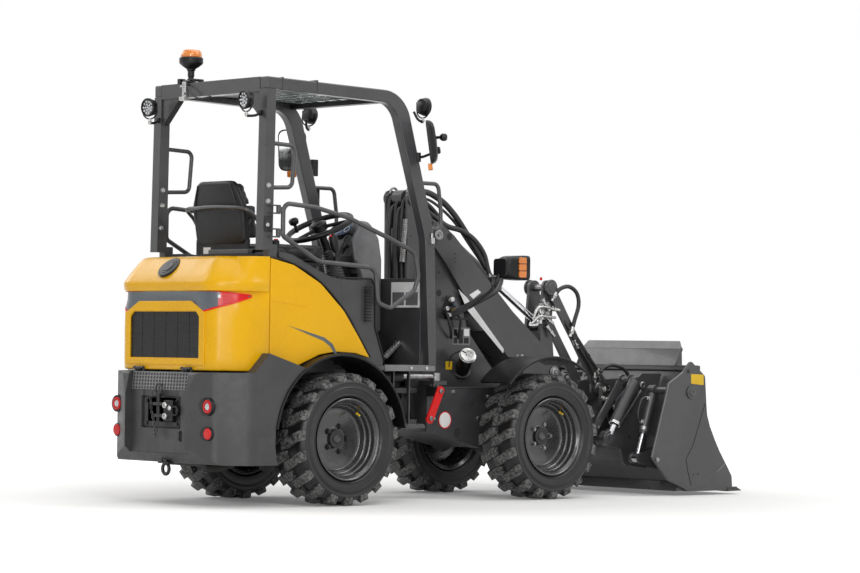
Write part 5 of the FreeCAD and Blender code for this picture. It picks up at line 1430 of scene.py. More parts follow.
@dataclass
class Station:
    """Seat, wheel, pod, levers and the panels round the operator."""

    repeat: Repeater
    body: str = "rear_frame"
    sim_frames: int = 20
    sim_cap: float = 0.010
    voxel: float = 0.005
    pressure: float = 4.0

    def build(self) -> None:
        """Make every piece of the operator's place."""
        self.seat()
        self.wheel_knob()
        self.pod()
        self.levers()
        self.panels()

    def cushion(self, shape: Shape, replaces: tuple[str, ...] = ()) -> bpy.types.Object:
        """Swell a closed form by cloth pressure and keep the plain mesh.

        Args:
            shape: The closed form.
            replaces: CAD nodes that it stands for.

        Returns:
            The pad.
        """
        piece = shape.finish(VINYL, self.body, replaces=replaces, slot="seat_vinyl" if replaces else "",
                             smooth_angle=70)
        remesh = piece.modifiers.new("remesh", "REMESH")
        remesh.mode = "VOXEL"
        remesh.voxel_size = self.voxel
        remesh.use_smooth_shade = True
        plain(piece)
        start = [v.co.copy() for v in piece.data.vertices]
        cloth = piece.modifiers.new("cloth", "CLOTH")
        cloth.settings.use_pressure = True
        cloth.settings.uniform_pressure_force = self.pressure
        cloth.settings.effector_weights.gravity = 0.0
        cloth.settings.quality = 4
        cloth.point_cache.frame_start = 1
        cloth.point_cache.frame_end = self.sim_frames
        for frame_number in range(1, self.sim_frames + 1):
            bpy.context.scene.frame_set(frame_number)
        plain(piece)
        bpy.context.scene.frame_set(1)
        for vert, old in zip(piece.data.vertices, start):
            move = vert.co - old
            if move.length > self.sim_cap:
                vert.co = old + move.normalized() * self.sim_cap
        smooth = piece.modifiers.new("smooth", "SUBSURF")
        smooth.levels = 1
        smooth.render_levels = 1
        piece.data.materials.clear()
        piece.data.materials.append(VINYL.build())
        piece.data.shade_smooth()
        return piece

    def seat(self) -> None:
        """Squab, lower back and upper back as pads, with their seams, shell and base."""
        squab = Shape("seat_squab_pad")
        squab.prism(rounded([(-318, -222), (112, -216), (112, 216), (-318, 222)], [60] * 4, 6), Axis.Z, 1268,
                    1348)
        self.cushion(squab, ("seat_cushions",))
        low = Shape("seat_low_back_pad")
        low.prism(rounded([(-412, 1382), (-346, 1382), (-370, 1550), (-430, 1550)], [14] * 4, 4), Axis.Y,
                  -206, 206)
        self.cushion(low)
        outline = rounded([(-186, 1556), (186, 1556), (142, 1668), (-142, 1668)], [14, 14, 40, 40], 6)
        top = Shape("seat_top_back_pad")
        top.skin([[at(x + (z - 1556) * -0.16, y * s, 1556 + (z - 1556) * t) for y, z in outline]
                   for x, s, t in ((-386, 1.0, 1.0), (-432, 0.96, 0.97))])
        self.cushion(top)
        shell = Shape("seat_back_shell")
        back = rounded([(-206, 1352), (206, 1352), (212, 1548), (148, 1678), (-148, 1678), (-212, 1548)],
                       [30, 30, 60, 60, 60, 60], 6)
        shell.skin([[at(x + (z - 1352) * -0.15, y * s, 1352 + (z - 1352) * t) for y, z in back]
                     for x, s, t in ((-404, 1.0, 1.0), (-424, 1.0, 1.0), (-434, 0.96, 0.98),
                                     (-438, 0.90, 0.95))])
        shell.finish(BLACK, self.body, smooth_angle=50)
        seam = Shape("seat_back_seams")
        seam.tube([at(-466, -200, 1520), at(-474, -100, 1534), at(-476, 0, 1537), at(-474, 100, 1534),
                   at(-466, 200, 1520)], 3.2, 8, 6)
        seam.tube([at(-452, -184, 1450), at(-474, -172, 1560), at(-488, -136, 1658)], 2.4, 8, 6)
        seam.tube([at(-452, 184, 1450), at(-474, 172, 1560), at(-488, 136, 1658)], 2.4, 8, 6)
        seam.finish(HOSE, self.body)
        rail = Shape("seat_rail")
        rail.tube([at(-330, -262, 1352), at(-400, -262, 1470), at(-470, -244, 1528), at(-494, -120, 1540),
                   at(-497, 0, 1543), at(-494, 120, 1540), at(-470, 244, 1534), at(-400, 268, 1480),
                   at(-330, 268, 1362)], 10, 14, 6)
        rail.finish(GREY, self.body)
        base = Shape("seat_base_trim")
        base.prism(rounded([(-250, -200), (100, -200), (100, 200), (-250, 200)], [20] * 4, 4), Axis.Z, 1246,
                   1266)
        base.prism(rounded([(-430, -216), (-408, -216), (-408, 216), (-430, 216)], [6] * 4, 3), Axis.Z, 1270,
                   1376)
        base.finish(BLACK, self.body, bevel=2.0)
        Shape("seat_blank_label").box((-431.5, 90, 1302), (-430, 150, 1336)).finish(WHITE, self.body)
        Shape("seat_rear_tray").box((-470, -270, 1296), (-440, 60, 1322)).finish(GREY, self.body, bevel=4.0)
        fold = Shape("seat_bellows")
        fold.prism(rounded([(-240, -190), (80, -190), (80, 190), (-240, 190)], [40] * 4, 5), Axis.Z, 1192,
                   1202)
        self.repeat.grid(fold, HOSE, self.body, 4, (0, 0, 14), bevel=3.5)
        Shape("seat_buckle").prism(rounded([(-300, 1290), (-262, 1290), (-250, 1372), (-282, 1376)], [8] * 4,
                                           4), Axis.Y, -262, -240).finish(BLACK, self.body, bevel=3.0)
        Shape("seat_buckle_button").box((-278, -258, 1372),
                                        (-258, -244, 1380)).finish(RED, self.body, bevel=1.5)

    def wheel_knob(self) -> None:
        """Spinner knob and cap on the steering wheel."""
        lean = Vector((-150, 0, 320)).normalized()
        rim = at(183, 120, 1436)
        knob = Shape("steering_knob")
        knob.bar(rim, rim + lean * 0.045, 9, 16, 1)
        knob.lathe([(0, 10), (6, 22), (16, 27), (30, 27), (38, 20), (41, 1)], rim + lean * 0.042, lean, 28)
        knob.finish(BLACK, self.body, smooth_angle=50)
        Shape("steering_cap").lathe([(0, 44), (12, 46), (20, 40), (24, 24), (25, 1)],
                                    at(236, 0, 1461) + lean * 0.008, lean,
                                    36).finish(BLACK, self.body, smooth_angle=50)

    def pod(self) -> None:
        """Instrument pod round the column with its oval display and switches."""
        side = rounded([(372, 1398), (392, 1300), (440, 1214), (470, 980), (520, 900), (596, 900),
                        (596, 1300),
                        (572, 1420), (508, 1500), (440, 1508)], [30, 30, 40, 80, 30, 10, 60, 50, 40, 40], 5)
        pod = Shape("instrument_pod")
        pod.skin([[at(490 + (x - 490) * s, y, 1200 + (z - 1200) * (1 - (1 - s) * 0.6)) for x, z in side]
                   for y, s in ((-112, 0.82), (-104, 0.94), (-88, 1.0), (88, 1.0), (104, 0.94), (112, 0.82))])
        pod.finish(POD, self.body, smooth_angle=28, bevel=2.0)
        face = Vector((-0.72, 0, 0.69)).normalized()
        up = Vector((0.69, 0, 0.72)).normalized()
        centre = at(404, 0, 1452)
        oval = [(math.cos(2 * math.pi * k / 40), math.sin(2 * math.pi * k / 40)) for k in range(40)]
        bezel = Shape("display_bezel")
        bezel.skin([[centre + Vector((0, a * 0.001 * r, 0)) + up * (b * 0.00062 * r) + face * d
                     for a, b in oval]
                     for r, d in ((96, -0.01), (96, 0.010), (90, 0.016), (80, 0.013), (78, 0.006))],
                   caps=False)
        bezel.finish(BLACK, self.body, smooth_angle=50)
        Shape("display").skin([[centre + Vector((0, a * 0.080, 0)) + up * (b * 0.050) + face * d
                                for a, b in oval] for d in (0.004, 0.009)]).finish(SCREEN, self.body)
        marks = Shape("display_segments")
        marks.lathe([(9.4, 20), (10, 20), (10, 16), (9.4, 16)], centre + Vector((0, 0.038, 0)), face, 28,
                    closed=True)
        marks.lathe([(9.4, 20), (10, 20), (10, 16), (9.4, 16)], centre - Vector((0, 0.038, 0)), face, 28,
                    closed=True)
        marks.finish(WHITE, self.body)
        gate = Shape("pod_switches")
        gate.box((398, -84, 1330), (406, -60, 1352))
        self.repeat.grid(gate, BLACK, self.body, 5, (0, 36, 0), 2, (8, 0, -34), bevel=2.0)
        stalk = Shape("steering_stalks")
        stalk.tube([at(330, -20, 1300), at(300, -120, 1330), at(262, -196, 1366)], 7, 12, 5)
        stalk.tube([at(330, 20, 1300), at(310, 110, 1324), at(290, 170, 1350)], 7, 12, 5)
        stalk.lathe([(0, 9), (10, 13), (34, 13), (42, 6)], at(276, -176, 1356), Vector((-0.2, -0.75, 0.4)),
                    18)
        stalk.finish(BLACK, self.body)
        boot = Shape("column_boot")
        axis = Vector((-150, 0, 320)).normalized()
        profile = []
        for k in range(9):
            profile += [(k * 13, 46 - k * 2.2), (k * 13 + 6.5, 38 - k * 2.0)]
        boot.lathe([(0, 1)] + profile + [(9 * 13, 22)], at(332, 0, 1238), axis, 28)
        boot.finish(HOSE, self.body, smooth_angle=60)

    def levers(self) -> None:
        """Joystick with its gaiter on the right console, a park lever and a conduit."""
        gaiter = Shape("joystick_gaiter")
        profile = [(0, 1), (0, 62)]
        for k in range(6):
            profile += [(6 + k * 14, 58 - k * 6.5), (13 + k * 14, 50 - k * 6.5)]
        gaiter.lathe(profile + [(94, 12), (94, 1)], at(60, -340, 1176), Vector((0.1, 0, 1)), 32)
        gaiter.finish(HOSE, self.body, smooth_angle=60)
        stick = Shape("joystick")
        stick.tube([at(68, -340, 1262), at(72, -340, 1310), at(62, -338, 1336)], 9, 14, 5)
        stick.lathe([(0, 14), (18, 21), (52, 24), (84, 22), (100, 14), (104, 2)], at(66, -338, 1318),
                    Vector((-0.2, 0.05, 1)), 24)
        stick.finish(BLACK, self.body, smooth_angle=50)
        buttons = Shape("joystick_buttons")
        buttons.lathe([(0, 6), (5, 6), (6, 4)], at(32, -340, 1404), Vector((-1, 0, 0.5)), 14)
        buttons.lathe([(0, 6), (5, 6), (6, 4)], at(36, -322, 1390), Vector((-1, 0, 0.5)), 14)
        buttons.finish(RED, self.body)
        lever = Shape("park_lever")
        lever.tube([at(216, -170, 1190), at(236, -160, 1290), at(290, -140, 1372), at(318, -130, 1396)], 10,
                   14, 6)
        lever.lathe([(0, 12), (14, 19), (46, 19), (58, 8)], at(300, -136, 1382), Vector((0.7, 0.2, 0.55)), 22)
        lever.finish(BLACK, self.body)
        ribs = Shape("lever_boot")
        profile = [(0, 1), (0, 54)]
        for k in range(5):
            profile += [(5 + k * 13, 52 - k * 6), (11 + k * 13, 44 - k * 6)]
        ribs.lathe(profile + [(74, 12), (74, 1)], at(196, -200, 1176), Vector((0.15, 0, 1)), 28)
        ribs.finish(HOSE, self.body, smooth_angle=60)
        conduit = Shape("console_conduit")
        profile = [(0, 1)]
        for k in range(26):
            profile += [(k * 9, 19), (k * 9 + 3, 24), (k * 9 + 6, 24)]
        conduit.lathe(profile + [(236, 1)], at(330, -300, 930), Vector((0, 0, 1)), 24)
        conduit.finish(HOSE, self.body, smooth_angle=50)

    def panels(self) -> None:
        """Blank plates, console edge trim, floor mat ribs and steps."""
        Shape("front_panel_plate").prism([(-408, 1040), (-180, 1040), (-180, 1176), (-408, 1176)], Axis.X,
                                         597, 600).finish(WHITE, self.body)
        marks = Shape("front_panel_plate_fields")
        marks.prism([(-396, 1052), (-300, 1052), (-300, 1122), (-396, 1122)], Axis.X, 596, 597.5)
        marks.prism([(-286, 1052), (-192, 1052), (-192, 1122), (-286, 1122)], Axis.X, 596, 597.5)
        marks.finish(GREY_LIGHT, self.body)
        Shape("footwell_panel").box((601, -170, 728), (607, 170, 1180)).finish(GREY, self.body)
        Shape("footwell_panel_rail").box((600, -430, 1178),
                                         (615, 430, 1196)).finish(GREY, self.body, bevel=2.0)
        trim = Shape("console_edge_trim")
        for side in (-1, 1):
            line = [(-30, 1184), (210, 1182), (232, 1150), (240, 930), (304, 762)]
            trim.tube([at(x, side * 462, z) for x, z in line], 5, 10, 4, smooth=False)
        trim.finish(BLACK, self.body)
        Shape("console_plug").lathe([(0, 9), (3, 9), (4, 6)], at(180, -460, 1118), Vector((0, -1, 0)),
                                    20).finish(BLACK, self.body)
        mat = Shape("floor_mat_ribs")
        mat.box((150, -262, 728), (560, -256, 732))
        self.repeat.grid(mat, BLACK, self.body, 27, (0, 20, 0), bevel=1.2)
        pedal = Shape("pedals")
        for y in (-190, 170):
            pedal.prism([(498, 742), (574, 800), (568, 808), (492, 750)], Axis.Y, y - 45, y + 45)
            pedal.bar(at(540, y, 732), at(548, y, 780), 8, 12)
        pedal.finish(BLACK, self.body, bevel=2.0)
        for side in (-1, 1):
            tread = Shape("step_treads_" + ("left" if side > 0 else "right"))
            edge = sorted((side * 310, side * 448))
            tread.box((478, edge[0], 414), (486, edge[1], 419))
            self.repeat.grid(tread, STEEL, self.body, 8, (16.5, 0, 0), bevel=0.8)
            lip = Shape("floor_edge_" + ("left" if side > 0 else "right"))
            edge = sorted((side * 462, side * 471))
            lip.box((306, edge[0], 700), (660, edge[1], 733))
            lip.finish(GREY_LIGHT, self.body, bevel=2.0)


# --- front frame, boom and linkage --------------------------------------------------------------------


@dataclass
class FrontFrame:
    """Fittings of the front chassis and its mast, with the headlights and the lock bar."""

    repeat: Repeater
    body: str = "front_frame"
    mast_face: float = 95.0
    chassis_face: float = 200.0

    def build(self) -> None:
        """Make every fitting."""
        self.bosses()
        self.plates()
        self.filler()
        self.couplers()
        self.lock_bar()
        self.headlamps()
        self.fender_edges()

    def bosses(self) -> None:
        """Bosses of the mast's head, its holes and bolts."""
        bosses = Shape("mast_bosses")
        for side in (-1, 1):
            out = Vector((0, side, 0))
            bosses.lathe([(-2, 46), (9, 46), (11, 43), (11, 30), (14, 28), (14, 1)], at(826, side * 95, 1646),
                         out, 40)
            bosses.lathe([(-2, 42), (3, 42), (3, 26)], at(826, side * 76, 1646), out * -1, 36)
        bosses.finish(GREY, self.body, bevel=1.2, smooth_angle=40)
        eyes = Shape("mast_lifting_eyes")
        for y in (-70, 70):
            eyes.tube([at(800, y, 1672), at(806, y, 1694), at(826, y, 1703), at(846, y, 1694),
                       at(852, y, 1672)], 7, 12, 6)
        eyes.finish(STEEL, self.body)
        # The holes are flat near-black discs: painted shade, not cut.
        holes = Shape("mast_holes")
        for side in (-1, 1):
            out = Vector((0, side, 0))
            for x, z, r in ((1022, 1128, 19), (1020, 1241, 8)):
                holes.lathe([(-1, r), (0.8, r)], at(x, side * self.mast_face, z), out, 28)
            holes.lathe([(-1, 26), (0.8, 26)], at(1078, side * self.chassis_face, 362), out, 30)
            holes.lathe([(-1, 18), (0.8, 18)], at(1180, side * self.chassis_face, 520), out, 24)
        holes.finish(NEAR_BLACK_AND_HOLE_SHADE, self.body)
        bolts = Shape("front_frame_bolts")
        for side in (-1, 1):
            out = Vector((0, side, 0))
            for x, z in ((900, 560), (960, 585), (1040, 585), (1300, 560), (900, 440), (1230, 440)):
                bolts.hexagon(at(x, side * self.chassis_face, z), out, 17, 10)
        bolts.finish(ZINC, self.body, bevel=0.5)
        seam = Shape("front_frame_edges")
        for side in (-1, 1):
            low, high = sorted((side * 196, side * 204))
            seam.prism([(868, 604), (1560, 604), (1560, 612), (868, 612)], Axis.Y, low, high)
        seam.finish(GREY, self.body, bevel=1.5)

    def plates(self) -> None:
        """Blank plates on the mast and the chassis."""
        Shape("mast_blank_plate").prism(rounded([(1128, 843), (1260, 843), (1260, 940), (1128, 940)], [6] * 4,
                                                3), Axis.Y, -97, -94).finish(GREY_LIGHT, self.body)
        fields = Shape("mast_plate_fields")
        for x0, x1, z0, z1 in ((1136, 1164, 852, 884), (1136, 1164, 894, 930), (1174, 1206, 852, 930),
                               (1214, 1250, 852, 884)):
            fields.prism([(x0, z0), (x1, z0), (x1, z1), (x0, z1)], Axis.Y, -98, -96)
        fields.finish(BLACK, self.body)
        Shape("mast_plate_white_field").prism([(1214, 894), (1252, 894), (1252, 932), (1214, 932)], Axis.Y,
                                              -98, -96).finish(WHITE, self.body)
        Shape("chassis_blank_disc").lathe([(-1, 44), (1.4, 44), (1.8, 43), (1.8, 1)], at(984, -200, 431),
                                          Vector((0, -1, 0)), 48).finish(WHITE, self.body)
        Shape("chassis_blank_disc_edge").lathe([(-1, 47), (2.2, 47), (2.2, 42), (-1, 42)], at(984, -200, 431),
                                               Vector((0, -1, 0)), 48, closed=True).finish(RED, self.body)
        Shape("mast_yellow_plate").prism(rounded([(1080, 706), (1128, 706), (1128, 752), (1080, 752)],
                                                 [5] * 4, 3), Axis.Y, -97,
                                         -94).finish(YELLOW_PLATE, self.body)

    def filler(self) -> None:
        """Oil filler pipe with its bright screw cap."""
        foot, top = at(1200, -96, 696), at(1142, -205, 781)
        axis = (top - foot).normalized()
        pipe = Shape("oil_filler_pipe")
        pipe.bar(foot, top, 38, 32, 2)
        pipe.lathe([(0, 52), (8, 50), (12, 40)], foot, axis, 32)
        pipe.finish(BLACK, self.body, smooth_angle=50)
        cap = Shape("oil_filler_cap")
        cap.lathe([(0, 44), (18, 45), (22, 43), (24, 36), (24, 14), (27, 12), (27, 1)], top - axis * 0.004,
                  axis, 44)
        cap.finish(ZINC, self.body, bevel=0.8, smooth_angle=40)
        notch = Shape("oil_filler_grips")
        notch.bar(Vector((0.0455, 0, -0.007)), Vector((0.0455, 0, 0.007)), 2.2, 6)
        piece = self.repeat.ring(notch, ZINC, self.body, Vector((0, 0, 0)), 20)
        turn = Vector((0, 1, 0)).rotation_difference(axis).to_matrix()
        for vert in piece.data.vertices:
            vert.co = turn @ vert.co + top + axis * 0.007
        Shape("oil_filler_tether").tube([top + axis * 0.016, at(1110, -190, 810), at(1100, -120, 780),
                                         at(1104, -97, 720)], 3, 8, 6).finish(HOSE, self.body)

    def couplers(self) -> None:
        """Four quick couplers with coloured caps on a shelf, and their hoses."""
        shelf = Shape("coupler_shelf")
        shelf.box((1070, -150, 984), (1216, -94, 992))
        shelf.box((1070, -150, 984), (1078, -94, 1012))
        shelf.finish(BLACK, self.body, bevel=1.5)
        spots = ((1098, 1091, WHITE, "pale"), (1119, 1064, BAND, "slate"), (1061, 1040, ZINC, "bright"),
                 (1119, 1026, YELLOW_PLATE, "yellow"))
        Shape("coupler_block").prism(rounded([(1040, 1010), (1142, 1004), (1130, 1112), (1082, 1116)],
                                             [10] * 4, 4), Axis.Y, -104,
                                     -94).finish(DARK, self.body, bevel=1.5)
        for x, z, finish, label in spots:
            cap = Shape(f"coupler_{label}")
            cap.lathe([(0, 10), (16, 10), (16, 13), (34, 13.5), (37, 11), (38, 1)], at(x, -103, z),
                      Vector((-0.25, -1, 0.1)), 24)
            cap.finish(finish, self.body, smooth_angle=40)
        lines = Shape("coupler_hoses")
        lines.tube([at(1061, -110, 1040), at(1050, -140, 1000), at(1080, -134, 930), at(1110, -106, 880)], 8,
                   10, 6)
        lines.tube([at(1119, -108, 1026), at(1150, -136, 990), at(1160, -120, 930), at(1170, -98, 880)], 8,
                   10, 6)
        lines.finish(HOSE, self.body)

    def lock_bar(self) -> None:
        """Red bar that locks the pivot for transport, on its pins, with its arm and grease points."""
        bar = Shape("pivot_lock_bar")
        a, b = (867, 615), (772, 419)
        dx, dz = b[0] - a[0], b[1] - a[1]
        size = math.hypot(dx, dz)
        nx, nz = -dz / size * 24, dx / size * 24
        bar.prism(rounded([(a[0] + nx, a[1] + nz), (b[0] + nx, b[1] + nz), (b[0] - nx, b[1] - nz),
                           (a[0] - nx, a[1] - nz)],
                          [22] * 4, 6), Axis.Y, -306, -294)
        bar.finish(RED, self.body, bevel=1.5)
        pins = Shape("pivot_lock_pins")
        for t in (0.12, 0.88):
            x, z = a[0] + dx * t, a[1] + dz * t
            pins.lathe([(0, 13), (8, 13), (10, 10), (10, 5), (6, 4), (6, 1)], at(x, -305, z),
                       Vector((0, -1, 0)), 24)
            pins.hexagon(at(x, -294, z), Vector((0, 1, 0)), 22, 10)
        pins.finish(STEEL, self.body, bevel=0.5)
        arm = Shape("pivot_lock_arm")
        arm.prism([(846, 560), (906, 560), (906, 610), (846, 610)], Axis.Y, -290, -196)
        arm.bar(at(782, -290, 446), at(862, -204, 452), 12, 16, 1)
        arm.finish(DARK, self.body, bevel=2.0)
        grease = Shape("grease_points")
        for x in (862, 884, 912):
            grease.hexagon(at(x, -214, 620), Vector((0, -0.2, 1)), 11, 8)
            grease.lathe([(8, 3), (14, 3.4), (16, 1)], at(x, -214, 620), Vector((0, -0.2, 1)), 12)
        grease.finish(ZINC, self.body)

    def headlamps(self) -> None:
        """Headlight shells with clear and amber lenses, brackets and bolts."""
        for sign, label in sides():
            shell = Shape(f"headlight_shell_{label}")
            middle = sign * 430
            rings = []
            for x, share, radius in ((1178, 0.50, 30), (1184, 0.66, 34), (1200, 0.82, 34), (1224, 0.92, 30),
                                     (1250, 0.97, 26),
                                     (1304, 1.0, 24)):
                half = 68 * share
                rings.append([at(x, y, z) for y, z in rounded([(middle - half, 1270 - half),
                                                               (middle + half, 1270 - half),
                                                               (middle + half, 1270 + half),
                                                               (middle - half, 1270 + half)],
                                                              [radius] * 4, 6)])
            shell.skin(rings)
            shell.finish(BLACK, self.body, replaces=("headlights",) if sign > 0 else (), slot="black_plastic",
                         smooth_angle=50)
            lens = Shape(f"headlight_lens_{label}")
            low, high = sorted((sign * 372, sign * 488))
            lens.prism(rounded([(low, 1211), (high, 1211), (high, 1329), (low, 1329)], [16] * 4, 5), Axis.X,
                       1326, 1337)
            lens.finish(WHITE_LENS, self.body, bevel=3.0)
            rim = Shape(f"headlight_rim_{label}")
            outer = rounded([(sign * 362, 1202), (sign * 498, 1202), (sign * 498, 1338), (sign * 362, 1338)],
                            [24] * 4, 6)
            inner = rounded([(sign * 373, 1212), (sign * 487, 1212), (sign * 487, 1328), (sign * 373, 1328)],
                            [16] * 4, 6)
            steps = ((outer, 1300), (outer, 1332), (inner, 1334), (inner, 1322))
            rim.skin([[at(x, y, z) for y, z in loop] for loop, x in steps], caps=False)
            rim.finish(BLACK, self.body, bevel=1.0)
            amber = Shape(f"headlight_amber_{label}")
            low, high = sorted((sign * 494, sign * 503.5))
            amber.prism(rounded([(1246, 1216), (1300, 1216), (1300, 1326), (1246, 1326)], [10] * 4, 4),
                        Axis.Y, low, high)
            amber.finish(AMBER, self.body, bevel=2.0)
            bars = Shape(f"headlight_amber_ribs_{label}")
            for z in (1251, 1289):
                bars.prism([(1244, z), (1302, z), (1302, z + 4), (1244, z + 4)], Axis.Y,
                           *sorted((sign * 494, sign * 504.5)))
            bars.finish(BLACK, self.body)
            trim = Shape(f"headlight_back_{label}")
            trim.prism(rounded([(sign * 380, 1222), (sign * 480, 1222), (sign * 480, 1318),
                                (sign * 380, 1318)], [20] * 4, 5),
                       Axis.X, 1164, 1182)
            trim.finish(BLACK, self.body, bevel=3.0)
            fixing = Shape(f"headlight_bolts_{label}")
            fixing.bar(at(1130, sign * 392, 1224), at(1186, sign * 392, 1224), 6, 12, 1)
            fixing.hexagon(at(1128, sign * 392, 1224), Vector((-1, 0, 0)), 18, 10)
            fixing.hexagon(at(1060, sign * 140, 1008), Vector((0, sign, 0)), 20, 12)
            fixing.finish(ZINC, self.body)
            arm = Shape(f"headlight_bracket_{label}")
            arm.tube([at(1076, sign * 120, 1000), at(1170, sign * 360, 1128), at(1196, sign * 392, 1176),
                      at(1204, sign * 396, 1214)], 19, 16, 6)
            arm.prism([(1160, 1140), (1224, 1150), (1216, 1216), (1150, 1226), (1146, 1180)], Axis.Y,
                      *sorted((sign * 380, sign * 388)))
            arm.finish(GREY, self.body, bevel=1.0)
            lead = Shape(f"headlight_lead_{label}")
            lead.tube([at(1174, sign * 424, 1250), at(1150, sign * 410, 1180), at(1130, sign * 300, 1080),
                       at(1080, sign * 150, 1014)], 5, 8, 6)
            lead.finish(HOSE, self.body)

    def fender_edges(self) -> None:
        """Rolled edge along each front mudguard and bolts on top."""
        centre = at(WHEELBASE - 10, 0, AXLE_HEIGHT)
        for sign, label in sides():
            edge = Shape(f"front_fender_edge_{label}")
            points = []
            for k in range(19):
                angle = math.radians(56 + (139 - 56) * k / 18)
                points.append(centre + Vector((math.cos(angle) * 0.437, sign * 0.544,
                                               math.sin(angle) * 0.437)))
            edge.tube(points, 7, 10, 2)
            edge.finish(BLACK, self.body)
            bolts = Shape(f"front_fender_bolts_{label}")
            for y in (300, 336):
                bolts.hexagon(at(1430, sign * y, 785), Vector((0, 0, 1)), 18, 8)
            bolts.finish(ZINC, self.body)


@dataclass
class Linkage:
    """Hoses, pins, stripes and hydraulic fittings along the boom and its linkage."""

    repeat: Repeater
    boom_face: float = 119.0

    def build(self) -> None:
        """Make every fitting."""
        self.pins()
        self.stripes()
        self.mast_hoses()
        self.boom_lines()
        self.fittings()
        self.link_hoses()

    def pins(self) -> None:
        """Retaining plates and bolts at the pins, and the boom's holes."""
        for name, x, y, z, radius in (("boom_pin_plates", 975, 139, 1445.5, 30),
                                      ("coupler_pin_plates", 2240, 139, 314, 28),
                                      ("rocker_pin_plates", 1895, 127, 694, 24)):
            plates = Shape(name)
            for side in (-1, 1):
                out = Vector((0, side, 0))
                plates.lathe([(-2, radius), (5, radius), (7, radius - 3), (7, radius - 12), (4, radius - 14),
                              (4, 1)],
                             at(x, side * y, z), out, 36)
                plates.hexagon(at(x, side * (y + 3), z), out, 16, 9)
            plates.finish(STEEL, "boom", bevel=0.8)
        # The boom's holes are flat near-black discs: painted shade, not cut.
        holes = Shape("boom_holes")
        for side in (-1, 1):
            out = Vector((0, side, 0))
            for x, z, r in ((1075, 1440, 20), (1117, 1346, 5), (1118, 1323, 5), (1118, 1301, 5)):
                holes.lathe([(-1, r), (0.8, r)], at(x, side * self.boom_face, z), out, 24)
        holes.finish(NEAR_BLACK_AND_HOLE_SHADE, "boom")

    def stripes(self) -> None:
        """White wedges painted on the boom's plates."""
        for side in Side:
            low, high = sorted((side.value * (self.boom_face - 2), side.value * (self.boom_face + 0.9)))
            wedge = Shape(f"boom_stripe_{side.name.lower()}")
            wedge.prism([(1148, 1150), (1212, 1106), (1500, 822), (1494, 800), (1214, 1040)], Axis.Y, low,
                        high)
            wedge.prism([(1230, 1122), (1294, 1154), (1318, 1138), (1260, 1100)], Axis.Y, low, high)
            wedge.finish(WHITE, "boom")

    def mast_hoses(self) -> None:
        """Two sleeved bundles from the mast over the boom's root, which ride on no body."""
        runs = (([(842, -60, 1400), (850, -62, 1560), (880, -62, 1660), (948, -62, 1682), (1058, -64, 1640),
                  (1150, -66, 1572), (1236, -70, 1478), (1330, -74, 1360), (1400, -78, 1270)], 17),
                ([(880, -20, 1420), (890, -22, 1540), (930, -28, 1600), (1010, -40, 1560), (1086, -84, 1500),
                  (1190, -88, 1478), (1290, -88, 1430), (1366, -88, 1352), (1400, -88, 1262),
                  (1440, -88, 1190)], 15),
                ([(842, 60, 1400), (850, 62, 1560), (884, 62, 1652), (960, 62, 1668), (1070, 64, 1622),
                  (1160, 66, 1552), (1256, 70, 1440), (1400, 78, 1270)], 15))
        for number, (points, radius) in enumerate(runs, 1):
            hose = Shape(f"mast_hose_{number}")
            hose.tube([at(*p) for p in points], radius, 14, 8)
            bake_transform(hose.finish(HOSE, "", smooth_angle=70))
        thin = Shape("mast_hose_thin")
        thin.tube([at(852, -40, 1380), at(862, -42, 1560), at(900, -44, 1640), at(980, -50, 1640),
                   at(1076, -56, 1590),
                   at(1170, -60, 1520), at(1260, -64, 1420), at(1380, -70, 1290)], 8, 10, 8)
        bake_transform(thin.finish(HOSE, "", smooth_angle=70))
        rear = Shape("mast_rear_hoses")
        for y, x, top, r in ((-58, 792, 1610, 10), (-34, 776, 1560, 11), (-8, 786, 1600, 9),
                             (22, 774, 1570, 11), (50, 788, 1620, 10)):
            rear.tube([at(x + 6, y, 760), at(x - 12, y - 6, 1000), at(x - 6, y + 8, 1240),
                       at(x - 22, y, 1420),
                       at(x - 8, y, top), at(x + 30, y, top + 44)], r, 12, 6)
        rear.finish(HOSE, "front_frame", smooth_angle=70)
        spring = Shape("mast_hose_sleeve")
        profile = [(0, 1)]
        for k in range(24):
            profile += [(k * 10, 13), (k * 10 + 4, 16), (k * 10 + 7, 16)]
        spring.lathe(profile + [(240, 1)], at(760, -84, 1290), Vector((0.1, 0.02, 1)), 16)
        spring.finish(STEEL, "front_frame", smooth_angle=50)
        union = Shape("mast_unions")
        for x, y, z in ((842, -60, 1392), (842, 60, 1392), (880, -20, 1412)):
            union.hexagon(at(x, y, z - 24), Vector((0, 0, 1)), 30, 18)
            union.hexagon(at(x, y, z - 6), Vector((0, 0, 1)), 24, 20)
        union.finish(ZINC, "front_frame", bevel=0.6)

    def boom_lines(self) -> None:
        """Steel pipes and hoses along the top of the boom with their clamps."""
        lines = Shape("boom_pipes")
        for y, lift in ((75, 3), (93, 0)):
            lines.tube([at(1290, y, 1272 + lift), at(1400, y, 1166 + lift), at(1560, y, 1012 + lift),
                        at(1700, y, 905 + lift), at(1770, y, 880 + lift)], 8, 12, 5)
        lines.finish(DARK, "boom")
        clamp = Shape("boom_pipe_clamps")
        for x, z in ((1350, 1212), (1500, 1068), (1650, 940)):
            clamp.prism([(x - 14, z - 6), (x + 10, z - 30), (x + 26, z - 14), (x + 2, z + 12)], Axis.Y, 67,
                        102)
        clamp.finish(BLACK, "boom", bevel=2.0)

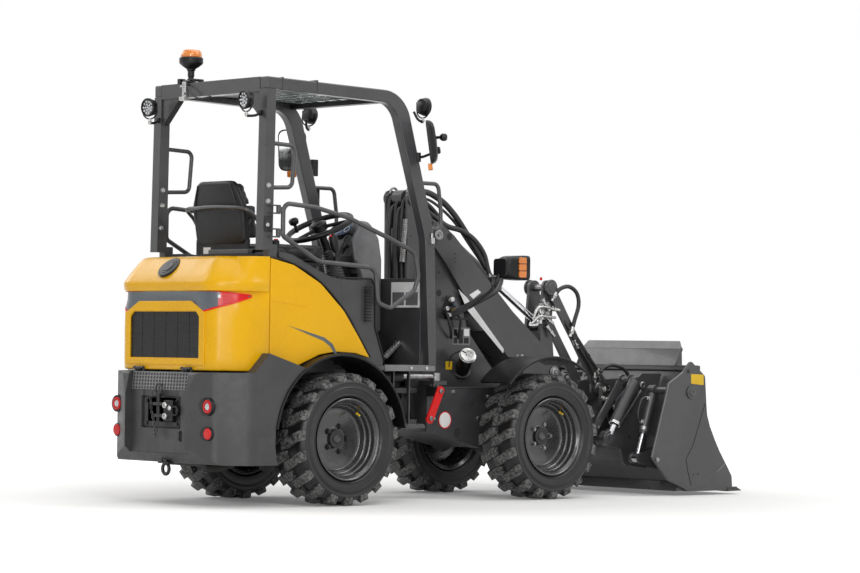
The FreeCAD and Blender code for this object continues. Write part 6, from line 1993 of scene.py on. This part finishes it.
    def fittings(self) -> None:
        """Hose unions and bolts round the rocker's head."""
        head = Shape("rocker_head_bosses")
        for side in (-1, 1):
            out = Vector((0, side, 0))
            head.lathe([(-2, 46), (8, 46), (11, 42), (11, 26), (14, 24), (14, 1)], at(1897, side * 84, 1178),
                       out, 36)
        head.finish(GREY, "rocker", bevel=1.2, smooth_angle=40)
        unions = Shape("rocker_unions")
        for x, y, z, dx, dz in ((1840, -72, 1110, 0.5, -0.8), (1810, -74, 1072, 0.2, -1.0),
                                (1850, -76, 1020, 0.7, -0.6),
                                (1880, -78, 1064, 1.0, -0.2), (1870, -78, 960, 0.6, -0.8),
                                (1838, -72, 1040, -0.4, -1.0)):
            axis = Vector((dx, -0.25, dz)).normalized()
            foot = at(x, y, z)
            unions.hexagon(foot, axis, 26, 18)
            unions.bar(foot + axis * 0.018, foot + axis * 0.042, 9, 14, 1)
            unions.hexagon(foot + axis * 0.040, axis, 22, 16)
            unions.bar(foot + axis * 0.056, foot + axis * 0.080, 10, 14, 1)
        unions.finish(ZINC, "rocker", bevel=0.6)
        Shape("rocker_valve_block").prism(rounded([(1826, 990), (1896, 1000), (1890, 1096), (1820, 1086)],
                                                  [8] * 4, 3), Axis.Y, -80,
                                          -66).finish(STEEL, "rocker", bevel=1.5)
        tubes = Shape("rocker_pipes")
        tubes.tube([at(1760, -84, 1000), at(1790, -94, 1060), at(1850, -98, 1066), at(1908, -96, 1052)], 8,
                   12, 6)
        tubes.tube([at(1752, -80, 968), at(1800, -92, 1012), at(1860, -98, 1010), at(1926, -94, 1008)], 8, 12,
                   6)
        tubes.finish(ZINC, "rocker")
        Shape("rocker_grease_cap").lathe([(0, 7), (12, 8), (18, 5), (19, 1)], at(1900, 0, 1220),
                                         Vector((0, 0, 1)), 16).finish(RED, "rocker")

    def link_hoses(self) -> None:
        """Hose loop over the link's head and the pair that runs down the link."""
        loop = Shape("link_hose_loop")
        loop.tube([at(1918, -90, 1128), at(1960, -96, 1172), at(2030, -98, 1186), at(2092, -98, 1150),
                   at(2108, -98, 1080),
                   at(2076, -96, 986), at(2062, -94, 920), at(2096, -92, 862)], 12, 14, 8)
        loop.tube([at(2050, -96, 946), at(2120, -100, 868), at(2190, -100, 790), at(2262, -98, 716),
                   at(2280, -96, 690)], 10, 12, 8)
        loop.tube([at(2000, -70, 1010), at(2060, -94, 920), at(2140, -98, 816), at(2210, -96, 736),
                   at(2250, -94, 668)], 10, 12, 8)
        loop.finish(HOSE, "link", smooth_angle=70)
        ends = Shape("link_unions")
        for x, y, z, dx, dz in ((1918, -90, 1128, -0.6, -0.8), (2096, -92, 862, 0.5, -0.8),
                                (2280, -96, 690, 0.4, -0.9),
                                (2250, -94, 668, 0.2, -1.0), (2056, -96, 930, -0.3, -0.9)):
            axis = Vector((dx, 0, dz)).normalized()
            foot = at(x, y, z)
            ends.bar(foot - axis * 0.026, foot, 14, 14, 1)
            ends.hexagon(foot, axis, 28, 16)
            ends.bar(foot + axis * 0.014, foot + axis * 0.034, 9, 12, 1)
        ends.finish(ZINC, "link", bevel=0.6)
        bosses = Shape("link_end_bosses")
        for side in (-1, 1):
            out = Vector((0, side, 0))
            bosses.lathe([(-2, 30), (4, 30), (6, 27), (6, 1)], at(2296, side * 83, 607), out, 32)
            bosses.hexagon(at(2296, side * 88, 607), out, 20, 9)
        bosses.finish(STEEL, "link", bevel=0.8)
        clips = Shape("link_hose_clips")
        for x, z in ((2092, 878), (2176, 796)):
            clips.prism([(x - 12, z - 4), (x + 6, z - 22), (x + 24, z - 6), (x + 6, z + 12)], Axis.Y, -112,
                        -80)
        clips.finish(BLACK, "link", bevel=2.0)


# --- bucket -------------------------------------------------------------------------------------------


@dataclass
class Bucket:
    """Cut edges, coupler arms, fittings, plates and bolts of the bucket and its coupler."""

    repeat: Repeater
    side_face: float = 590.0
    guard_half: float = 405.0

    def build(self) -> None:
        """Make every piece."""
        self.clam()
        self.blade()
        self.guard()
        self.clam_details()
        self.coupler()
        self.hooks()
        self.cylinders()

    def clam(self) -> None:
        """The hinged clam with hollowed front edges."""
        edge = [(2664, 540), (2673, 460), (2698, 394), (2740, 318), (2782, 251), (2848, 163), (2887, 107),
                (2893, 44),
                (3000, 44), (3000, 610), (2700, 610)]
        tools = []
        for side in (-1, 1):
            cut = Shape("edge_cut")
            cut.prism(edge, Axis.Y, *sorted((side * 566, side * 610)))
            tools.append(cut)
        piece = refine("clam_shell", GREY, 0.0)
        carve(piece, tools)
        reshade(piece, 0.002, 35)

    def blade(self) -> None:
        """The back blade without its old rim, which the guard's own rim follows."""
        cut = Shape("rim_cut")
        cut.prism([(2664, 834), (2780, 834), (2780, 900), (2636, 900), (2646, 850)], Axis.Y, -430, 430)
        piece = refine("back_blade", GREY, 0.0)
        carve(piece, [cut])
        reshade(piece, 0.0015, 35)

    def guard(self) -> None:
        """Mitred rim of the spill guard, its end stays and ribs."""
        # The rim is in the lighter grey: a painted highlight on its top.
        rim = Shape("guard_rim")
        low, high = self.guard_half + 3, self.guard_half - 34
        front = [(2652, -low, 838), (2652, low, 838), (2672, high, 884), (2672, -high, 884)]
        rim.skin([[at(x, y, z) for x, y, z in front], [at(x - 7, y, z) for x, y, z in front]])
        rim.finish(PAINTED_HIGHLIGHT_GREY, "bucket", bevel=1.5)
        stays = Shape("guard_stays")
        for side in (-1, 1):
            y = side * (self.guard_half - 4)
            stays.bar(at(2652, y, 846), at(2598, y, 742), 5, 10)
            stays.prism([(2604, 742), (2656, 742), (2652, 838), (2646, 838)], Axis.Y, *sorted((y - 3, y + 3)))
        for y in (-200, 0, 200):
            stays.prism([(2606, 744), (2640, 744), (2654, 836), (2648, 836)], Axis.Y, y - 3, y + 3)
        stays.finish(GREY, "bucket", bevel=0.8)

    def clam_details(self) -> None:
        """Hinge bosses, blank plates, bolts, painted shade in the folds, painted edge highlights and the bolted
        cutting edge.
        """
        for sign, label in sides():
            out = Vector((0, sign, 0))
            boss = Shape(f"clam_hinge_boss_{label}")
            boss.lathe([(-2, 38), (7, 38), (10, 35), (10, 24), (15, 22), (17, 18), (17, 8), (14, 7), (14, 1)],
                       at(2535, sign * self.side_face, 590), out, 40)
            boss.finish(GREY, "clam", bevel=1.0, smooth_angle=40)
            plate = Shape(f"clam_plate_{label}")
            plate.prism(rounded([(2533, 640), (2638, 632), (2637, 692), (2533, 696)], [6] * 4, 3), Axis.Y,
                        *sorted((sign * 588, sign * 591.5)))
            plate.finish(YELLOW_PLATE, "clam")
            # The clam's holes are flat near-black discs: painted shade, not cut.
            hole = Shape(f"clam_holes_{label}")
            hole.lathe([(-1, 12), (0.8, 12)], at(2509, sign * 590, 710), out, 24)
            hole.lathe([(-1, 5), (0.8, 5)], at(2560, sign * 590, 120), out, 14)
            hole.lathe([(-1, 5), (0.8, 5)], at(2600, sign * 590, 122), out, 14)
            hole.finish(NEAR_BLACK_AND_HOLE_SHADE, "clam")
            Shape(f"clam_bolts_{label}").hexagon(at(2259, sign * 590, 210), out, 24,
                                                 10).finish(STEEL, "clam", bevel=0.6)
            # Dark lines in the side plate's creases are painted shade.
            fold = Shape(f"clam_folds_{label}")
            fold.tube([at(x, sign * 589, z) for x, z in ((2656, 531), (2556, 287), (2500, 210), (2512, 150),
                                                         (2544, 60))],
                      3.6, 8, 2, smooth=False)
            fold.finish(DARK, "clam")
            # Light grey lines along the side plate's edges are painted highlights.
            edge = Shape(f"clam_worn_edges_{label}")
            edge.tube([at(2752, sign * 589, 126), at(2832, sign * 589, 179)], 3.4, 8, 2, smooth=False)
            edge.tube([at(x, sign * 588, z) for x, z in ((2466, 704), (2351, 642), (2329, 570), (2218, 226),
                                                         (2218, 222))],
                      3.6, 8, 2, smooth=False)
            edge.finish(PAINTED_HIGHLIGHT_GREY, "clam")
        Shape("clam_cutting_edge").prism([(2850, 18), (2966, 20), (2966, 24), (2930, 40), (2850, 40)], Axis.Y,
                                         -594, 594).finish(STEEL_DARK, "clam", bevel=1.5)
        stud = Shape("clam_edge_bolts")
        stud.lathe([(0, 12), (4, 12), (6, 9), (6, 1)], at(2890, -520, 39), Vector((0, 0, 1)), 16)
        self.repeat.grid(stud, STEEL, "clam", 9, (0, 130, 0))

    def coupler(self) -> None:
        """Arms, cross tube, collars, bosses and the hose arc of the quick coupler."""
        arms = Shape("coupler_side_arms")
        for side in (-1, 1):
            y = side * 356
            arms.bar(at(2310, y, 648), at(2150, y, 408), 32, 28, 2)
            arms.prism([(2236, 652), (2286, 640), (2096, 392), (2050, 404)], Axis.Y,
                       *sorted((side * 286, side * 300)))
            arms.bar(at(2380, side * 344, 596), at(2196, side * 344, 392), 10, 14, 1)
            arms.prism(rounded([(2060, 284), (2232, 262), (2252, 392), (2112, 376)], [20] * 4, 4), Axis.Y,
                       *sorted((side * 328, side * 340)))
        arms.finish(GREY, "bucket", bevel=1.5, smooth_angle=40)
        collars = Shape("coupler_collars")
        for side in (-1, 1):
            foot = at(2150, side * 356, 400)
            axis = (at(2310, side * 356, 648) - foot).normalized()
            collars.lathe([(-8, 30), (-8, 36), (8, 36), (8, 30)], foot + axis * 0.010, axis, 32, closed=True)
            collars.bar(foot - axis * 0.075, foot, 18, 20)
        collars.finish(CHROME, "bucket", bevel=0.8)
        bosses = Shape("coupler_low_bosses")
        for side in (-1, 1):
            out = Vector((0, side, 0))
            bosses.lathe([(-24, 44), (18, 44), (22, 40), (22, 29), (27, 26), (27, 12), (22, 10), (22, 1)],
                         at(2100, side * 348, 324), out, 40)
        bosses.finish(GREY, "bucket", bevel=1.0, smooth_angle=40)
        cross = Shape("coupler_cross_tube")
        for side in (-1, 1):
            cross.bar(at(2366, side * 176, 652), at(2366, side * 326, 652), 24, 28, 2)
            for y in (194, 262):
                cross.lathe([(-16, 24), (-16, 33), (16, 33), (16, 24)], at(2366, side * y, 652),
                            Vector((0, side, 0)), 28,
                            closed=True)
        cross.finish(GREY, "bucket", bevel=1.0, smooth_angle=40)
        hoses = Shape("coupler_hoses")
        hoses.tube([at(2140, -250, 700), at(2170, -252, 726), at(2230, -254, 740), at(2306, -256, 726),
                    at(2354, -254, 694), at(2372, -250, 656)], 11, 12, 6)
        hoses.tube([at(2150, -236, 690), at(2196, -232, 640), at(2228, -228, 604)], 10, 12, 6)
        hoses.tube([at(2238, -224, 530), at(2216, -228, 470), at(2240, -236, 424), at(2296, -238, 430)], 9,
                   12, 6)
        hoses.finish(HOSE, "bucket", smooth_angle=70)
        unions = Shape("coupler_unions")
        for x, y, z, dx, dy, dz in ((2222, -200, 596, 0.4, -0.9, 0.3), (2212, -200, 545, 0.2, -1.0, -0.1),
                                    (2276, -200, 562, 0.6, -0.8, 0.1), (2300, -200, 500, 0.3, -0.9, -0.4),
                                    (2250, -200, 520, -0.2, -1.0, 0.2)):
            axis = Vector((dx, dy, dz)).normalized()
            foot = at(x, y, z)
            unions.hexagon(foot, axis, 30, 14)
            unions.bar(foot + axis * 0.012, foot + axis * 0.028, 10, 12, 1)
            unions.hexagon(foot + axis * 0.026, axis, 24, 12)
        unions.finish(ZINC, "bucket", bevel=0.6)
        Shape("coupler_valve").prism(rounded([(2196, 486), (2300, 470), (2312, 600), (2210, 618)], [12] * 4,
                                             3), Axis.Y, -204, -174).finish(STEEL_DARK, "bucket", bevel=2.0)

    def hooks(self) -> None:
        """Pins, holes and red caps at the hook plates."""
        for sign, label in sides():
            out = Vector((0, sign, 0))
            Shape(f"hook_pin_{label}").lathe([(-4, 24), (10, 24), (13, 20), (13, 8), (10, 7), (10, 1)],
                                             at(2400, sign * 330, 624), out,
                                             32).finish(STEEL, "bucket", bevel=0.8)
            # The hook plate's hole is a flat near-black disc: painted shade, not cut.
            Shape(f"hook_hole_{label}").lathe([(-1, 15), (0.8, 15)], at(2300, sign * 330, 330), out,
                                              28).finish(NEAR_BLACK_AND_HOLE_SHADE, "bucket")
            red = Shape(f"hook_caps_{label}")
            red.bar(at(2300, sign * 296, 268), at(2320, sign * 296, 236), 14, 18, 2)
            red.bar(at(2436, sign * 344, 236), at(2436, sign * 366, 236), 9, 16, 1)
            red.finish(RED, "bucket")

    def cylinders(self) -> None:
        """Glands, ports and hoses of the clam cylinders."""
        top, foot = at(2370, 0, 600), at(2240, 0, 215)
        axis = (foot - top).normalized()
        for side in Side:
            y = Vector((0, side.value * 0.450, 0))
            label = side.name.lower()
            gland = Shape(f"clam_gland_{label}")
            place = top + y + axis * 0.222
            gland.lathe([(0, 27), (0, 32), (20, 32), (24, 28), (24, 17)], place, axis, 32)
            gland.finish(STEEL, "clam_cylinders", bevel=0.6)
            port = Shape(f"clam_ports_{label}")
            ahead = Vector((-0.9, 0, 0.3)).normalized()
            for reach in (0.06, 0.20):
                start = top + y + axis * reach + ahead * 0.024
                port.hexagon(start, ahead, 24, 14)
                port.bar(start + ahead * 0.012, start + ahead * 0.028, 8, 12, 1)
            port.finish(ZINC, "clam_cylinders", bevel=0.5)
            hose = Shape(f"clam_hose_{label}")
            hose.tube([top + y + axis * 0.20 + ahead * 0.05, top + y + axis * 0.17 + ahead * 0.075,
                       top + y + axis * 0.09 + ahead * 0.075, top + y + axis * 0.06 + ahead * 0.05], 8, 12, 6)
            hose.finish(HOSE, "clam_cylinders")


# --- articulation and side panels ---------------------------------------------------------------------


@dataclass
class Articulation:
    """Hoses that cross the central pivot, and the decor of the side panels."""

    repeat: Repeater

    def build(self) -> None:
        """Make every piece."""
        self.hoses()
        self.step_parts()
        self.panel_decor()

    def hoses(self) -> None:
        """Bundle across the pivot, on no body."""
        for number, (y, z, radius) in enumerate(((-70, 664, 13), (-44, 686, 15), (-14, 672, 14),
                                                 (16, 690, 15), (44, 668, 13),
                                                 (72, 684, 13)), 1):
            hose = Shape(f"pivot_hose_{number}")
            hose.tube([at(470, y * 1.4, z - 6), at(560, y * 1.3, z), at(650, y, z + 4),
                       at(742, y * 0.9, z - 8),
                       at(830, y, z - 2), at(862, y * 1.04, z - 2)], radius, 14, 6)
            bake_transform(hose.finish(HOSE, "", smooth_angle=70))
        unions = Shape("pivot_unions")
        for y, z in ((-73, 662), (-46, 684), (-15, 670), (17, 688), (46, 666), (75, 682)):
            unions.hexagon(at(861, y, z), Vector((1, 0, 0)), 32, 16)
            unions.bar(at(866, y, z), at(900, y, z), 14, 14)
        unions.finish(ZINC, "front_frame", bevel=0.6)
        Shape("pivot_bulkhead").prism(rounded([(-96, 612), (96, 612), (96, 706), (-96, 706)], [10] * 4, 3),
                                      Axis.X, 894, 902).finish(DARK, "front_frame", bevel=1.5)
        Shape("floor_valve_block").box((420, -110, 628),
                                       (566, 190, 700)).finish(DARK, "rear_frame", bevel=4.0)

    def step_parts(self) -> None:
        """Inner walls over the wheels, and the bolts and latch at each step."""
        walls = Shape("wheel_bay_walls")
        for side in (-1, 1):
            walls.prism([(-470, 560), (-330, 500), (250, 500), (250, 700), (140, 860), (-470, 900)], Axis.Y,
                        *sorted((side * 206, side * 212)))
        walls.finish(DARK, "rear_frame", bevel=1.0)
        for sign, label in sides():
            bolts = Shape(f"step_bolts_{label}")
            for x in (490, 600):
                bolts.hexagon(at(x, sign * 468, 716), Vector((0, sign, 0)), 17, 8)
            bolts.finish(ZINC, "rear_frame", bevel=0.5)
            catch = Shape(f"gate_catch_{label}")
            catch.box((604, min(sign * 474, sign * 492), 1380), (628, max(sign * 474, sign * 492), 1412))
            catch.bar(at(616, sign * 480, 1412), at(616, sign * 480, 1436), 6, 12, 1)
            catch.finish(ZINC, "rear_frame", bevel=1.0)

    def panel_decor(self) -> None:
        """Dark streak and fold line on the yellow side panels."""
        for side in Side:
            low, high = sorted((side.value * 478, side.value * 480.9))
            label = side.name.lower()
            streak = Shape(f"panel_streak_{label}")
            streak.prism([(-372, 931), (-122, 871), (-66, 838), (-36, 790), (-54, 789), (-84, 826),
                          (-128, 853)], Axis.Y, low, high)
            streak.finish(BAND, "rear_frame")
            ribs = Shape(f"console_vent_{label}")
            ribs.box((156, min(side.value * 470, side.value * 481), 958),
                     (198, max(side.value * 470, side.value * 481), 966))
            self.repeat.grid(ribs, BLACK, "rear_frame", 1, (0, 0, 0), 12, (0, 0, 16))
            pedal = Shape(f"foot_grip_{label}")
            pedal.prism([(486, 774), (500, 762), (604, 846), (590, 862)], Axis.Y,
                        *sorted((side.value * 238, side.value * 262)))
            for k in range(6):
                pedal.box((506 + k * 15, min(side.value * 236, side.value * 264), 780 + k * 12.5),
                          (512 + k * 15, max(side.value * 236, side.value * 264), 796 + k * 12.5))
            pedal.bar(at(594, side.value * 250, 852), at(640, side.value * 250, 800), 8, 12)
            pedal.finish(ZINC, "rear_frame", bevel=1.0)
            fold = Shape(f"panel_fold_{label}")
            fold.prism([(-480, 1064), (-243, 1029), (-243, 1026), (-480, 1054)], Axis.Y,
                       *sorted((side.value * 478, side.value * 482)))
            fold.finish(YELLOW, "rear_frame", bevel=0.8)
            trim = Shape(f"panel_edge_trim_{label}")
            line = [(-484, 1275), (-330, 1244), (-150, 1155), (12, 1015), (113, 884), (194, 770)]
            trim.tube([at(x + 3, side.value * 473, z + 3) for x, z in line], 5, 8, 4)
            trim.finish(BLACK, "rear_frame")


# --- stage ----------------------------------------------------------------------------------------


@dataclass
class Stage:
    """Floor, soft lights and the camera."""

    lens: float = 127.41
    sensor: float = 36.0
    camera_place: Point = (-11.321, -12.505, 0.830)
    yaw: float = 42.141
    pitch: float = 1.137
    roll: float = 0.782
    glow_near: float = 0.10
    glow_far: float = 0.85
    floor_half: float = 60.0
    world_light: float = 0.26
    lamps: tuple[tuple[str, Point, float, float, float], ...] = (
        ("key", (-5.5, -7.5, 6.0), 2.5, 3.5, 215.0), ("strip", (-7.4, -5.4, 2.4), 1.2, 4.4, 150.0),
        ("side", (3.6, -5.0, 6.4), 3.0, 3.0, 120.0), ("left", (-5.0, 4.5, 5.5), 2.0, 3.5, 70.0),
        ("top", (0.2, -0.6, 7.0), 7.0, 6.0, 190.0), ("rim", (-2.0, 8.0, 5.5), 4.0, 4.0, 150.0))

    def build(self) -> None:
        """Make the whole stage."""
        self.floor()
        self.world()
        self.lights()
        self.camera()
        bpy.context.scene.view_settings.view_transform = "Standard"

    def floor(self) -> None:
        """Pale floor that keeps the machine's shadow."""
        mesh = bpy.data.meshes.new("floor")
        far = self.floor_half
        mesh.from_pydata([(-far, -far, 0), (far, -far, 0), (far, far, 0), (-far, far, 0)], [], [(0, 1, 2, 3)])
        floor = bpy.data.objects.new("floor", mesh)
        bpy.context.scene.collection.objects.link(floor)
        material = bpy.data.materials.new("pale_floor")
        material.use_nodes = True
        tree = material.node_tree
        place = add(tree, "ShaderNodeTexCoord")
        reach = add(tree, "ShaderNodeVectorMath", {0: place.outputs["Object"]}, operation="LENGTH")
        glow = add(tree, "ShaderNodeMapRange", {
            "From Min": 1.2, "From Max": 6.0, "To Min": self.glow_near, "To Max": self.glow_far,
            "Value": reach.outputs["Value"]})
        lift = add(tree, "ShaderNodeMath", {0: self.seen(tree), 1: glow.outputs["Result"]},
                   operation="MULTIPLY")
        set_inputs(tree, tree.nodes["Principled BSDF"], {
            "Base Color": (0.86, 0.86, 0.85, 1), "Roughness": 0.9, "Specular IOR Level": 0.1,
            "Emission Color": (1, 1, 1, 1), "Emission Strength": lift.outputs[0]})
        mesh.materials.append(material)

    def seen(self, tree: bpy.types.NodeTree) -> bpy.types.NodeSocket:
        """One for rays that show the background itself: from the camera, from a shine or through glass.

        Args:
            tree: Node tree that gets the nodes.

        Returns:
            The socket to link on.
        """
        rays = add(tree, "ShaderNodeLightPath")
        value = rays.outputs["Is Camera Ray"]
        for kind in ("Is Glossy Ray", "Is Transmission Ray"):
            value = add(tree, "ShaderNodeMath", {0: value, 1: rays.outputs[kind]},
                        operation="MAXIMUM").outputs[0]
        return value

    def world(self) -> None:
        """Even pale surroundings, white where the camera or a shiny surface sees them."""
        world = bpy.data.worlds.new("studio")
        bpy.context.scene.world = world
        world.use_nodes = True
        tree = world.node_tree
        mix = add(tree, "ShaderNodeMapRange", {"To Min": self.world_light, "To Max": 1.0,
                                               "Value": self.seen(tree)})
        set_inputs(tree, tree.nodes["Background"], {"Color": (1, 1, 1, 1), "Strength": mix.outputs["Result"]})

    def lights(self) -> None:
        """Six large soft lamps, aimed at the middle of the machine."""
        aim = Vector((0, 0, 0.9))
        for name, place, size, tall, power in self.lamps:
            data = bpy.data.lights.new(name, "AREA")
            data.shape = "RECTANGLE"
            data.size = size
            data.size_y = tall
            data.energy = power
            lamp = bpy.data.objects.new(name, data)
            lamp.location = place
            lamp.rotation_euler = (aim - Vector(place)).to_track_quat("-Z", "Y").to_euler()
            bpy.context.scene.collection.objects.link(lamp)

    def camera(self) -> None:
        """Long lens low behind the right rear corner."""
        yaw, pitch, roll = (math.radians(a) for a in (self.yaw, self.pitch, self.roll))
        ahead = Vector((math.sin(yaw) * math.cos(pitch), math.cos(yaw) * math.cos(pitch), math.sin(pitch)))
        right = Vector((math.cos(yaw), -math.sin(yaw), 0))
        up = right.cross(ahead)
        right, up = (right * math.cos(roll) + up * math.sin(roll),
                     up * math.cos(roll) - right * math.sin(roll))
        turn = Matrix((right, up, -ahead)).transposed().to_4x4()
        data = bpy.data.cameras.new("camera")
        data.lens = self.lens
        data.sensor_width = self.sensor
        camera = bpy.data.objects.new("camera", data)
        camera.matrix_world = Matrix.Translation(Vector(self.camera_place)) @ turn
        bpy.context.scene.collection.objects.link(camera)
        bpy.context.scene.camera = camera


class FramePaint:
    """Frame nodes that keep their shape and get rounded edges and a finish."""

    plain: dict[str, tuple[Finish, float]] = {
        "rear_chassis": (DARK, 2.0), "rear_axle": (DARK, 2.0), "engine_block": (DARK, 4.0),
        "rear_fenders": (BLACK, 2.0), "side_panels": (YELLOW, 3.5),
        "platform": (GREY, 2.0), "side_consoles": (MOULDED, 6.0), "seat_base": (BLACK, 4.0),
        "steering_column": (BLACK, 4.0), "steering_wheel": (BLACK, 1.0),
        "canopy_side_frames": (GREY, 7.0), "canopy_rear_frame": (GREY, 4.0),
        "grab_handles": (GREY, 0.0), "rear_hitch": (DARK, 2.0),
        "tow_eye": (DARK, 1.0),
        "right_gate_loop": (GREY, 0.0), "left_gate_loop": (GREY, 0.0), "front_chassis": (GREY, 2.5),
        "front_axle": (DARK, 2.0), "front_fenders": (BLACK, 2.0),
        "boom_arm": (GREY, 2.5), "lift_barrel": (GREY, 2.0), "lift_rod": (CHROME, 1.0),
        "mast_pin": (STEEL, 1.5), "tilt_barrel": (GREY, 2.0), "tilt_rod": (CHROME, 1.0),
        "rocker_pin": (STEEL, 1.5), "rocker_lever": (GREY, 2.5), "link_pin": (STEEL, 1.5),
        "bucket_link": (GREY, 2.0), "coupler_pin": (STEEL, 1.5), "coupler_frame": (GREY, 2.5),
        "clam_barrels": (GREY, 1.5),
        "clam_rods": (CHROME, 1.0), "steer_barrel": (DARK, 1.5), "steer_rod": (STEEL, 1.0),
    }

    def build(self) -> None:
        """Refine every listed node."""
        for node, (finish, bevel) in self.plain.items():
            refine(node, finish, bevel)


def main() -> None:
    """Build the stage and every sub-assembly in order."""
    logging.basicConfig(level=logging.INFO, format="%(message)s")
    Stage().build()
    repeat = Repeater()
    FramePaint().build()
    Hood(repeat).build()
    RearWeight(repeat).build()
    Canopy(repeat).build()
    Station(repeat).build()
    FrontFrame(repeat).build()
    Linkage(repeat).build()
    Bucket(repeat).build()
    Articulation(repeat).build()
    for end in ("rear", "front"):
        for side in Side:
            Wheel(end, side, repeat).build()


if __name__ == "__main__":
    main()
